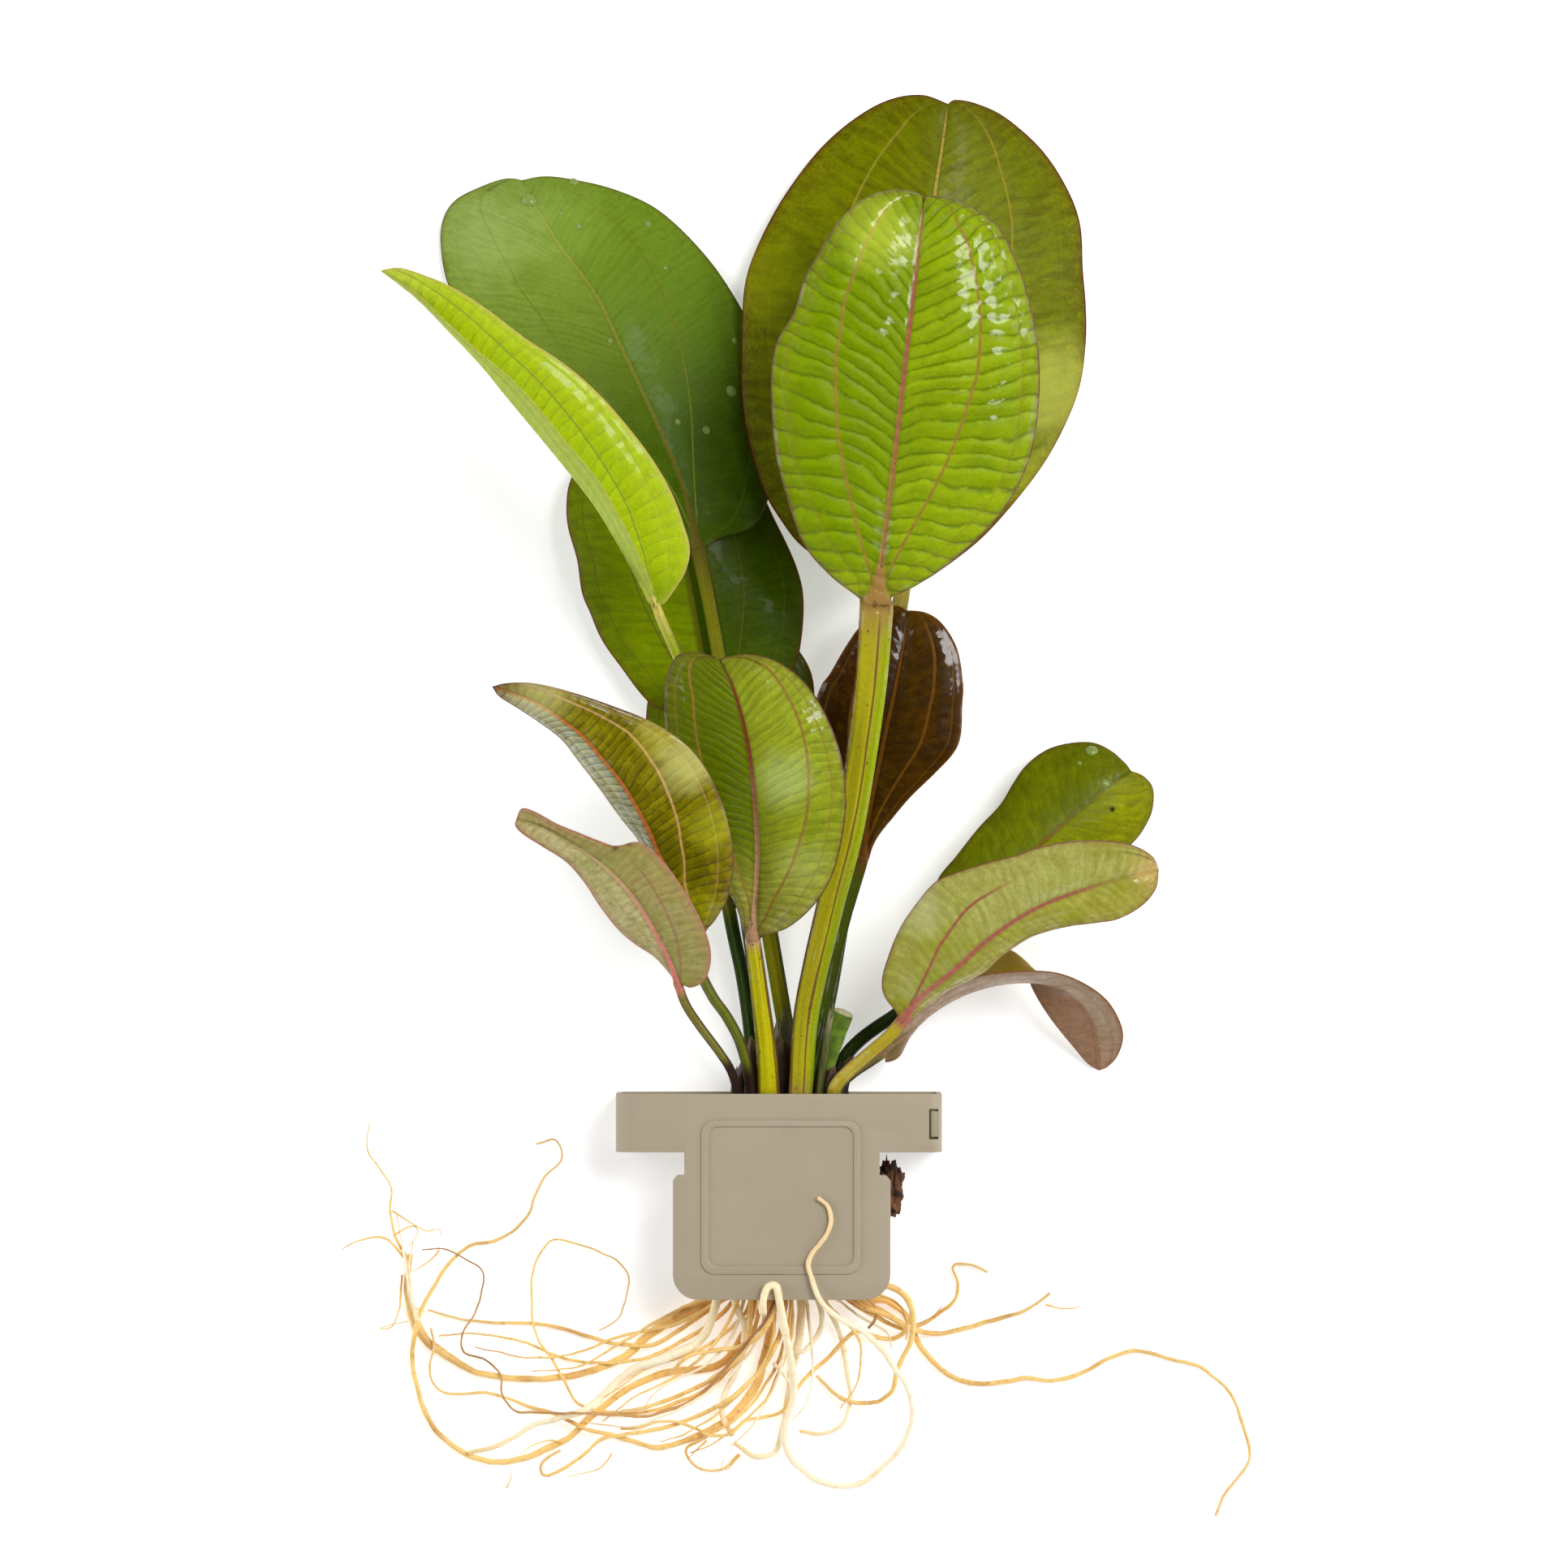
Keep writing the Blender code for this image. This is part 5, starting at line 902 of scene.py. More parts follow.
# The pale leaf at the right: yellow green with olive patches and a thick pink midrib. Its
# stalk grows from the right of the crown.
blade = leaf_mesh(
    "right_pale_leaf",
    [(1026, 1362, 14.8), (1029, 1340, 15.6), (1045, 1321, 17.2), (1066, 1303, 19.2),
     (1095, 1278, 22.4), (1113, 1257, 25)],
    [(1122, 1243, 26.2), (1139, 1224, 28), (1171, 1199, 30.6), (1210, 1164, 33.4),
     (1245, 1138, 35.4), (1283, 1116, 37), (1324, 1100, 38), (1375, 1084, 38.4),
     (1428, 1072, 37.6)],
    [(1103, 1246, 26), (1089, 1226, 27.6), (1087, 1205, 29), (1095, 1177, 31), (1108, 1145, 33),
     (1127, 1116, 34.8), (1152, 1087, 36.4), (1178, 1075, 37.4), (1216, 1063, 38.6),
     (1251, 1054, 39.4), (1283, 1043, 40), (1324, 1036, 40.4), (1363, 1036, 40.2),
     (1395, 1041, 39.4), (1420, 1055, 38.2)],
    [(1130, 1249, 24.4), (1150, 1234, 25), (1171, 1218, 26.2), (1210, 1199, 28.4),
     (1235, 1177, 30.6), (1264, 1157, 32.6), (1286, 1148, 34), (1318, 1141, 35.4),
     (1353, 1137, 36.4), (1379, 1132, 36.8), (1407, 1116, 37.2), (1424, 1095, 37.4)],
    (1.3, 1.2, 1.3, 1.1), 0.8, rib=(0.66, 0.3), cross=(1.7, 0.4, 0.3), quilt=0.2, seed=11,
    veins={"left": [(0.04, 0.1), (0.1, 0.13), (0.2, 0.29), (0.28, 0.39), (0.38, 0.45),
                    (0.46, 0.52), (0.55, 0.57), (0.65, 0.61), (1, 0.8)]},
)
finish = leaf_finish(
    "right_pale_blade",
    {"Left": (172, 172, 92), "Right": (172, 168, 78), "Blotch": (138, 142, 20),
     "Foot": (160, 156, 40), "Tip": (170, 148, 76), "Rib": (168, 98, 80), "Rib Tip": (156, 92, 76),
     "Vein": (154, 92, 68), "Dark": (118, 112, 16), "Rim": (128, 88, 62), "Under": (150, 140, 100),
     "Stalk": (184, 166, 40), "Stalk Left": (160, 132, 110), "Stalk Right": (110, 78, 44),
     "Stalk Foot": (110, 90, 30), "Mottle": (146, 136, 58), "Stripe": (160, 124, 56)},
    # The first mark is a painted sheen at the upper left; the second is the reddish tip.
    marks=[(1136, 1120, 35, 34, (150, 152, 124), 0.4),
           (1414, 1070, 37.6, 20, (190, 130, 100), 0.5)],
    gloss=0.6, Blotches=0.7, Net=0.25, Rim_Wide=0.24, Outer_Vein=0.1, Dots=0.1, Rough=0.32,
    Left_From=-0.5, Right_From=0.5, Mottles=0.35, Mottle_Size=2.0, Right_Vein=0.0, Vein_To=0.62,
    Rib_To=0.9, Foot_From=-0.82, Relief=0.35,
)
piece = new_piece("right_pale_leaf", blade, finish)
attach(piece, "root")
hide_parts("leaf_right_pale")

# The green leaf behind it: an olive blade with a brown margin that lies nearly flat on the
# table. Its stalk grows from the back of the crown.
blade = leaf_mesh(
    "right_green_leaf",
    [(1032, 1362, 4.8), (1033, 1330, 5.4), (1041, 1303, 6.6), (1058, 1283, 7.8),
     (1080, 1266, 9), (1105, 1249, 10), (1130, 1225, 11), (1142, 1208, 11.6)],
    [(1175, 1160, 12.6), (1220, 1105, 13), (1280, 1043, 12.4), (1308, 1017, 11.6),
     (1337, 992, 10.4), (1363, 971, 9), (1394, 950, 7)],
    [(1134, 1182, 12), (1140, 1130, 12), (1155, 1084, 11.6), (1178, 1055, 11), (1206, 1020, 10),
     (1232, 992, 9), (1248, 966, 8), (1264, 944, 7), (1289, 925, 6), (1318, 916, 5.6),
     (1347, 915, 5.6), (1369, 925, 6), (1385, 939, 6.6)],
    [(1166, 1196, 10.8), (1210, 1162, 9.6), (1265, 1118, 8), (1330, 1088, 6), (1370, 1060, 4.6),
     (1396, 1038, 4), (1410, 1020, 4), (1420, 998, 4.4), (1421, 972, 5.2), (1410, 957, 6.2)],
    (1.3, 1.2, 1.2, 0.9), 0.8, rib=(0.5, 0.35), cross=(2.2, 0.3, 0.3), quilt=0.1, seed=12,
)
finish = leaf_finish(
    "right_green_blade",
    {"Left": (114, 124, 2), "Right": (142, 146, 4), "Blotch": (76, 86, 0), "Foot": (80, 92, 1),
     "Tip": (110, 110, 4), "Rib": (108, 80, 16), "Rib Tip": (112, 86, 16), "Vein": (116, 122, 14),
     "Dark": (56, 62, 0), "Rim": (96, 66, 20), "Stalk": (44, 58, 12), "Stalk Left": (30, 38, 10),
     "Stalk Right": (30, 38, 10), "Stalk Foot": (30, 20, 14), "Stripe": (36, 34, 16)},
    marks=[(1370, 997, 8.6, 4, (40, 24, 10), 1)],
    gloss=0.12, Net=0.35, Rim_Wide=0.24, Outer_Vein=0.1, Dots=0.2, Left_Vein=0.12, Right_Vein=0.12,
    Rib_To=0.8, Relief=0.25,
)
piece = new_piece("right_green_leaf", blade, finish)
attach(piece, "root")
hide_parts("leaf_right_green")

# The curled leaf at the right: an old blade that bends over, so that its pinkish back faces
# up. Its stalk grows from the right of the crown.
blade = leaf_mesh(
    "right_curled_leaf",
    [(1029, 1362, 8.5), (1034, 1338, 9), (1050, 1322, 9.8), (1070, 1309, 10.6), (1087, 1298, 11.4)],
    [(1105, 1283, 12.2), (1125, 1267, 13), (1146, 1250, 14), (1171, 1234, 15), (1197, 1222, 16),
     (1229, 1213, 16.8), (1262, 1210, 17), (1290, 1213, 16.4), (1315, 1222, 14.8),
     (1338, 1245, 11.4), (1350, 1275, 7), (1354, 1319, 0.6)],
    [(1096, 1280, 14), (1116, 1256, 17), (1152, 1226, 20.4), (1184, 1208, 22.8), (1222, 1199, 24.4),
     (1267, 1196, 24.8), (1305, 1199, 23.4), (1337, 1212, 20.4), (1363, 1231, 16.4),
     (1379, 1256, 12), (1384, 1279, 8), (1377, 1301, 3.6), (1365, 1314, 1)],
    [(1092, 1309, 10), (1108, 1302, 8.4), (1120, 1277, 6.6), (1148, 1232, 5.6), (1180, 1203, 5.8),
     (1212, 1182, 6.4), (1243, 1170, 7.2), (1266, 1190, 8.4), (1270, 1214, 9), (1292, 1252, 7.6),
     (1325, 1293, 3), (1340, 1310, 1)],
    (1.2, 1.0, 1.0, 0.8), 0.3, rib=(0.5, 0.3), cross=(1.8, 0.3, 0.3), quilt=0.12, wave=0.1,
    seed=13,
)
finish = leaf_finish(
    "right_curled_blade",
    {"Left": (178, 154, 126), "Right": (156, 118, 90), "Blotch": (150, 120, 92),
     "Foot": (120, 110, 60), "Tip": (160, 118, 88), "Rib": (150, 124, 86),
     "Rib Tip": (150, 110, 80), "Vein": (156, 118, 88), "Dark": (96, 66, 40), "Rim": (130, 84, 50),
     "Under": (156, 126, 28), "Stalk": (130, 120, 60), "Stalk Left": (90, 70, 50),
     "Stalk Right": (60, 60, 30), "Stalk Foot": (50, 36, 24), "Stripe": (90, 76, 46)},
    gloss=0.25, Net=0.3, Dots=0.3, Under_Share=0.92, Left_Vein=0.3, Right_Vein=0.3, Relief=0.1,
)
piece = new_piece("right_curled_leaf", blade, finish)
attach(piece, "root")
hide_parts("leaf_right_curled")

# The cut stalk: the stub of a trimmed leaf, fleshy and green, with a pale slanting cut at
# its top. It stands in the crown between the other stalks.
def write_share(mesh, shares):
    """Writes how far along its piece each point of a mesh lies, from 0 to 1."""
    layer = mesh.attributes.new("rod_share", "FLOAT", "POINT")
    layer.data.foreach_set("value", shares.astype(np.float32))


def swept(name, places, wide, deep, sides, ridges):
    """A ridged rod along places; wide and deep are its half width and half depth at each."""
    heading = np.gradient(places, axis=0)
    heading /= np.linalg.norm(heading, axis=1)[:, None]
    across = np.cross(heading, [0, 0, 1])
    across /= np.linalg.norm(across, axis=1)[:, None]
    up = np.cross(across, heading)
    turn = np.linspace(0, 2 * math.pi, sides, endpoint=False)
    shape = 1 + ridges * np.sin(5 * turn) * np.cos(2 * turn)
    ring = across[:, None] * (np.cos(turn) * shape)[None, :, None] * wide[:, None, None]
    ring = ring + up[:, None] * (np.sin(turn) * shape)[None, :, None] * deep[:, None, None]
    grid = places[:, None] + ring
    index, turned, faces = tube_faces(len(places), sides)
    corners = np.vstack([grid.reshape(-1, 3), places[:1], places[-1:]])
    mesh = closed_mesh(name, corners, faces + end_faces(index, turned))
    shares = np.repeat(np.linspace(0, 1, len(places)), sides)
    write_share(mesh, np.concatenate([shares, [0, 1]]))
    return mesh


line = smooth([spot(1009, 1362, 11.2), spot(1011, 1335, 11.6), spot(1018, 1305, 12.6),
               spot(1028, 1275, 13.6), spot(1040, 1246, 14.6)], 60)
width = np.interp(np.linspace(0, 1, 60), [0, 0.3, 0.7, 0.93, 0.98, 1],
                  [1.5, 1.75, 1.95, 1.85, 1.8, 1.7])
stub = swept("cut_stalk_stub", line, width, width * 0.8, sides=28, ridges=0.12)
CUT_FROM, CUT_EASE, CUT_MIDDLE, CUT_SLANT = -37.4, 1.5, 6.2, 0.45
for corner in stub.vertices:
    place = corner.co / MM
    past = place.y - CUT_FROM
    if past > 0:
        corner.co.y -= (place.x - CUT_MIDDLE) * CUT_SLANT * min(1, past / CUT_EASE) * MM
finish, tree, shader = new_finish("cut_stalk_skin")
where = object_place(tree)
share = put(tree, "ShaderNodeAttribute", {}, attribute_name="rod_share").outputs["Fac"]
mottle = clouds(tree, where, 1.6, 3)
skin = mixed(tree, ramp(tree, mottle, 0.35, 0.65), paint(104, 136, 16), paint(80, 104, 16))
skin = mixed(tree, ramp(tree, share, 0.35, 0.0), skin, paint(70, 60, 22))
skin = mixed(tree, ramp(tree, share, 0.97, 0.985), skin, paint(196, 186, 140))
tree.links.new(skin, shader.inputs["Base Color"])
bumped(tree, shader, mottle, 0.5, 0.0004)
shader.inputs["Roughness"].default_value = 0.45
piece = new_piece("cut_stalk_stub", stub, finish)
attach(piece, "root")
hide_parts("cut_stalk")

# The sheaths at the crown: what is left of older leaves, thin and papery, dark at the base and
# pale at the torn edge. They wrap the feet of the stalks and grow from the rhizome.
def sheath(name, route, wide, curl, seed):
    """A thin sheath along route that wraps down at its sides and ends in a ragged edge."""
    rows, columns, thick = 30, 17, 0.1
    side = np.linspace(-1, 1, columns)
    tears = drift(np.stack([side * 6, side * 0, side * 0], axis=-1), 1.6, seed)
    reach = 1 - 0.18 * side**2 - 0.45 * np.abs(tears)
    fine = smooth([spot(*p) for p in route], 200)
    share = np.linspace(0, 1, rows)[:, None] * reach[None]
    even = np.linspace(0, 1, 200)
    grid = np.stack([np.interp(share, even, fine[:, k]) for k in range(3)], axis=-1)
    across = np.cross(fine[-1] - fine[0], [0, 0, 1])
    across /= np.linalg.norm(across)
    half = np.interp(share, np.linspace(0, 1, len(wide)), wide)
    grid += across * (half * side)[:, :, None]
    grid[:, :, 2] += 0.22 * drift(grid, 1.8, seed) - curl * side**2
    normal = np.cross(np.gradient(grid, axis=1), np.gradient(grid, axis=0))
    normal /= np.linalg.norm(normal, axis=2)[:, :, None]
    upper, lower = grid + normal * thick, grid - normal * thick
    both = ringed(upper, lower)
    index, _, faces = tube_faces(rows, both.shape[1])
    for row in (index[0], index[-1]):
        for j in range(columns - 1):
            below = [row[-j] if j else row[0], row[-(j + 1)] if j < columns - 2 else row[j + 1]]
            faces.append(list(dict.fromkeys([row[j], row[j + 1], below[1], below[0]])))
    mesh = closed_mesh(name, both.reshape(-1, 3), faces)
    write_share(mesh, ringed(share, share).ravel())
    return mesh


def sheath_finish(name, dark, pale, turn):
    """Fibrous skin, dark up to the given share of its length and pale beyond."""
    made, tree, shader = new_finish(name)
    where = object_place(tree)
    share = put(tree, "ShaderNodeAttribute", {}, attribute_name="rod_share").outputs["Fac"]
    pulled = put(tree, "ShaderNodeMapping", {0: where, 3: (1.0, 0.2, 1.0)}).outputs[0]
    fibre = clouds(tree, pulled, 0.9, 3)
    at = sums(tree, "MULTIPLY_ADD", sums(tree, "SUBTRACT", fibre, 0.5), 0.5, share)
    skin = mixed(tree, ramp(tree, at, turn - 0.12, turn + 0.12), paint(*dark), paint(*pale))
    lines = sums(tree, "MULTIPLY", ramp(tree, fibre, 0.5, 0.66), 0.5)
    skin = mixed(tree, lines, skin, paint(*(v * 2 // 3 for v in dark)))
    tree.links.new(skin, shader.inputs["Base Color"])
    bumped(tree, shader, fibre, 0.5, 0.0003)
    shader.inputs["Roughness"].default_value = 0.5
    return made


dark_sheath = sheath_finish("dark_sheath", (48, 28, 14), (98, 72, 42), 0.8)
green_sheath = sheath_finish("green_sheath", (60, 48, 26), (84, 84, 40), 0.35)
papery_sheath = sheath_finish("papery_sheath", (84, 88, 34), (150, 146, 104), 0.75)
for label, route, wide, curl, seed, finish in (
    ("sheath_left_outer",
     [(914, 1364, 11), (913, 1340, 11.2), (916, 1316, 11.4), (922, 1296, 11.6)],
     (2.0, 1.8, 1.3, 0.7), 1.0, 2.3, dark_sheath),
    ("sheath_left",
     [(930, 1364, 11.5), (928, 1338, 11.8), (926, 1308, 12), (926, 1274, 12)],
     (2.3, 2.0, 1.5, 0.7), 1.2, 4.1, dark_sheath),
    ("sheath_middle",
     [(966, 1364, 10.5), (966, 1335, 11), (964, 1305, 11.5), (962, 1270, 11.6)],
     (3.0, 2.6, 1.8, 0.8), 1.0, 7.9, dark_sheath),
    ("sheath_behind",
     [(958, 1364, 8), (960, 1330, 8.2), (964, 1280, 8.6), (968, 1235, 9)],
     (3.0, 2.8, 1.8, 0.8), 1.0, 12.4, green_sheath),
    # The wide sheath at the back is partly old leaf tissue and partly a dark backing painted in for
    # the shade in the gaps between the stalk feet.
    ("sheath_back",
     [(985, 1364, 2.6), (985, 1330, 2.8), (984, 1295, 3), (984, 1262, 3)],
     (9.5, 8.8, 6.0, 2.2), 1.4, 16.8, dark_sheath),
    ("sheath_of_cut_stalk",
     [(1008, 1364, 14.2), (1011, 1330, 14.9), (1016, 1294, 16), (1021, 1262, 17),
      (1026, 1236, 17.4)],
     (0.8, 0.9, 0.9, 0.8, 0.7), 1.6, 21.3, papery_sheath),
    ("sheath_right",
     [(1018, 1364, 13.4), (1020, 1345, 14), (1024, 1328, 14.8), (1028, 1312, 15.4)],
     (1.8, 1.6, 1.2, 0.7), 1.2, 25.7, dark_sheath),
    ("sheath_right_back",
     [(1024, 1364, 6.5), (1030, 1340, 7.2), (1040, 1318, 8.2), (1052, 1300, 9)],
     (3.0, 2.4, 1.7, 0.8), 0.9, 31.2, dark_sheath),
):
    piece = new_piece(label, sheath(label, route, wide, curl, seed), finish)
    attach(piece, "root")

# The rhizome: the short woody stem that the stalks and roots grow from, wrapped in old leaf
# bases and packed with roots. It is held in the clip.
SECTIONS = np.array([
    (-55.8, -1.4, 9.5, 10.6, 6.6), (-58, -1.4, 9.5, 11.4, 7.2), (-64, -1, 9.5, 11.6, 7.4),
    (-70, 0, 9.4, 12.2, 7.6), (-76, 0.6, 9.2, 13, 7.8), (-82, 1, 9, 13.4, 7.6),
    (-86, 1.2, 9, 13.2, 7.2), (-87.8, 1.2, 9, 12.2, 6.6)])
ROWS, SIDES, SQUARENESS = 90, 150, 0.65
level = np.linspace(SECTIONS[0, 0], SECTIONS[-1, 0], ROWS)
size = [np.interp(-level, -SECTIONS[:, 0], SECTIONS[:, k]) for k in range(1, 5)]
turn = np.linspace(0, 2 * math.pi, SIDES, endpoint=False)
cosine = np.sign(np.cos(turn)) * np.abs(np.cos(turn)) ** SQUARENESS
sine = np.sign(np.sin(turn)) * np.abs(np.sin(turn)) ** SQUARENESS
skin = np.stack([size[0][:, None] + size[2][:, None] * cosine[None],
                 np.broadcast_to(level[:, None], (ROWS, SIDES)),
                 size[1][:, None] + size[3][:, None] * sine[None]], axis=-1)
core = np.stack([size[0], level, size[1]], axis=-1)[:, None]
stretched = skin * np.array([1, 0.22, 1])
lump = 0.05 * drift(stretched, 1.5, 5.0) + 0.05 * drift(skin, 4.0, 9.0)
skin = core + (skin - core) * (0.96 + lump)[:, :, None]
index, turned, faces = tube_faces(ROWS, SIDES)
corners = skin.reshape(-1, 3).tolist()
for row, inward in ((0, 1.2), (ROWS - 1, -1.2)):
    corners.append((core[row, 0] + [0, inward, 0]).tolist())
    faces += [(index[row, k], turned[row, k], len(corners) - 1) for k in range(SIDES)]
stem = closed_mesh("rhizome_stem", corners, faces)


def woody_finish(name, dark, pale, size):
    """Dark fibrous tissue: streaks along the plant over soft patches."""
    made, tree, shader = new_finish(name)
    where = object_place(tree)
    pulled = put(tree, "ShaderNodeMapping", {0: where, 3: (1.0, 0.16, 1.0)}).outputs[0]
    fibre = clouds(tree, pulled, size, 4)
    patch = clouds(tree, where, 5, 2)
    skin = mixed(tree, ramp(tree, fibre, 0.4, 0.66), paint(*dark), paint(*pale))
    shadow = sums(tree, "MULTIPLY", ramp(tree, patch, 0.6, 0.4), 0.5)
    skin = mixed(tree, shadow, skin, paint(*(v // 2 for v in dark)))
    tree.links.new(skin, shader.inputs["Base Color"])
    bumped(tree, shader, fibre, 0.7, 0.0006)
    shader.inputs["Roughness"].default_value = 0.75
    return made


piece = new_piece("rhizome_stem", stem,
                  woody_finish("rhizome_bark", (58, 40, 24), (112, 84, 50), 0.8))
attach(piece, "root")
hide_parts("rhizome")

# A scrap of rotted leaf base and moss that sticks out beside the clip: soft, black-brown
# and spiky.
SCRAP_AT, SCRAP_SIZE = (17.1, -71.4, 9), (2.7, 4.5, 2.6)
tuft = bmesh.new()
bmesh.ops.create_icosphere(tuft, subdivisions=5, radius=1)
for corner in tuft.verts:
    x, y, z = corner.co
    lump = 1 + 0.22 * math.sin(5 * x + 3 * y) * math.cos(4 * z + 2 * y)
    lump += 0.12 * math.sin(9 * y + 4 * x)
    spike = max(0.0, noise.noise(corner.co * 5.5 + Vector((3, 1, 2)))) ** 1.5
    lump += 0.9 * spike * (0.35 + 0.65 * max(0.0, y)) + 0.12 * noise.noise(corner.co * 11)
    parts = zip(SCRAP_AT, SCRAP_SIZE, (x, y, z))
    corner.co = Vector([at + wide * part * lump for at, wide, part in parts]) * MM
tuft_mesh = bpy.data.meshes.new("rotted_leaf_base")
tuft.to_mesh(tuft_mesh)
tuft.free()
tuft_mesh.shade_smooth()
piece = new_piece("rotted_leaf_base", tuft_mesh,
                  woody_finish("rotted_tissue", (30, 20, 14), (132, 76, 30), 0.5))
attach(piece, "root")
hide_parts("old_leaf_scrap")

# The planting clip: one moulding of matt beige plastic, a flat strap round the crown and a
# wide tab in front with a raised frame round a bare panel. A tongue clicks into the slot.
def outline(corners):
    """Corner points (x, y, radius) in millimetres rounded into a closed outline."""
    path = []
    count = len(corners)
    for i, (x, y, radius) in enumerate(corners):
        here = Vector((x, y))
        back = (Vector(corners[i - 1][:2]) - here).normalized()
        ahead = (Vector(corners[(i + 1) % count][:2]) - here).normalized()
        if radius == 0:
            path.append(here)
            continue
        open_by = back.angle(ahead)
        reach = radius / math.tan(open_by / 2)
        start, stop = here + back * reach, here + ahead * reach
        centre = here + (back + ahead).normalized() * radius / math.sin(open_by / 2)
        for k in range(13):
            place = start.lerp(stop, k / 12) - centre
            path.append(centre + place.normalized() * radius)
    return path


EDGE = 0.14      # rounding of the moulding's edges, in millimetres


def baked(holder):
    """What an object's curve and modifiers give, as a mesh of its own."""
    bpy.context.view_layer.update()
    seen = holder.evaluated_get(bpy.context.evaluated_depsgraph_get())
    return bpy.data.meshes.new_from_object(seen)


def sheet(name, loops, thick, change, edge=EDGE):
    """A flat outline with holes, given a thickness and rounded edges and set in its place."""
    curve = bpy.data.curves.new(name, "CURVE")
    curve.dimensions = "2D"
    curve.fill_mode = "BOTH"
    curve.extrude = (thick / 2 - edge) * MM
    curve.bevel_depth = edge * MM
    curve.offset = -edge * MM
    curve.bevel_resolution = 2
    for loop in loops:
        line = curve.splines.new("POLY")
        line.points.add(len(loop) - 1)
        line.use_cyclic_u = True
        for point, place in zip(line.points, loop):
            point.co = (place.x * MM, place.y * MM, 0, 1)
    holder = placed(name, curve)
    mesh = baked(holder)
    bpy.data.objects.remove(holder)
    work = bmesh.new()
    work.from_mesh(mesh)
    bmesh.ops.remove_doubles(work, verts=work.verts, dist=1e-6)
    for corner in work.verts:
        corner.co = Vector(change(corner.co / MM)) * MM
    bmesh.ops.recalc_face_normals(work, faces=work.faces)
    work.to_mesh(mesh)
    work.free()
    return placed(name, mesh)


LEFT, RIGHT, TOP, FOOT, FACE, WALL = -33.4, 27.0, -53.2, -64.0, 19.0, 1.0
strap = sheet(
    "clip_body",
    [outline([(LEFT, 0, 3.5), (RIGHT, 0, 2), (RIGHT, FACE, 2), (LEFT, FACE, 3.5)]),
     outline([(LEFT + WALL, WALL, 2.5), (RIGHT - WALL, WALL, 1),
              (RIGHT - WALL, FACE - WALL, 1), (LEFT + WALL, FACE - WALL, 2.5)])],
    TOP - FOOT, lambda c: (c.x, (TOP + FOOT) / 2 + c.z, c.y),
)
tab = sheet(
    "tab",
    [outline([(-20.7, -60, 0), (15.45, -60, 0), (15.45, -68.2, 0), (16.6, -68.2, 0.3),
              (17.45, -69.2, 0.6), (17.45, -91.3, 4.7), (-22.8, -91.3, 4.7), (-22.8, -69.2, 0.6),
              (-22, -68.2, 0.3), (-20.7, -68.2, 0)])],
    WALL, lambda c: (c.x, c.y, FACE - WALL / 2 + c.z),
)
rim = sheet(
    "rim",
    [outline([(-17.6, -58, 2.6), (11.9, -58, 2.6), (11.9, -86.6, 2.6), (-17.6, -86.6, 2.6)]),
     outline([(-16.2, -59.3, 1.8), (10.6, -59.3, 1.8), (10.6, -85, 1.8), (-16.2, -85, 1.8)])],
    0.7, lambda c: (c.x, c.y, FACE + c.z), 0.2,
)
slot = sheet(
    "slot", [outline([(24.6, -61.6, 0.2), (26.3, -61.6, 0.2), (26.3, -56, 0.2), (24.6, -56, 0.2)])],
    2.6, lambda c: (c.x, c.y, FACE - 0.3 + c.z), 0.02,
)
tongue = sheet(
    "tongue",
    [outline([(24.9, -61.2, 0.2), (26.4, -61.2, 0.2), (26.4, -56.4, 0.2), (24.9, -56.4, 0.2)])],
    4.4, lambda c: (c.x, c.y, 16.2 + c.z),
)
for tool, kind in ((tab, "UNION"), (rim, "UNION"), (slot, "DIFFERENCE"), (tongue, "UNION")):
    cut = strap.modifiers.new(tool.name, "BOOLEAN")
    cut.operation = kind
    cut.solver = "EXACT"
    cut.object = tool
body = baked(strap)
for tool in (strap, tab, rim, slot, tongue):
    bpy.data.objects.remove(tool)
body.name = "planting_clip"
body.materials.clear()
body.shade_smooth()
body.set_sharp_from_angle(angle=math.radians(35))

finish, tree, shader = new_finish("matt_plastic")
where = object_place(tree)
haze = clouds(tree, where, 14, 2)
grain = clouds(tree, where, 0.35, 2)
smear = clouds(tree, where, 4, 4)
skin = mixed(tree, haze, paint(159, 146, 123), paint(167, 155, 132))
skin = mixed(tree, sums(tree, "MULTIPLY", ramp(tree, smear, 0.5, 0.8), 0.25), skin,
             paint(150, 140, 118))
tree.links.new(skin, shader.inputs["Base Color"])
tree.links.new(sums(tree, "MULTIPLY_ADD", smear, 0.2, 0.42), shader.inputs["Roughness"])
bumped(tree, shader, grain, 0.25, 0.0001)
piece = new_piece("planting_clip", body, finish)
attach(piece, "root")
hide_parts("plant_clip")

# The main roots: living roots, each its own piece, pale to golden brown, that leave the
# rhizome below the clip and lie loose on the table and over each other.
root_colour = bpy.data.node_groups.new("root_colour", "ShaderNodeTree")
add_sockets(root_colour, "INPUT", "Color", ["Body", "Foot", "Tip", "Stain"])
add_sockets(root_colour, "INPUT", "Float", ["Stains"])
add_sockets(root_colour, "OUTPUT", "Color", ["Color"])
add_sockets(root_colour, "OUTPUT", "Float", ["Height"])
tree = root_colour
given = tree.nodes.new("NodeGroupInput").outputs
where = object_place(tree)
share = put(tree, "ShaderNodeAttribute", {}, attribute_name="root_share").outputs["Fac"]
length = put(tree, "ShaderNodeAttribute", {}, attribute_name="root_length").outputs["Fac"]
patch = clouds(tree, where, 9, 3)
fleck = clouds(tree, where, 1.1, 3)
bands = put(tree, "ShaderNodeCombineXYZ", {0: length, 1: 0.0, 2: 0.0}).outputs[0]
bands = clouds(tree, bands, 1.6, 2)
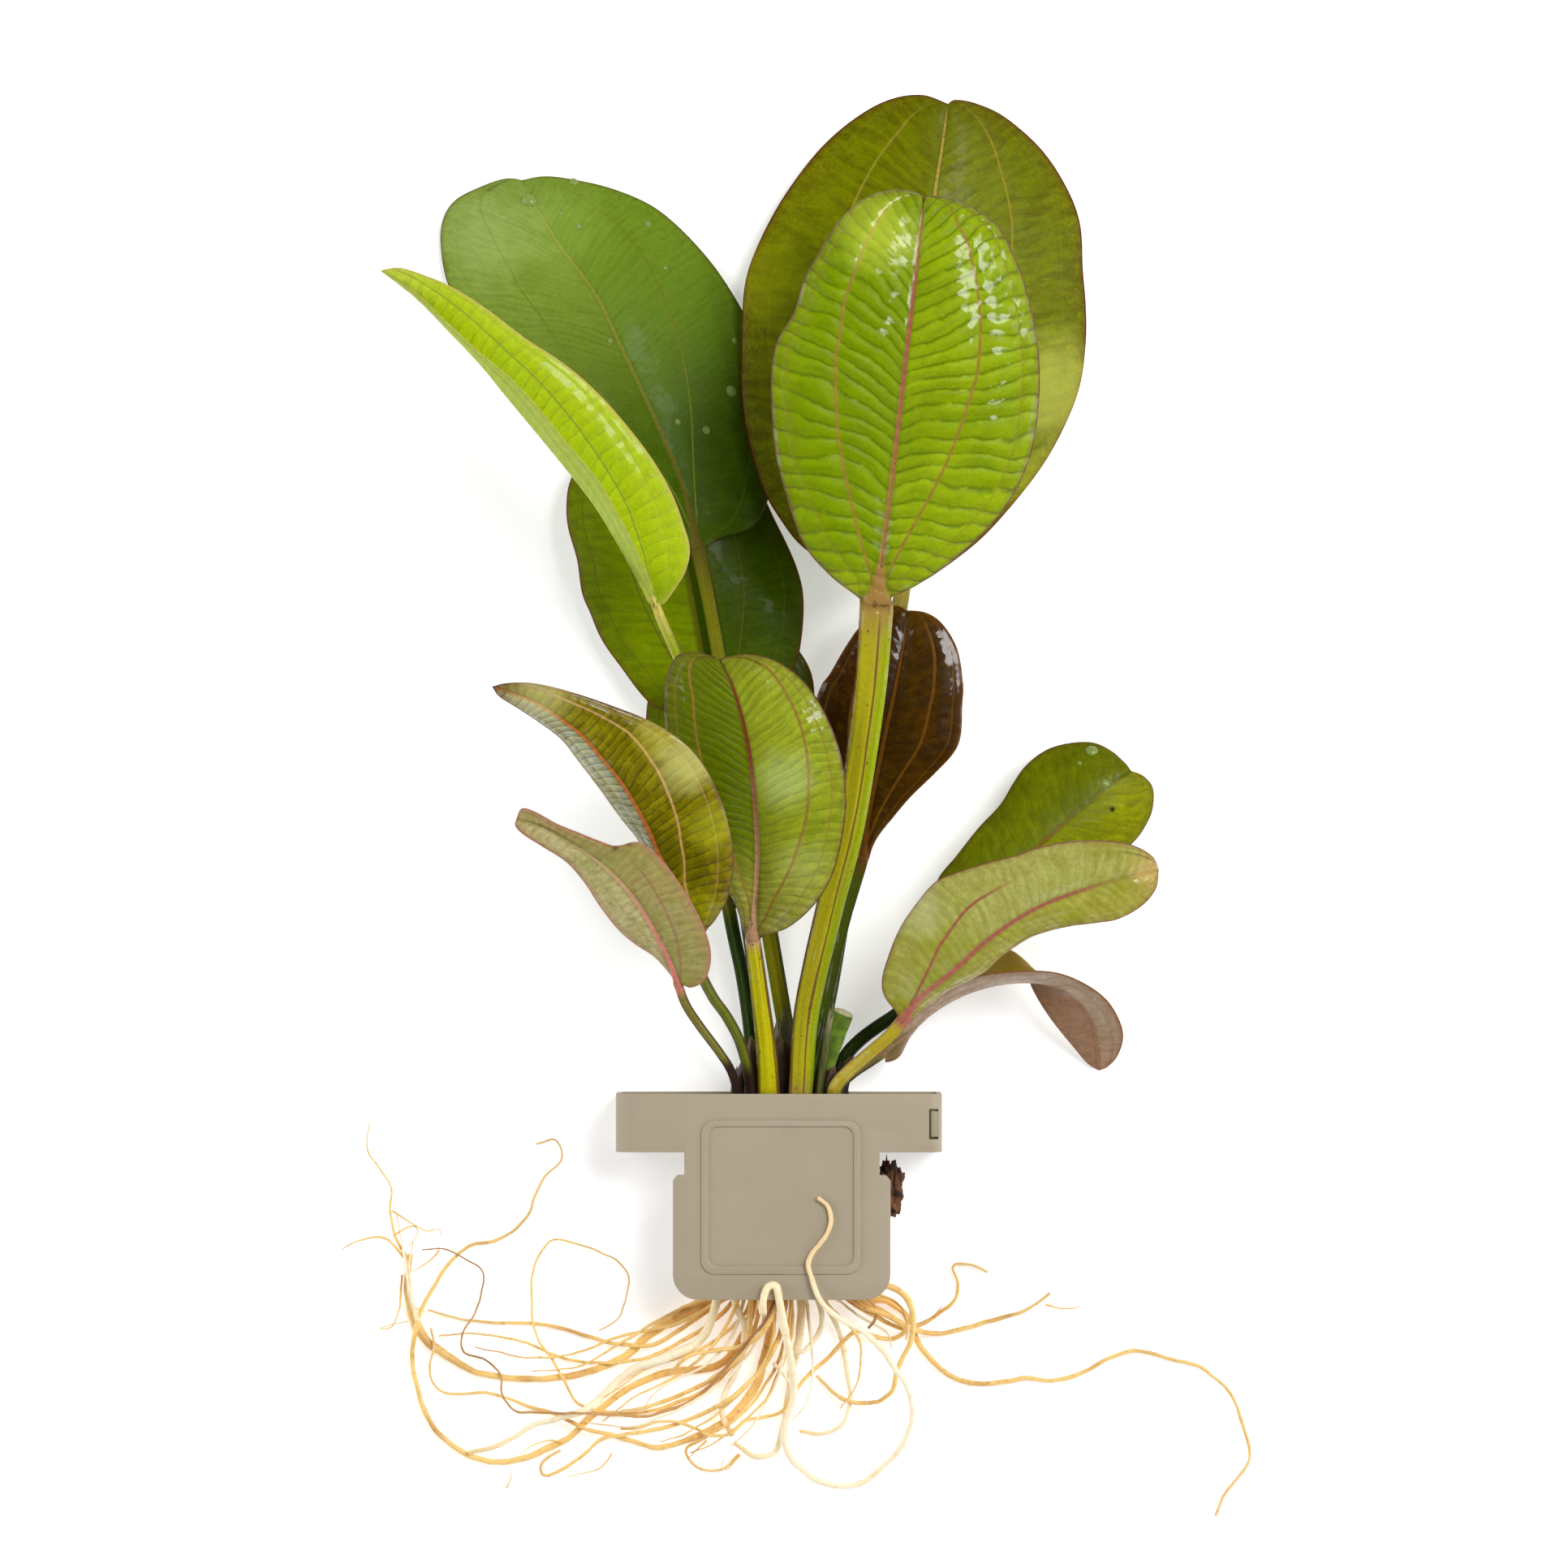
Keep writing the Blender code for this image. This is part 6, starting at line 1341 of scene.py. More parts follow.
skin = mixed(tree, ramp(tree, share, 0.02, 0.3), given["Foot"], given["Body"])
skin = mixed(tree, ramp(tree, share, 0.75, 1.0), skin, given["Tip"])
stain = sums(tree, "MULTIPLY", ramp(tree, patch, 0.45, 0.7), given["Stains"])
skin = mixed(tree, stain, skin, given["Stain"])
spots = sums(tree, "MULTIPLY", ramp(tree, fleck, 0.58, 0.72), 0.4)
skin = mixed(tree, spots, skin, given["Stain"])
banding = sums(tree, "MULTIPLY", ramp(tree, bands, 0.55, 0.7), 0.25)
skin = mixed(tree, banding, skin, given["Stain"])
height = sums(tree, "MULTIPLY_ADD", bands, 0.6, fleck)
put(tree, "NodeGroupOutput", {"Color": skin, "Height": height})


def root_finish(name, body, foot, tip, stain, stains):
    made, tree, shader = new_finish(name)
    skin = put(tree, "ShaderNodeGroup", {}, node_tree=root_colour)
    for label, value in (("Body", body), ("Foot", foot), ("Tip", tip), ("Stain", stain)):
        skin.inputs[label].default_value = paint(*value)
    skin.inputs["Stains"].default_value = stains
    tree.links.new(skin.outputs["Color"], shader.inputs["Base Color"])
    bumped(tree, shader, skin.outputs["Height"], 0.5, 0.0002)
    shader.inputs["Roughness"].default_value = 0.42
    shader.inputs["Subsurface Weight"].default_value = 0.15
    shader.inputs["Subsurface Radius"].default_value = (0.0012, 0.0008, 0.0004)
    return made


root_finishes = {
    "golden_root": root_finish("golden_root_skin", (246, 208, 128), (234, 182, 94),
                               (236, 200, 138), (182, 118, 44), 0.55),
    "pale_root": root_finish("pale_root_skin", (255, 242, 210), (250, 230, 184),
                             (238, 208, 152), (228, 190, 130), 0.3),
    "dark_root": root_finish("dark_root_skin", (200, 152, 92), (150, 100, 52),
                             (178, 134, 84), (112, 70, 34), 0.5),
}

# The skin of a root follows its path: evenly stepped, slightly wandering, uneven in girth.
root_skin = bpy.data.node_groups.new("root_skin", "GeometryNodeTree")
face = root_skin.interface
face.new_socket("Path", in_out="INPUT", socket_type="NodeSocketGeometry")
ROOT_INPUTS = {"Step": 0.00045, "Wander": 0.0003, "Wander Wave": 0.007, "Lumps": 0.16,
               "Lump Wave": 0.0025, "Seed": 0.0}
for label, value in ROOT_INPUTS.items():
    socket = face.new_socket(label, in_out="INPUT", socket_type="NodeSocketFloat")
    socket.default_value = value
face.new_socket("Sides", in_out="INPUT", socket_type="NodeSocketInt").default_value = 10
face.new_socket("Finish", in_out="INPUT", socket_type="NodeSocketMaterial")
face.new_socket("Root", in_out="OUTPUT", socket_type="NodeSocketGeometry")
tree = root_skin
given = tree.nodes.new("NodeGroupInput").outputs
stepped = put(tree, "GeometryNodeResampleCurve", {"Curve": given["Path"], "Length": given["Step"]},
              mode="LENGTH").outputs[0]
run = tree.nodes.new("GeometryNodeSplineParameter").outputs
for label, value in (("root_share", run["Factor"]), ("root_length", run["Length"])):
    stepped = put(tree, "GeometryNodeStoreNamedAttribute",
                  {"Geometry": stepped, "Name": label, "Value": value}).outputs[0]
here = tree.nodes.new("GeometryNodeInputPosition").outputs[0]
finer = sums(tree, "DIVIDE", 1.0, given["Wander Wave"])
swing = put(tree, "ShaderNodeTexNoise", {"Vector": here, "W": given["Seed"], "Scale": finer},
            noise_dimensions="4D").outputs["Color"]
swing = put(tree, "ShaderNodeVectorMath", {0: swing, 1: (0.5, 0.5, 0.5)}, operation="SUBTRACT")
swing = put(tree, "ShaderNodeVectorMath", {0: swing.outputs[0], 1: (4.0, 4.0, 0.6)},
            operation="MULTIPLY")
swing = put(tree, "ShaderNodeVectorMath", {0: swing.outputs[0], "Scale": given["Wander"]},
            operation="SCALE")
stepped = put(tree, "GeometryNodeSetPosition", {"Geometry": stepped,
                                                "Offset": swing.outputs[0]}).outputs[0]
finer = sums(tree, "DIVIDE", 1.0, given["Lump Wave"])
uneven = put(tree, "ShaderNodeTexNoise", {"Vector": here, "W": given["Seed"], "Scale": finer},
             noise_dimensions="4D").outputs[0]
uneven = sums(tree, "MULTIPLY", sums(tree, "SUBTRACT", uneven, 0.5), given["Lumps"])
girth = sums(tree, "MULTIPLY_ADD", uneven, 4.0, 1.0)
girth = sums(tree, "MULTIPLY", girth, tree.nodes.new("GeometryNodeInputRadius").outputs[0])
ring = put(tree, "GeometryNodeCurvePrimitiveCircle", {"Resolution": given["Sides"],
                                                      "Radius": 1.0}).outputs[0]
skin = put(tree, "GeometryNodeCurveToMesh", {"Curve": stepped, "Profile Curve": ring,
                                             "Scale": girth, "Fill Caps": True}).outputs[0]
skin = put(tree, "GeometryNodeSetShadeSmooth", {"Geometry": skin}).outputs[0]
skin = put(tree, "GeometryNodeRealizeInstances", {"Geometry": skin}).outputs[0]
skin = put(tree, "GeometryNodeSetMaterial", {"Geometry": skin,
                                             "Material": given["Finish"]}).outputs[0]
put(tree, "NodeGroupOutput", {"Root": skin})


def grown(name, paths, finish, seed, **sizes):
    """Roots along paths of (places, radii) in millimetres, baked into one mesh object."""
    curve = bpy.data.curves.new(name, "CURVE")
    curve.dimensions = "3D"
    for places, radii in paths:
        line = curve.splines.new("POLY")
        line.points.add(len(places) - 1)
        for point, place, radius in zip(line.points, places, radii):
            point.co = (*(Vector(place) * MM), 1)
            point.radius = radius * MM
    holder = placed(name, curve)
    skin = holder.modifiers.new("skin", "NODES")
    skin.node_group = root_skin
    wanted = {**ROOT_INPUTS, "Finish": finish, "Seed": float(seed)}
    wanted.update({key.replace("_", " "): value for key, value in sizes.items()})
    for item in root_skin.interface.items_tree:
        if item.in_out == "INPUT" and item.name in wanted:
            skin[item.identifier] = wanted[item.name]
    mesh = baked(holder)
    bpy.data.objects.remove(holder)
    mesh.name = name
    return placed(name, mesh)


# Roots are laid in turn: each lies on the table or over those already there.
laid = []
GAP = 0.34      # from skin to skin, in millimetres
MANY_TRIES, FEW_TRIES = 60, 2
FINER = 6       # the final path's places for each one that was laid


def settle(places, radii, tries):
    """Lifts a root's places until it clears the roots already laid and its own turns."""
    count = len(places)
    share = np.linspace(0, 1, 9)
    for _ in range(tries):
        lifted = False
        for i in range(count - 1):
            a, b = places[i], places[i + 1]
            rods = laid + [
                (places[j], places[j + 1], radii[j], radii[j + 1]) for j in range(0, i - 3)
            ]
            for c, d, thick, thin in rods:
                reach = radii[i] + thick + GAP
                if min(c[0], d[0]) - reach > max(a[0], b[0]):
                    continue
                if max(c[0], d[0]) + reach < min(a[0], b[0]):
                    continue
                if min(c[1], d[1]) - reach > max(a[1], b[1]):
                    continue
                if max(c[1], d[1]) + reach < min(a[1], b[1]):
                    continue
                mine = a + (b - a) * share[:, None]
                theirs = c + (d - c) * share[:, None]
                flat = np.linalg.norm(mine[:, None, :2] - theirs[None, :, :2], axis=2)
                limit = (
                    (radii[i] + (radii[i + 1] - radii[i]) * share)[:, None]
                    + (thick + (thin - thick) * share)[None, :]
                    + GAP
                )
                need = theirs[None, :, 2] + np.sqrt(np.maximum(limit**2 - flat**2, 0))
                short = np.where(flat < limit, need - mine[:, None, 2], 0).max()
                if short > 1e-4:
                    places[i, 2] += short + 0.01
                    places[i + 1, 2] += short + 0.01
                    a, b = places[i], places[i + 1]
                    lifted = True
        if not lifted:
            break
    for i in range(count - 1):
        laid.append((places[i], places[i + 1], radii[i], radii[i + 1]))


def lay_root(route, girth, apart, most=None):
    """Places and radii of a root along route; girth is its radius at even shares of it.

    most is how far, in millimetres, a rootlet that is squeezed in may be lifted.
    """
    line = [spot(*p) for p in route]
    length = sum((b - a).length for a, b in zip(line, line[1:]))
    count = max(7, round(length / apart))
    places = smooth(line, count)
    radii = np.interp(np.linspace(0, 1, count), np.linspace(0, 1, len(girth)), girth)
    places[:, 2] = np.maximum(places[:, 2], radii + 0.02)
    before = places[:, 2].copy()
    settle(places, radii, MANY_TRIES if most is None else FEW_TRIES)
    if most is not None:
        places[:, 2] = np.minimum(places[:, 2], before + most)
    fine = count * FINER
    places = smooth(places, fine)
    radii = np.interp(np.linspace(0, 1, fine), np.linspace(0, 1, len(girth)), girth)
    places[:, 2] = np.maximum(places[:, 2], radii * 0.95)
    return places, radii


def root(node, route, girth, kind="golden_root", apart=4.0):
    """One main root, which stands for the solid of the same form."""
    path = lay_root(route, girth, apart)
    seed = len(laid) * 0.37
    piece = grown(node[5:] + "_root", [path], root_finishes[kind], seed)
    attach(piece, "root")
    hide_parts(node)


root("root_right_long",
     [(1048, 1582, 4), (1062, 1597, 3), (1085, 1600, 2), (1108, 1610), (1120, 1630), (1128, 1655),
      (1140, 1668), (1159, 1686), (1180, 1700), (1208, 1705), (1232, 1702), (1260, 1698),
      (1296, 1700), (1327, 1693), (1355, 1681), (1376, 1668), (1394, 1664), (1418, 1668),
      (1443, 1675), (1471, 1681), (1495, 1696), (1516, 1717), (1529, 1746), (1538, 1781),
      (1539, 1802), (1527, 1819), (1513, 1831), (1506, 1851), (1497, 1868)],
     (0.7, 0.5, 0.4, 0.32, 0.3))
root("root_left_thick",
     [(912, 1582, 4), (877, 1606, 3), (836, 1621, 2), (801, 1644), (772, 1669), (740, 1685),
      (703, 1697), (664, 1699), (617, 1697), (581, 1688), (546, 1666), (521, 1645), (510, 1622),
      (503, 1595), (501, 1570), (506, 1545)],
     (1.15, 1.0, 0.7, 0.62, 0.62, 0.95, 0.5))
root("root_left_fine_up",
     [(504, 1550), (497, 1532), (485, 1518), (480, 1481), (482, 1456), (478, 1445), (458, 1431),
      (452, 1406), (456, 1384)],
     (0.3, 0.2, 0.12))
root("root_left_fine_out",
     [(503, 1552), (492, 1541), (482, 1530), (467, 1524), (442, 1529), (421, 1540)],
     (0.3, 0.22, 0.12))
root("root_left_hook",
     [(932, 1582, 4), (925, 1625, 3), (905, 1665, 2), (880, 1683), (854, 1687), (824, 1691),
      (792, 1701), (765, 1717), (745, 1733), (727, 1747), (715, 1760), (699, 1773), (667, 1788),
      (640, 1798), (610, 1802), (589, 1797), (560, 1784), (535, 1759), (517, 1720), (508, 1675),
      (511, 1641), (517, 1616), (542, 1574), (564, 1547), (581, 1533), (606, 1529), (628, 1520),
      (649, 1502), (660, 1477), (667, 1454), (687, 1436), (694, 1418), (683, 1404), (665, 1404),
      (660, 1409)],
     (0.75, 0.7, 0.62, 0.46, 0.32, 0.18))
root("root_left_upper",
     [(905, 1582, 7), (882, 1607, 5), (850, 1631, 3), (815, 1653, 2), (783, 1658), (738, 1652),
      (711, 1644), (685, 1635), (640, 1631), (592, 1629), (560, 1622), (526, 1615)],
     (0.5, 0.42, 0.35, 0.22))
root("root_left_second",
     [(918, 1582, 7), (890, 1618, 5), (850, 1648, 3), (800, 1672, 2), (747, 1679), (702, 1676),
      (676, 1667), (658, 1658), (617, 1647), (581, 1643), (541, 1646)],
     (0.45, 0.36, 0.26, 0.16))
root("root_left_loop",
     [(940, 1582, 7), (925, 1650, 4), (885, 1700, 2), (830, 1730), (780, 1741), (745, 1739),
      (720, 1735), (711, 1729), (699, 1708), (688, 1686), (670, 1661), (658, 1640), (656, 1591),
      (658, 1563), (671, 1534), (681, 1528), (703, 1531), (735, 1541), (764, 1556), (774, 1570),
      (771, 1602), (761, 1626), (738, 1640)],
     (0.45, 0.38, 0.28, 0.2, 0.14))
root("root_pinkish",
     [(950, 1582, 4), (950, 1640, 3), (943, 1671, 2), (936, 1695, 2), (926, 1716), (908, 1738),
      (886, 1756), (850, 1773), (819, 1783), (801, 1781), (774, 1774), (747, 1767), (720, 1760),
      (694, 1747), (667, 1736), (640, 1729), (603, 1717), (567, 1718), (542, 1713), (531, 1699),
      (531, 1670), (539, 1649), (531, 1636)],
     (0.85, 0.95, 0.7, 0.45, 0.34, 0.26, 0.22))
root("root_left_pale",
     [(887, 1582, 7), (882, 1608, 6), (871, 1640, 4), (850, 1661, 3), (819, 1671, 2), (792, 1683),
      (765, 1697), (747, 1715), (727, 1731), (702, 1745), (680, 1750), (658, 1757), (640, 1768),
      (617, 1780), (578, 1790)],
     (0.8, 0.9, 0.8, 0.5, 0.4), "pale_root")
root("root_pale_front",
     [(903, 1582, 10), (907, 1606, 9), (917, 1634, 7), (915, 1668, 5), (900, 1703, 3),
      (889, 1733, 2), (893, 1757), (902, 1768)],
     (0.6, 0.7, 0.6, 0.5), "pale_root")
root("root_left_middle",
     [(925, 1582, 10), (922, 1650, 7), (895, 1688, 4), (854, 1711, 2), (819, 1726), (792, 1733),
      (765, 1738)],
     (0.5, 0.5, 0.4, 0.35))
root("root_golden_short",
     [(960, 1582, 4), (948, 1630, 3), (920, 1652, 3), (890, 1662, 2), (854, 1667, 2), (836, 1677),
      (824, 1693)],
     (0.6, 0.5, 0.4, 0.35))
root("root_dark_crossing",
     [(957, 1582, 10), (953, 1609, 9), (942, 1628, 8), (923, 1651, 7), (898, 1681, 5),
      (875, 1708, 3), (850, 1727, 2), (810, 1742), (783, 1744), (747, 1740), (711, 1738),
      (670, 1741), (640, 1738), (620, 1730), (621, 1704), (610, 1684), (589, 1672), (567, 1663),
      (564, 1650), (578, 1634), (589, 1609), (595, 1577), (589, 1559), (567, 1550), (549, 1540),
      (531, 1540), (520, 1540)],
     (0.36, 0.32, 0.26, 0.2, 0.14), "dark_root")
root("root_low_hook",
     [(968, 1582, 4), (962, 1640, 3), (935, 1690, 2), (890, 1728), (840, 1752), (790, 1764),
      (750, 1771), (726, 1781), (717, 1795), (699, 1808), (676, 1817), (665, 1820), (662, 1813),
      (676, 1797), (692, 1787)],
     (0.5, 0.45, 0.4, 0.36, 0.3))
root("root_low_thin",
     [(975, 1582, 7), (965, 1660, 4), (930, 1725, 2), (880, 1765), (845, 1788), (863, 1811),
      (886, 1812), (899, 1804), (911, 1792)],
     (0.35, 0.32, 0.28, 0.26))
root("root_cream_low",
     [(985, 1582, 4), (986, 1640, 3), (977, 1690, 2), (970, 1733), (964, 1762), (956, 1787),
      (944, 1798), (930, 1794), (915, 1784), (904, 1776)],
     (0.8, 0.75, 0.7, 0.55, 0.45), "pale_root")
root("root_cream_bow",
     [(1008, 1582, 4), (1020, 1610, 3), (1034, 1641, 2), (1041, 1666), (1045, 1695), (1047, 1723),
      (1041, 1748), (1032, 1762), (1013, 1766), (984, 1762)],
     (0.55, 0.5, 0.45, 0.35), "pale_root")
root("root_middle_curl",
     [(998, 1582, 4), (1008, 1604, 3), (1013, 1620, 3), (1011, 1637, 2), (999, 1657, 2),
      (984, 1664, 2), (970, 1660, 2)],
     (0.55, 0.5, 0.4), "pale_root")
root("root_right_up",
     [(1020, 1582, 4), (1045, 1600, 3), (1078, 1621, 2), (1110, 1636), (1131, 1632), (1146, 1624),
      (1166, 1612), (1176, 1604), (1181, 1589), (1181, 1576), (1175, 1561), (1179, 1555),
      (1193, 1558), (1216, 1567)],
     (0.55, 0.5, 0.42, 0.3, 0.26), apart=3.2)
root("root_right_out",
     [(1033, 1582, 7), (1058, 1602, 5), (1085, 1614, 4), (1110, 1630, 3), (1130, 1639, 2),
      (1160, 1642), (1184, 1637), (1209, 1631), (1242, 1621), (1267, 1611), (1284, 1604),
      (1294, 1593)],
     (0.6, 0.55, 0.45, 0.3))
root("root_dark_short",
     [(1042, 1582, 10), (1060, 1596, 9), (1074, 1606, 8), (1082, 1620, 7), (1078, 1629, 6),
      (1069, 1637, 5)],
     (0.34, 0.32, 0.28), "dark_root", 2.5)
root("root_golden_long",
     [(1022, 1582, 10), (1055, 1604, 8), (1088, 1618, 6), (1112, 1630, 4), (1117, 1641, 3),
      (1105, 1648, 3), (1089, 1650, 3), (1070, 1645, 3), (1055, 1642, 3), (1041, 1651, 2),
      (1022, 1670, 2), (1003, 1687, 2), (988, 1702, 2), (978, 1716), (965, 1737), (946, 1747),
      (927, 1745), (898, 1766), (888, 1771), (869, 1764), (850, 1756), (836, 1752), (810, 1752),
      (792, 1758), (765, 1760)],
     (0.5, 0.45, 0.4, 0.3, 0.26), apart=3.4)
root("root_right_bow",
     [(1050, 1582, 12), (1075, 1584, 12), (1098, 1587, 11.5), (1115, 1597, 11), (1124, 1614, 10),
      (1125, 1634, 8.5), (1121, 1653, 7), (1112, 1672, 5.4), (1104, 1691, 4), (1100, 1710, 3),
      (1087, 1723, 2), (1070, 1729), (1051, 1727), (1032, 1720), (1018, 1706), (1007, 1695)],
     (0.6, 0.58, 0.5, 0.42, 0.36), apart=3.2)
root("root_over_clip",
     [(940, 1582, 13.5), (938, 1598, 13), (938, 1611, 14.4), (939, 1615, 17.6), (940, 1608, 20.6),
      (943, 1592, 20.6), (951, 1580, 20.4), (957, 1588, 20.4), (960, 1605, 20), (966, 1637, 17),
      (974, 1671, 13), (979, 1700, 9.5), (977, 1725, 7), (969, 1752, 5), (966, 1771, 3.8),
      (972, 1792, 2.8), (984, 1807, 2.2), (1003, 1822, 1.4), (1032, 1831), (1060, 1827),
      (1089, 1806, 1.6), (1112, 1779, 3.4), (1124, 1743, 6.4), (1118, 1710, 9.8),
      (1103, 1686, 12.8), (1086, 1662, 15.6), (1066, 1643, 18), (1041, 1630, 20),
      (1022, 1614, 20.8), (1009, 1597, 20.6), (1001, 1580, 20.3), (995, 1561, 20.2),
      (1000, 1544, 20.1), (1020, 1518, 19.9), (1023, 1492, 19.7), (1007, 1476, 19.7)],
     (0.75, 0.75, 0.7, 0.6, 0.55, 0.55, 0.55, 0.5, 0.42), "pale_root", 2.4)

# Finer rootlets: thin side roots and loose strands that fill the bundle, pale or golden.
# Each set is one piece and lies on the table and over the main roots.
def rootlets(name, kind, routes, thick, fine, most):
    """Many thin roots in one piece, each laid over those before it."""
    paths = [lay_root(route, (thick, fine), 4.0, most) for route in routes]
    piece = grown(name, paths, root_finishes[kind], len(laid) * 0.37, Sides=7)
    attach(piece, "root")


rootlets("bundle_rootlets", "golden_root", [
    [(930, 1584, 6), (915, 1622, 4), (880, 1652, 3), (835, 1672, 2), (790, 1690), (760, 1712),
     (735, 1725)],
    [(955, 1584, 5), (952, 1652, 3), (925, 1702, 2), (885, 1740), (840, 1768), (812, 1776)],
    [(900, 1584, 5), (868, 1614, 3), (822, 1634, 2), (770, 1645), (700, 1668), (640, 1672),
     (585, 1660)],
    [(915, 1584, 8), (896, 1632, 6), (868, 1668, 4), (828, 1698, 2), (780, 1722), (742, 1750)],
    [(885, 1584, 6), (858, 1604, 4), (812, 1626, 3), (756, 1660), (715, 1681), (655, 1690)],
    [(975, 1584, 5), (975, 1640, 3), (960, 1690, 2), (945, 1722, 2), (915, 1752), (880, 1778),
     (850, 1790)],
    [(1000, 1584, 8), (1024, 1612, 5), (1052, 1640, 3), (1062, 1672, 2), (1056, 1704),
     (1035, 1735)],
    [(1040, 1584, 8), (1062, 1590, 7), (1090, 1597, 6), (1111, 1612, 5), (1119, 1632, 3),
     (1116, 1650, 2)],
], 0.42, 0.12, 2.5)
rootlets("bundle_pale_rootlets", "pale_root", [
    [(510, 1612, 1.4), (503, 1580, 1.4), (500, 1550, 1.3), (494, 1520, 1.1), (489, 1497)],
    [(514, 1626, 1.2), (508, 1592, 1.3), (505, 1560, 1.2), (509, 1530)],
    [(945, 1584, 6), (938, 1640, 4), (905, 1690, 3), (862, 1722, 2), (815, 1746), (770, 1757),
     (720, 1752)],
    [(965, 1584, 5), (968, 1650, 3), (955, 1705, 2), (930, 1752), (900, 1782)],
    [(990, 1584, 6), (998, 1640, 3), (1000, 1690, 2), (992, 1732), (975, 1750)],
    [(922, 1584, 6), (905, 1640, 4), (872, 1680, 3), (836, 1697), (810, 1711), (797, 1722),
     (792, 1736)],
    [(1010, 1584, 6), (1030, 1600, 4), (1060, 1622, 2), (1092, 1640), (1098, 1660)],
    [(953, 1679, 2), (972, 1702), (976, 1714)],
], 0.4, 0.12, 2.5)
rootlets("loose_rootlets", "golden_root", [
    [(495, 1571), (493, 1604), (486, 1627), (475, 1640), (466, 1636), (470, 1629), (482, 1630),
     (504, 1627)],
    [(484, 1522), (504, 1511), (515, 1513), (513, 1522), (504, 1535)],
    [(482, 1491), (495, 1499), (513, 1511), (531, 1517), (542, 1514), (545, 1526)],
    [(542, 1540), (533, 1551), (515, 1564), (506, 1569)],
    [(504, 1598), (515, 1611), (526, 1616)],
    [(1151, 1621), (1156, 1614), (1161, 1607)],
    [(1289, 1607), (1310, 1612), (1331, 1609)],
    [(692, 1776), (672, 1774), (651, 1785), (640, 1793)],
    [(754, 1790), (740, 1808), (711, 1817), (699, 1819)],
    [(872, 1774), (860, 1786), (849, 1797)],
    [(911, 1792), (895, 1810), (890, 1802), (894, 1797)],
    [(624, 1834), (629, 1824), (631, 1813)],
], 0.2, 0.08, 1.0)

# Drops of water left on the blades: low domes that cling to the leaf, partly clear, with a pale
# green painted in for the lit leaf seen through them. Each is given by its place across and
# down the view and its radius in millimetres before it spreads.
water, tree, shader = new_finish("water")
where = object_place(tree)
# Painted light: the drops' pale green colour stands in for the lit leaf seen through the water.
painted_leaf_glow = mixed(tree, clouds(tree, where, 2, 1), (0.44, 0.58, 0.12, 1), (0.56, 0.68, 0.22, 1))
tree.links.new(painted_leaf_glow, shader.inputs["Base Color"])
shader.inputs["Roughness"].default_value = 0.02
shader.inputs["Transmission Weight"].default_value = 0.6
shader.inputs["IOR"].default_value = 1.33
DROPS = {
    "back_left_leaf": [(652, 247, 0.95), (707, 224, 0.6), (712, 279, 0.5), (798, 276, 0.5),
                       (901, 482, 0.75), (752, 420, 0.4), (870, 530, 0.55), (835, 520, 0.4),
                       (690, 262, 0.35), (820, 330, 0.3), (905, 420, 0.4)],
    "right_green_leaf": [(1345, 925, 0.8), (1362, 965, 0.55), (1330, 940, 0.3)],
}
SPREAD, LONGER, NARROWER, DOME, SUNK = 1.35, 1.08, 0.95, 0.5, 0.06
for leaf_name, places in DROPS.items():
    drops = bmesh.new()
    leaf = bpy.data.objects[leaf_name]
    for across, down, radius in places:
        aim = (spot(across, down, 0) * MM - view.location).normalized()
        found, place, slope, _ = leaf.ray_cast(view.location, aim)
        if not found:
            continue
        turn = slope.to_track_quat("Z", "Y").to_matrix()
        made = bmesh.ops.create_icosphere(drops, subdivisions=4, radius=SPREAD * radius * MM)
        for corner in made["verts"]:
            x, y, z = corner.co
            z = z * DOME if z > 0 else z * SUNK
            corner.co = place + turn @ Vector((x * LONGER, y * NARROWER, z))
    mesh = bpy.data.meshes.new("drops_on_" + leaf_name)
    drops.to_mesh(mesh)
    drops.free()
    mesh.shade_smooth()
    piece = new_piece("drops_on_" + leaf_name, mesh, water)
    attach(piece, "root")

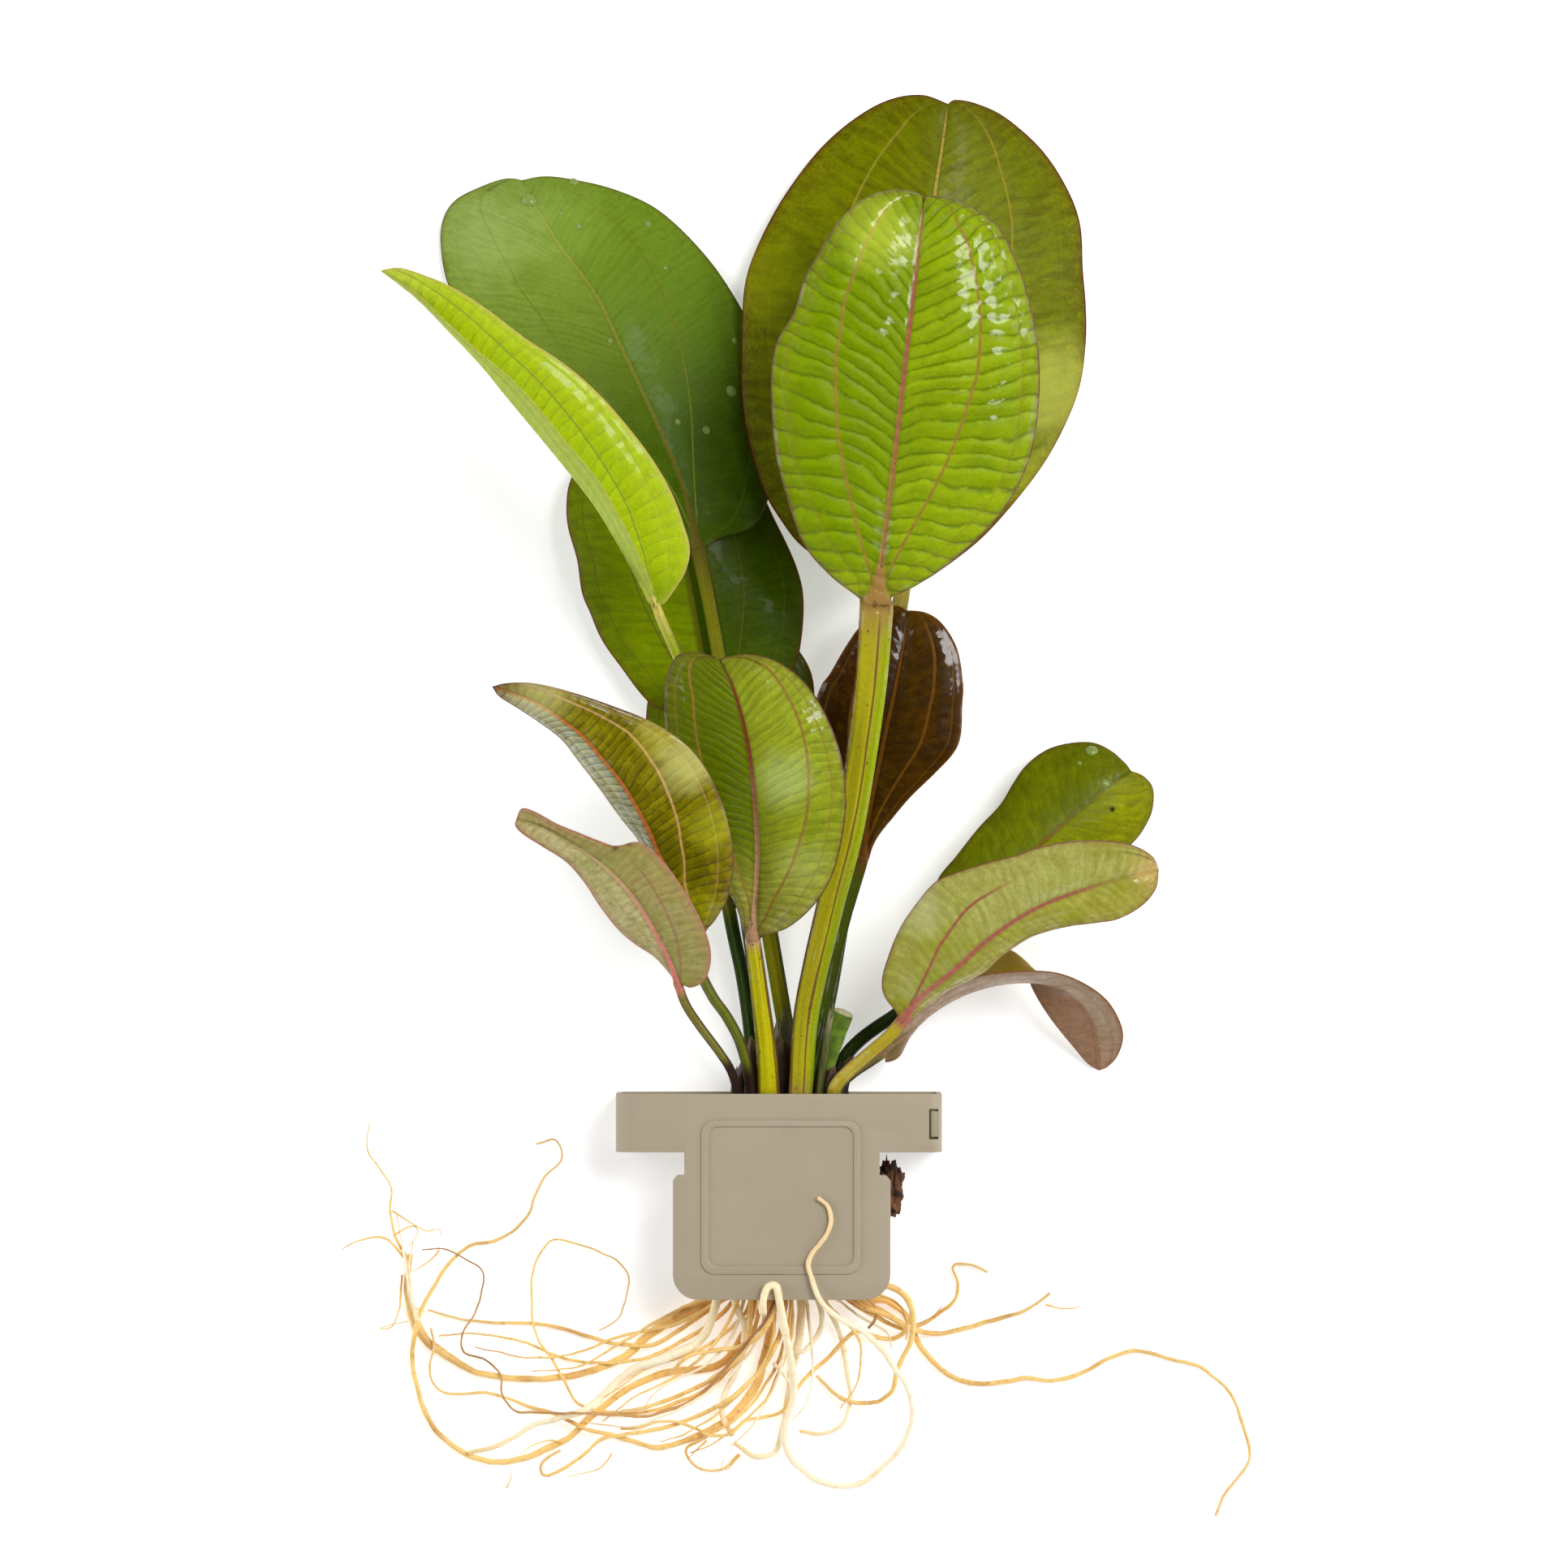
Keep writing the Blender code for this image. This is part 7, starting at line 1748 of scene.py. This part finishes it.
# The table and the light: a plain white table top and soft white light from all round. A
# small high soft box gives the leaves their gloss, and large ones at both sides and at the
# foot light the shadows.
slab = bpy.data.meshes.new("table_top")
REACH, SINK = 3.0, -0.0002
slab.from_pydata([(-REACH, -REACH, SINK), (REACH, -REACH, SINK), (REACH, REACH, SINK),
                  (-REACH, REACH, SINK)], [], [(0, 1, 2, 3)])
finish, tree, shader = new_finish("white_table")
where = object_place(tree)
skin = mixed(tree, clouds(tree, where, 60, 2), (0.93, 0.93, 0.93, 1), (0.95, 0.95, 0.95, 1))
tree.links.new(skin, shader.inputs["Base Color"])
shader.inputs["Roughness"].default_value = 0.9
shader.inputs["Specular IOR Level"].default_value = 0.1
shader.inputs["Emission Color"].default_value = (1, 1, 1, 1)
shader.inputs["Emission Strength"].default_value = 0.4
table = new_piece("table_top", slab, finish)

world = bpy.data.worlds.new("studio")
bpy.context.scene.world = world
world.use_nodes = True
tree = world.node_tree
dim = tree.nodes["Background"]
dim.inputs["Color"].default_value = (1, 1, 1, 1)
dim.inputs["Strength"].default_value = 0.1
backdrop = put(tree, "ShaderNodeBackground", {"Color": (1, 1, 1, 1), "Strength": 1.0})
seen_directly = tree.nodes.new("ShaderNodeLightPath").outputs["Is Camera Ray"]
both = put(tree, "ShaderNodeMixShader", {0: seen_directly, 1: dim.outputs[0],
                                         2: backdrop.outputs[0]})
tree.links.new(both.outputs[0], tree.nodes["World Output"].inputs["Surface"])


def soft_box(name, place, wide, tall, power):
    """A soft light that faces the plant, with its place and size in metres."""
    box = bpy.data.lights.new(name, "AREA")
    box.shape = "RECTANGLE"
    box.size, box.size_y = wide, tall
    box.energy = power
    lamp = placed(name, box)
    lamp.location = place
    lamp.rotation_euler = (Vector() - Vector(place)).to_track_quat("-Z", "Y").to_euler()


soft_box("soft_box_high", (0.75, 0.6, 1.75), 0.8, 0.8, 25)
soft_box("soft_box_right", (1.65, 0.05, 0.8), 1.4, 1.8, 18)
soft_box("soft_box_left", (-1.65, 0.2, 0.8), 1.4, 1.8, 22)
soft_box("soft_box_foot", (0, -1.75, 0.85), 1.8, 1.0, 8)
bpy.context.scene.view_settings.view_transform = "Standard"

bpy.context.view_layer.update()
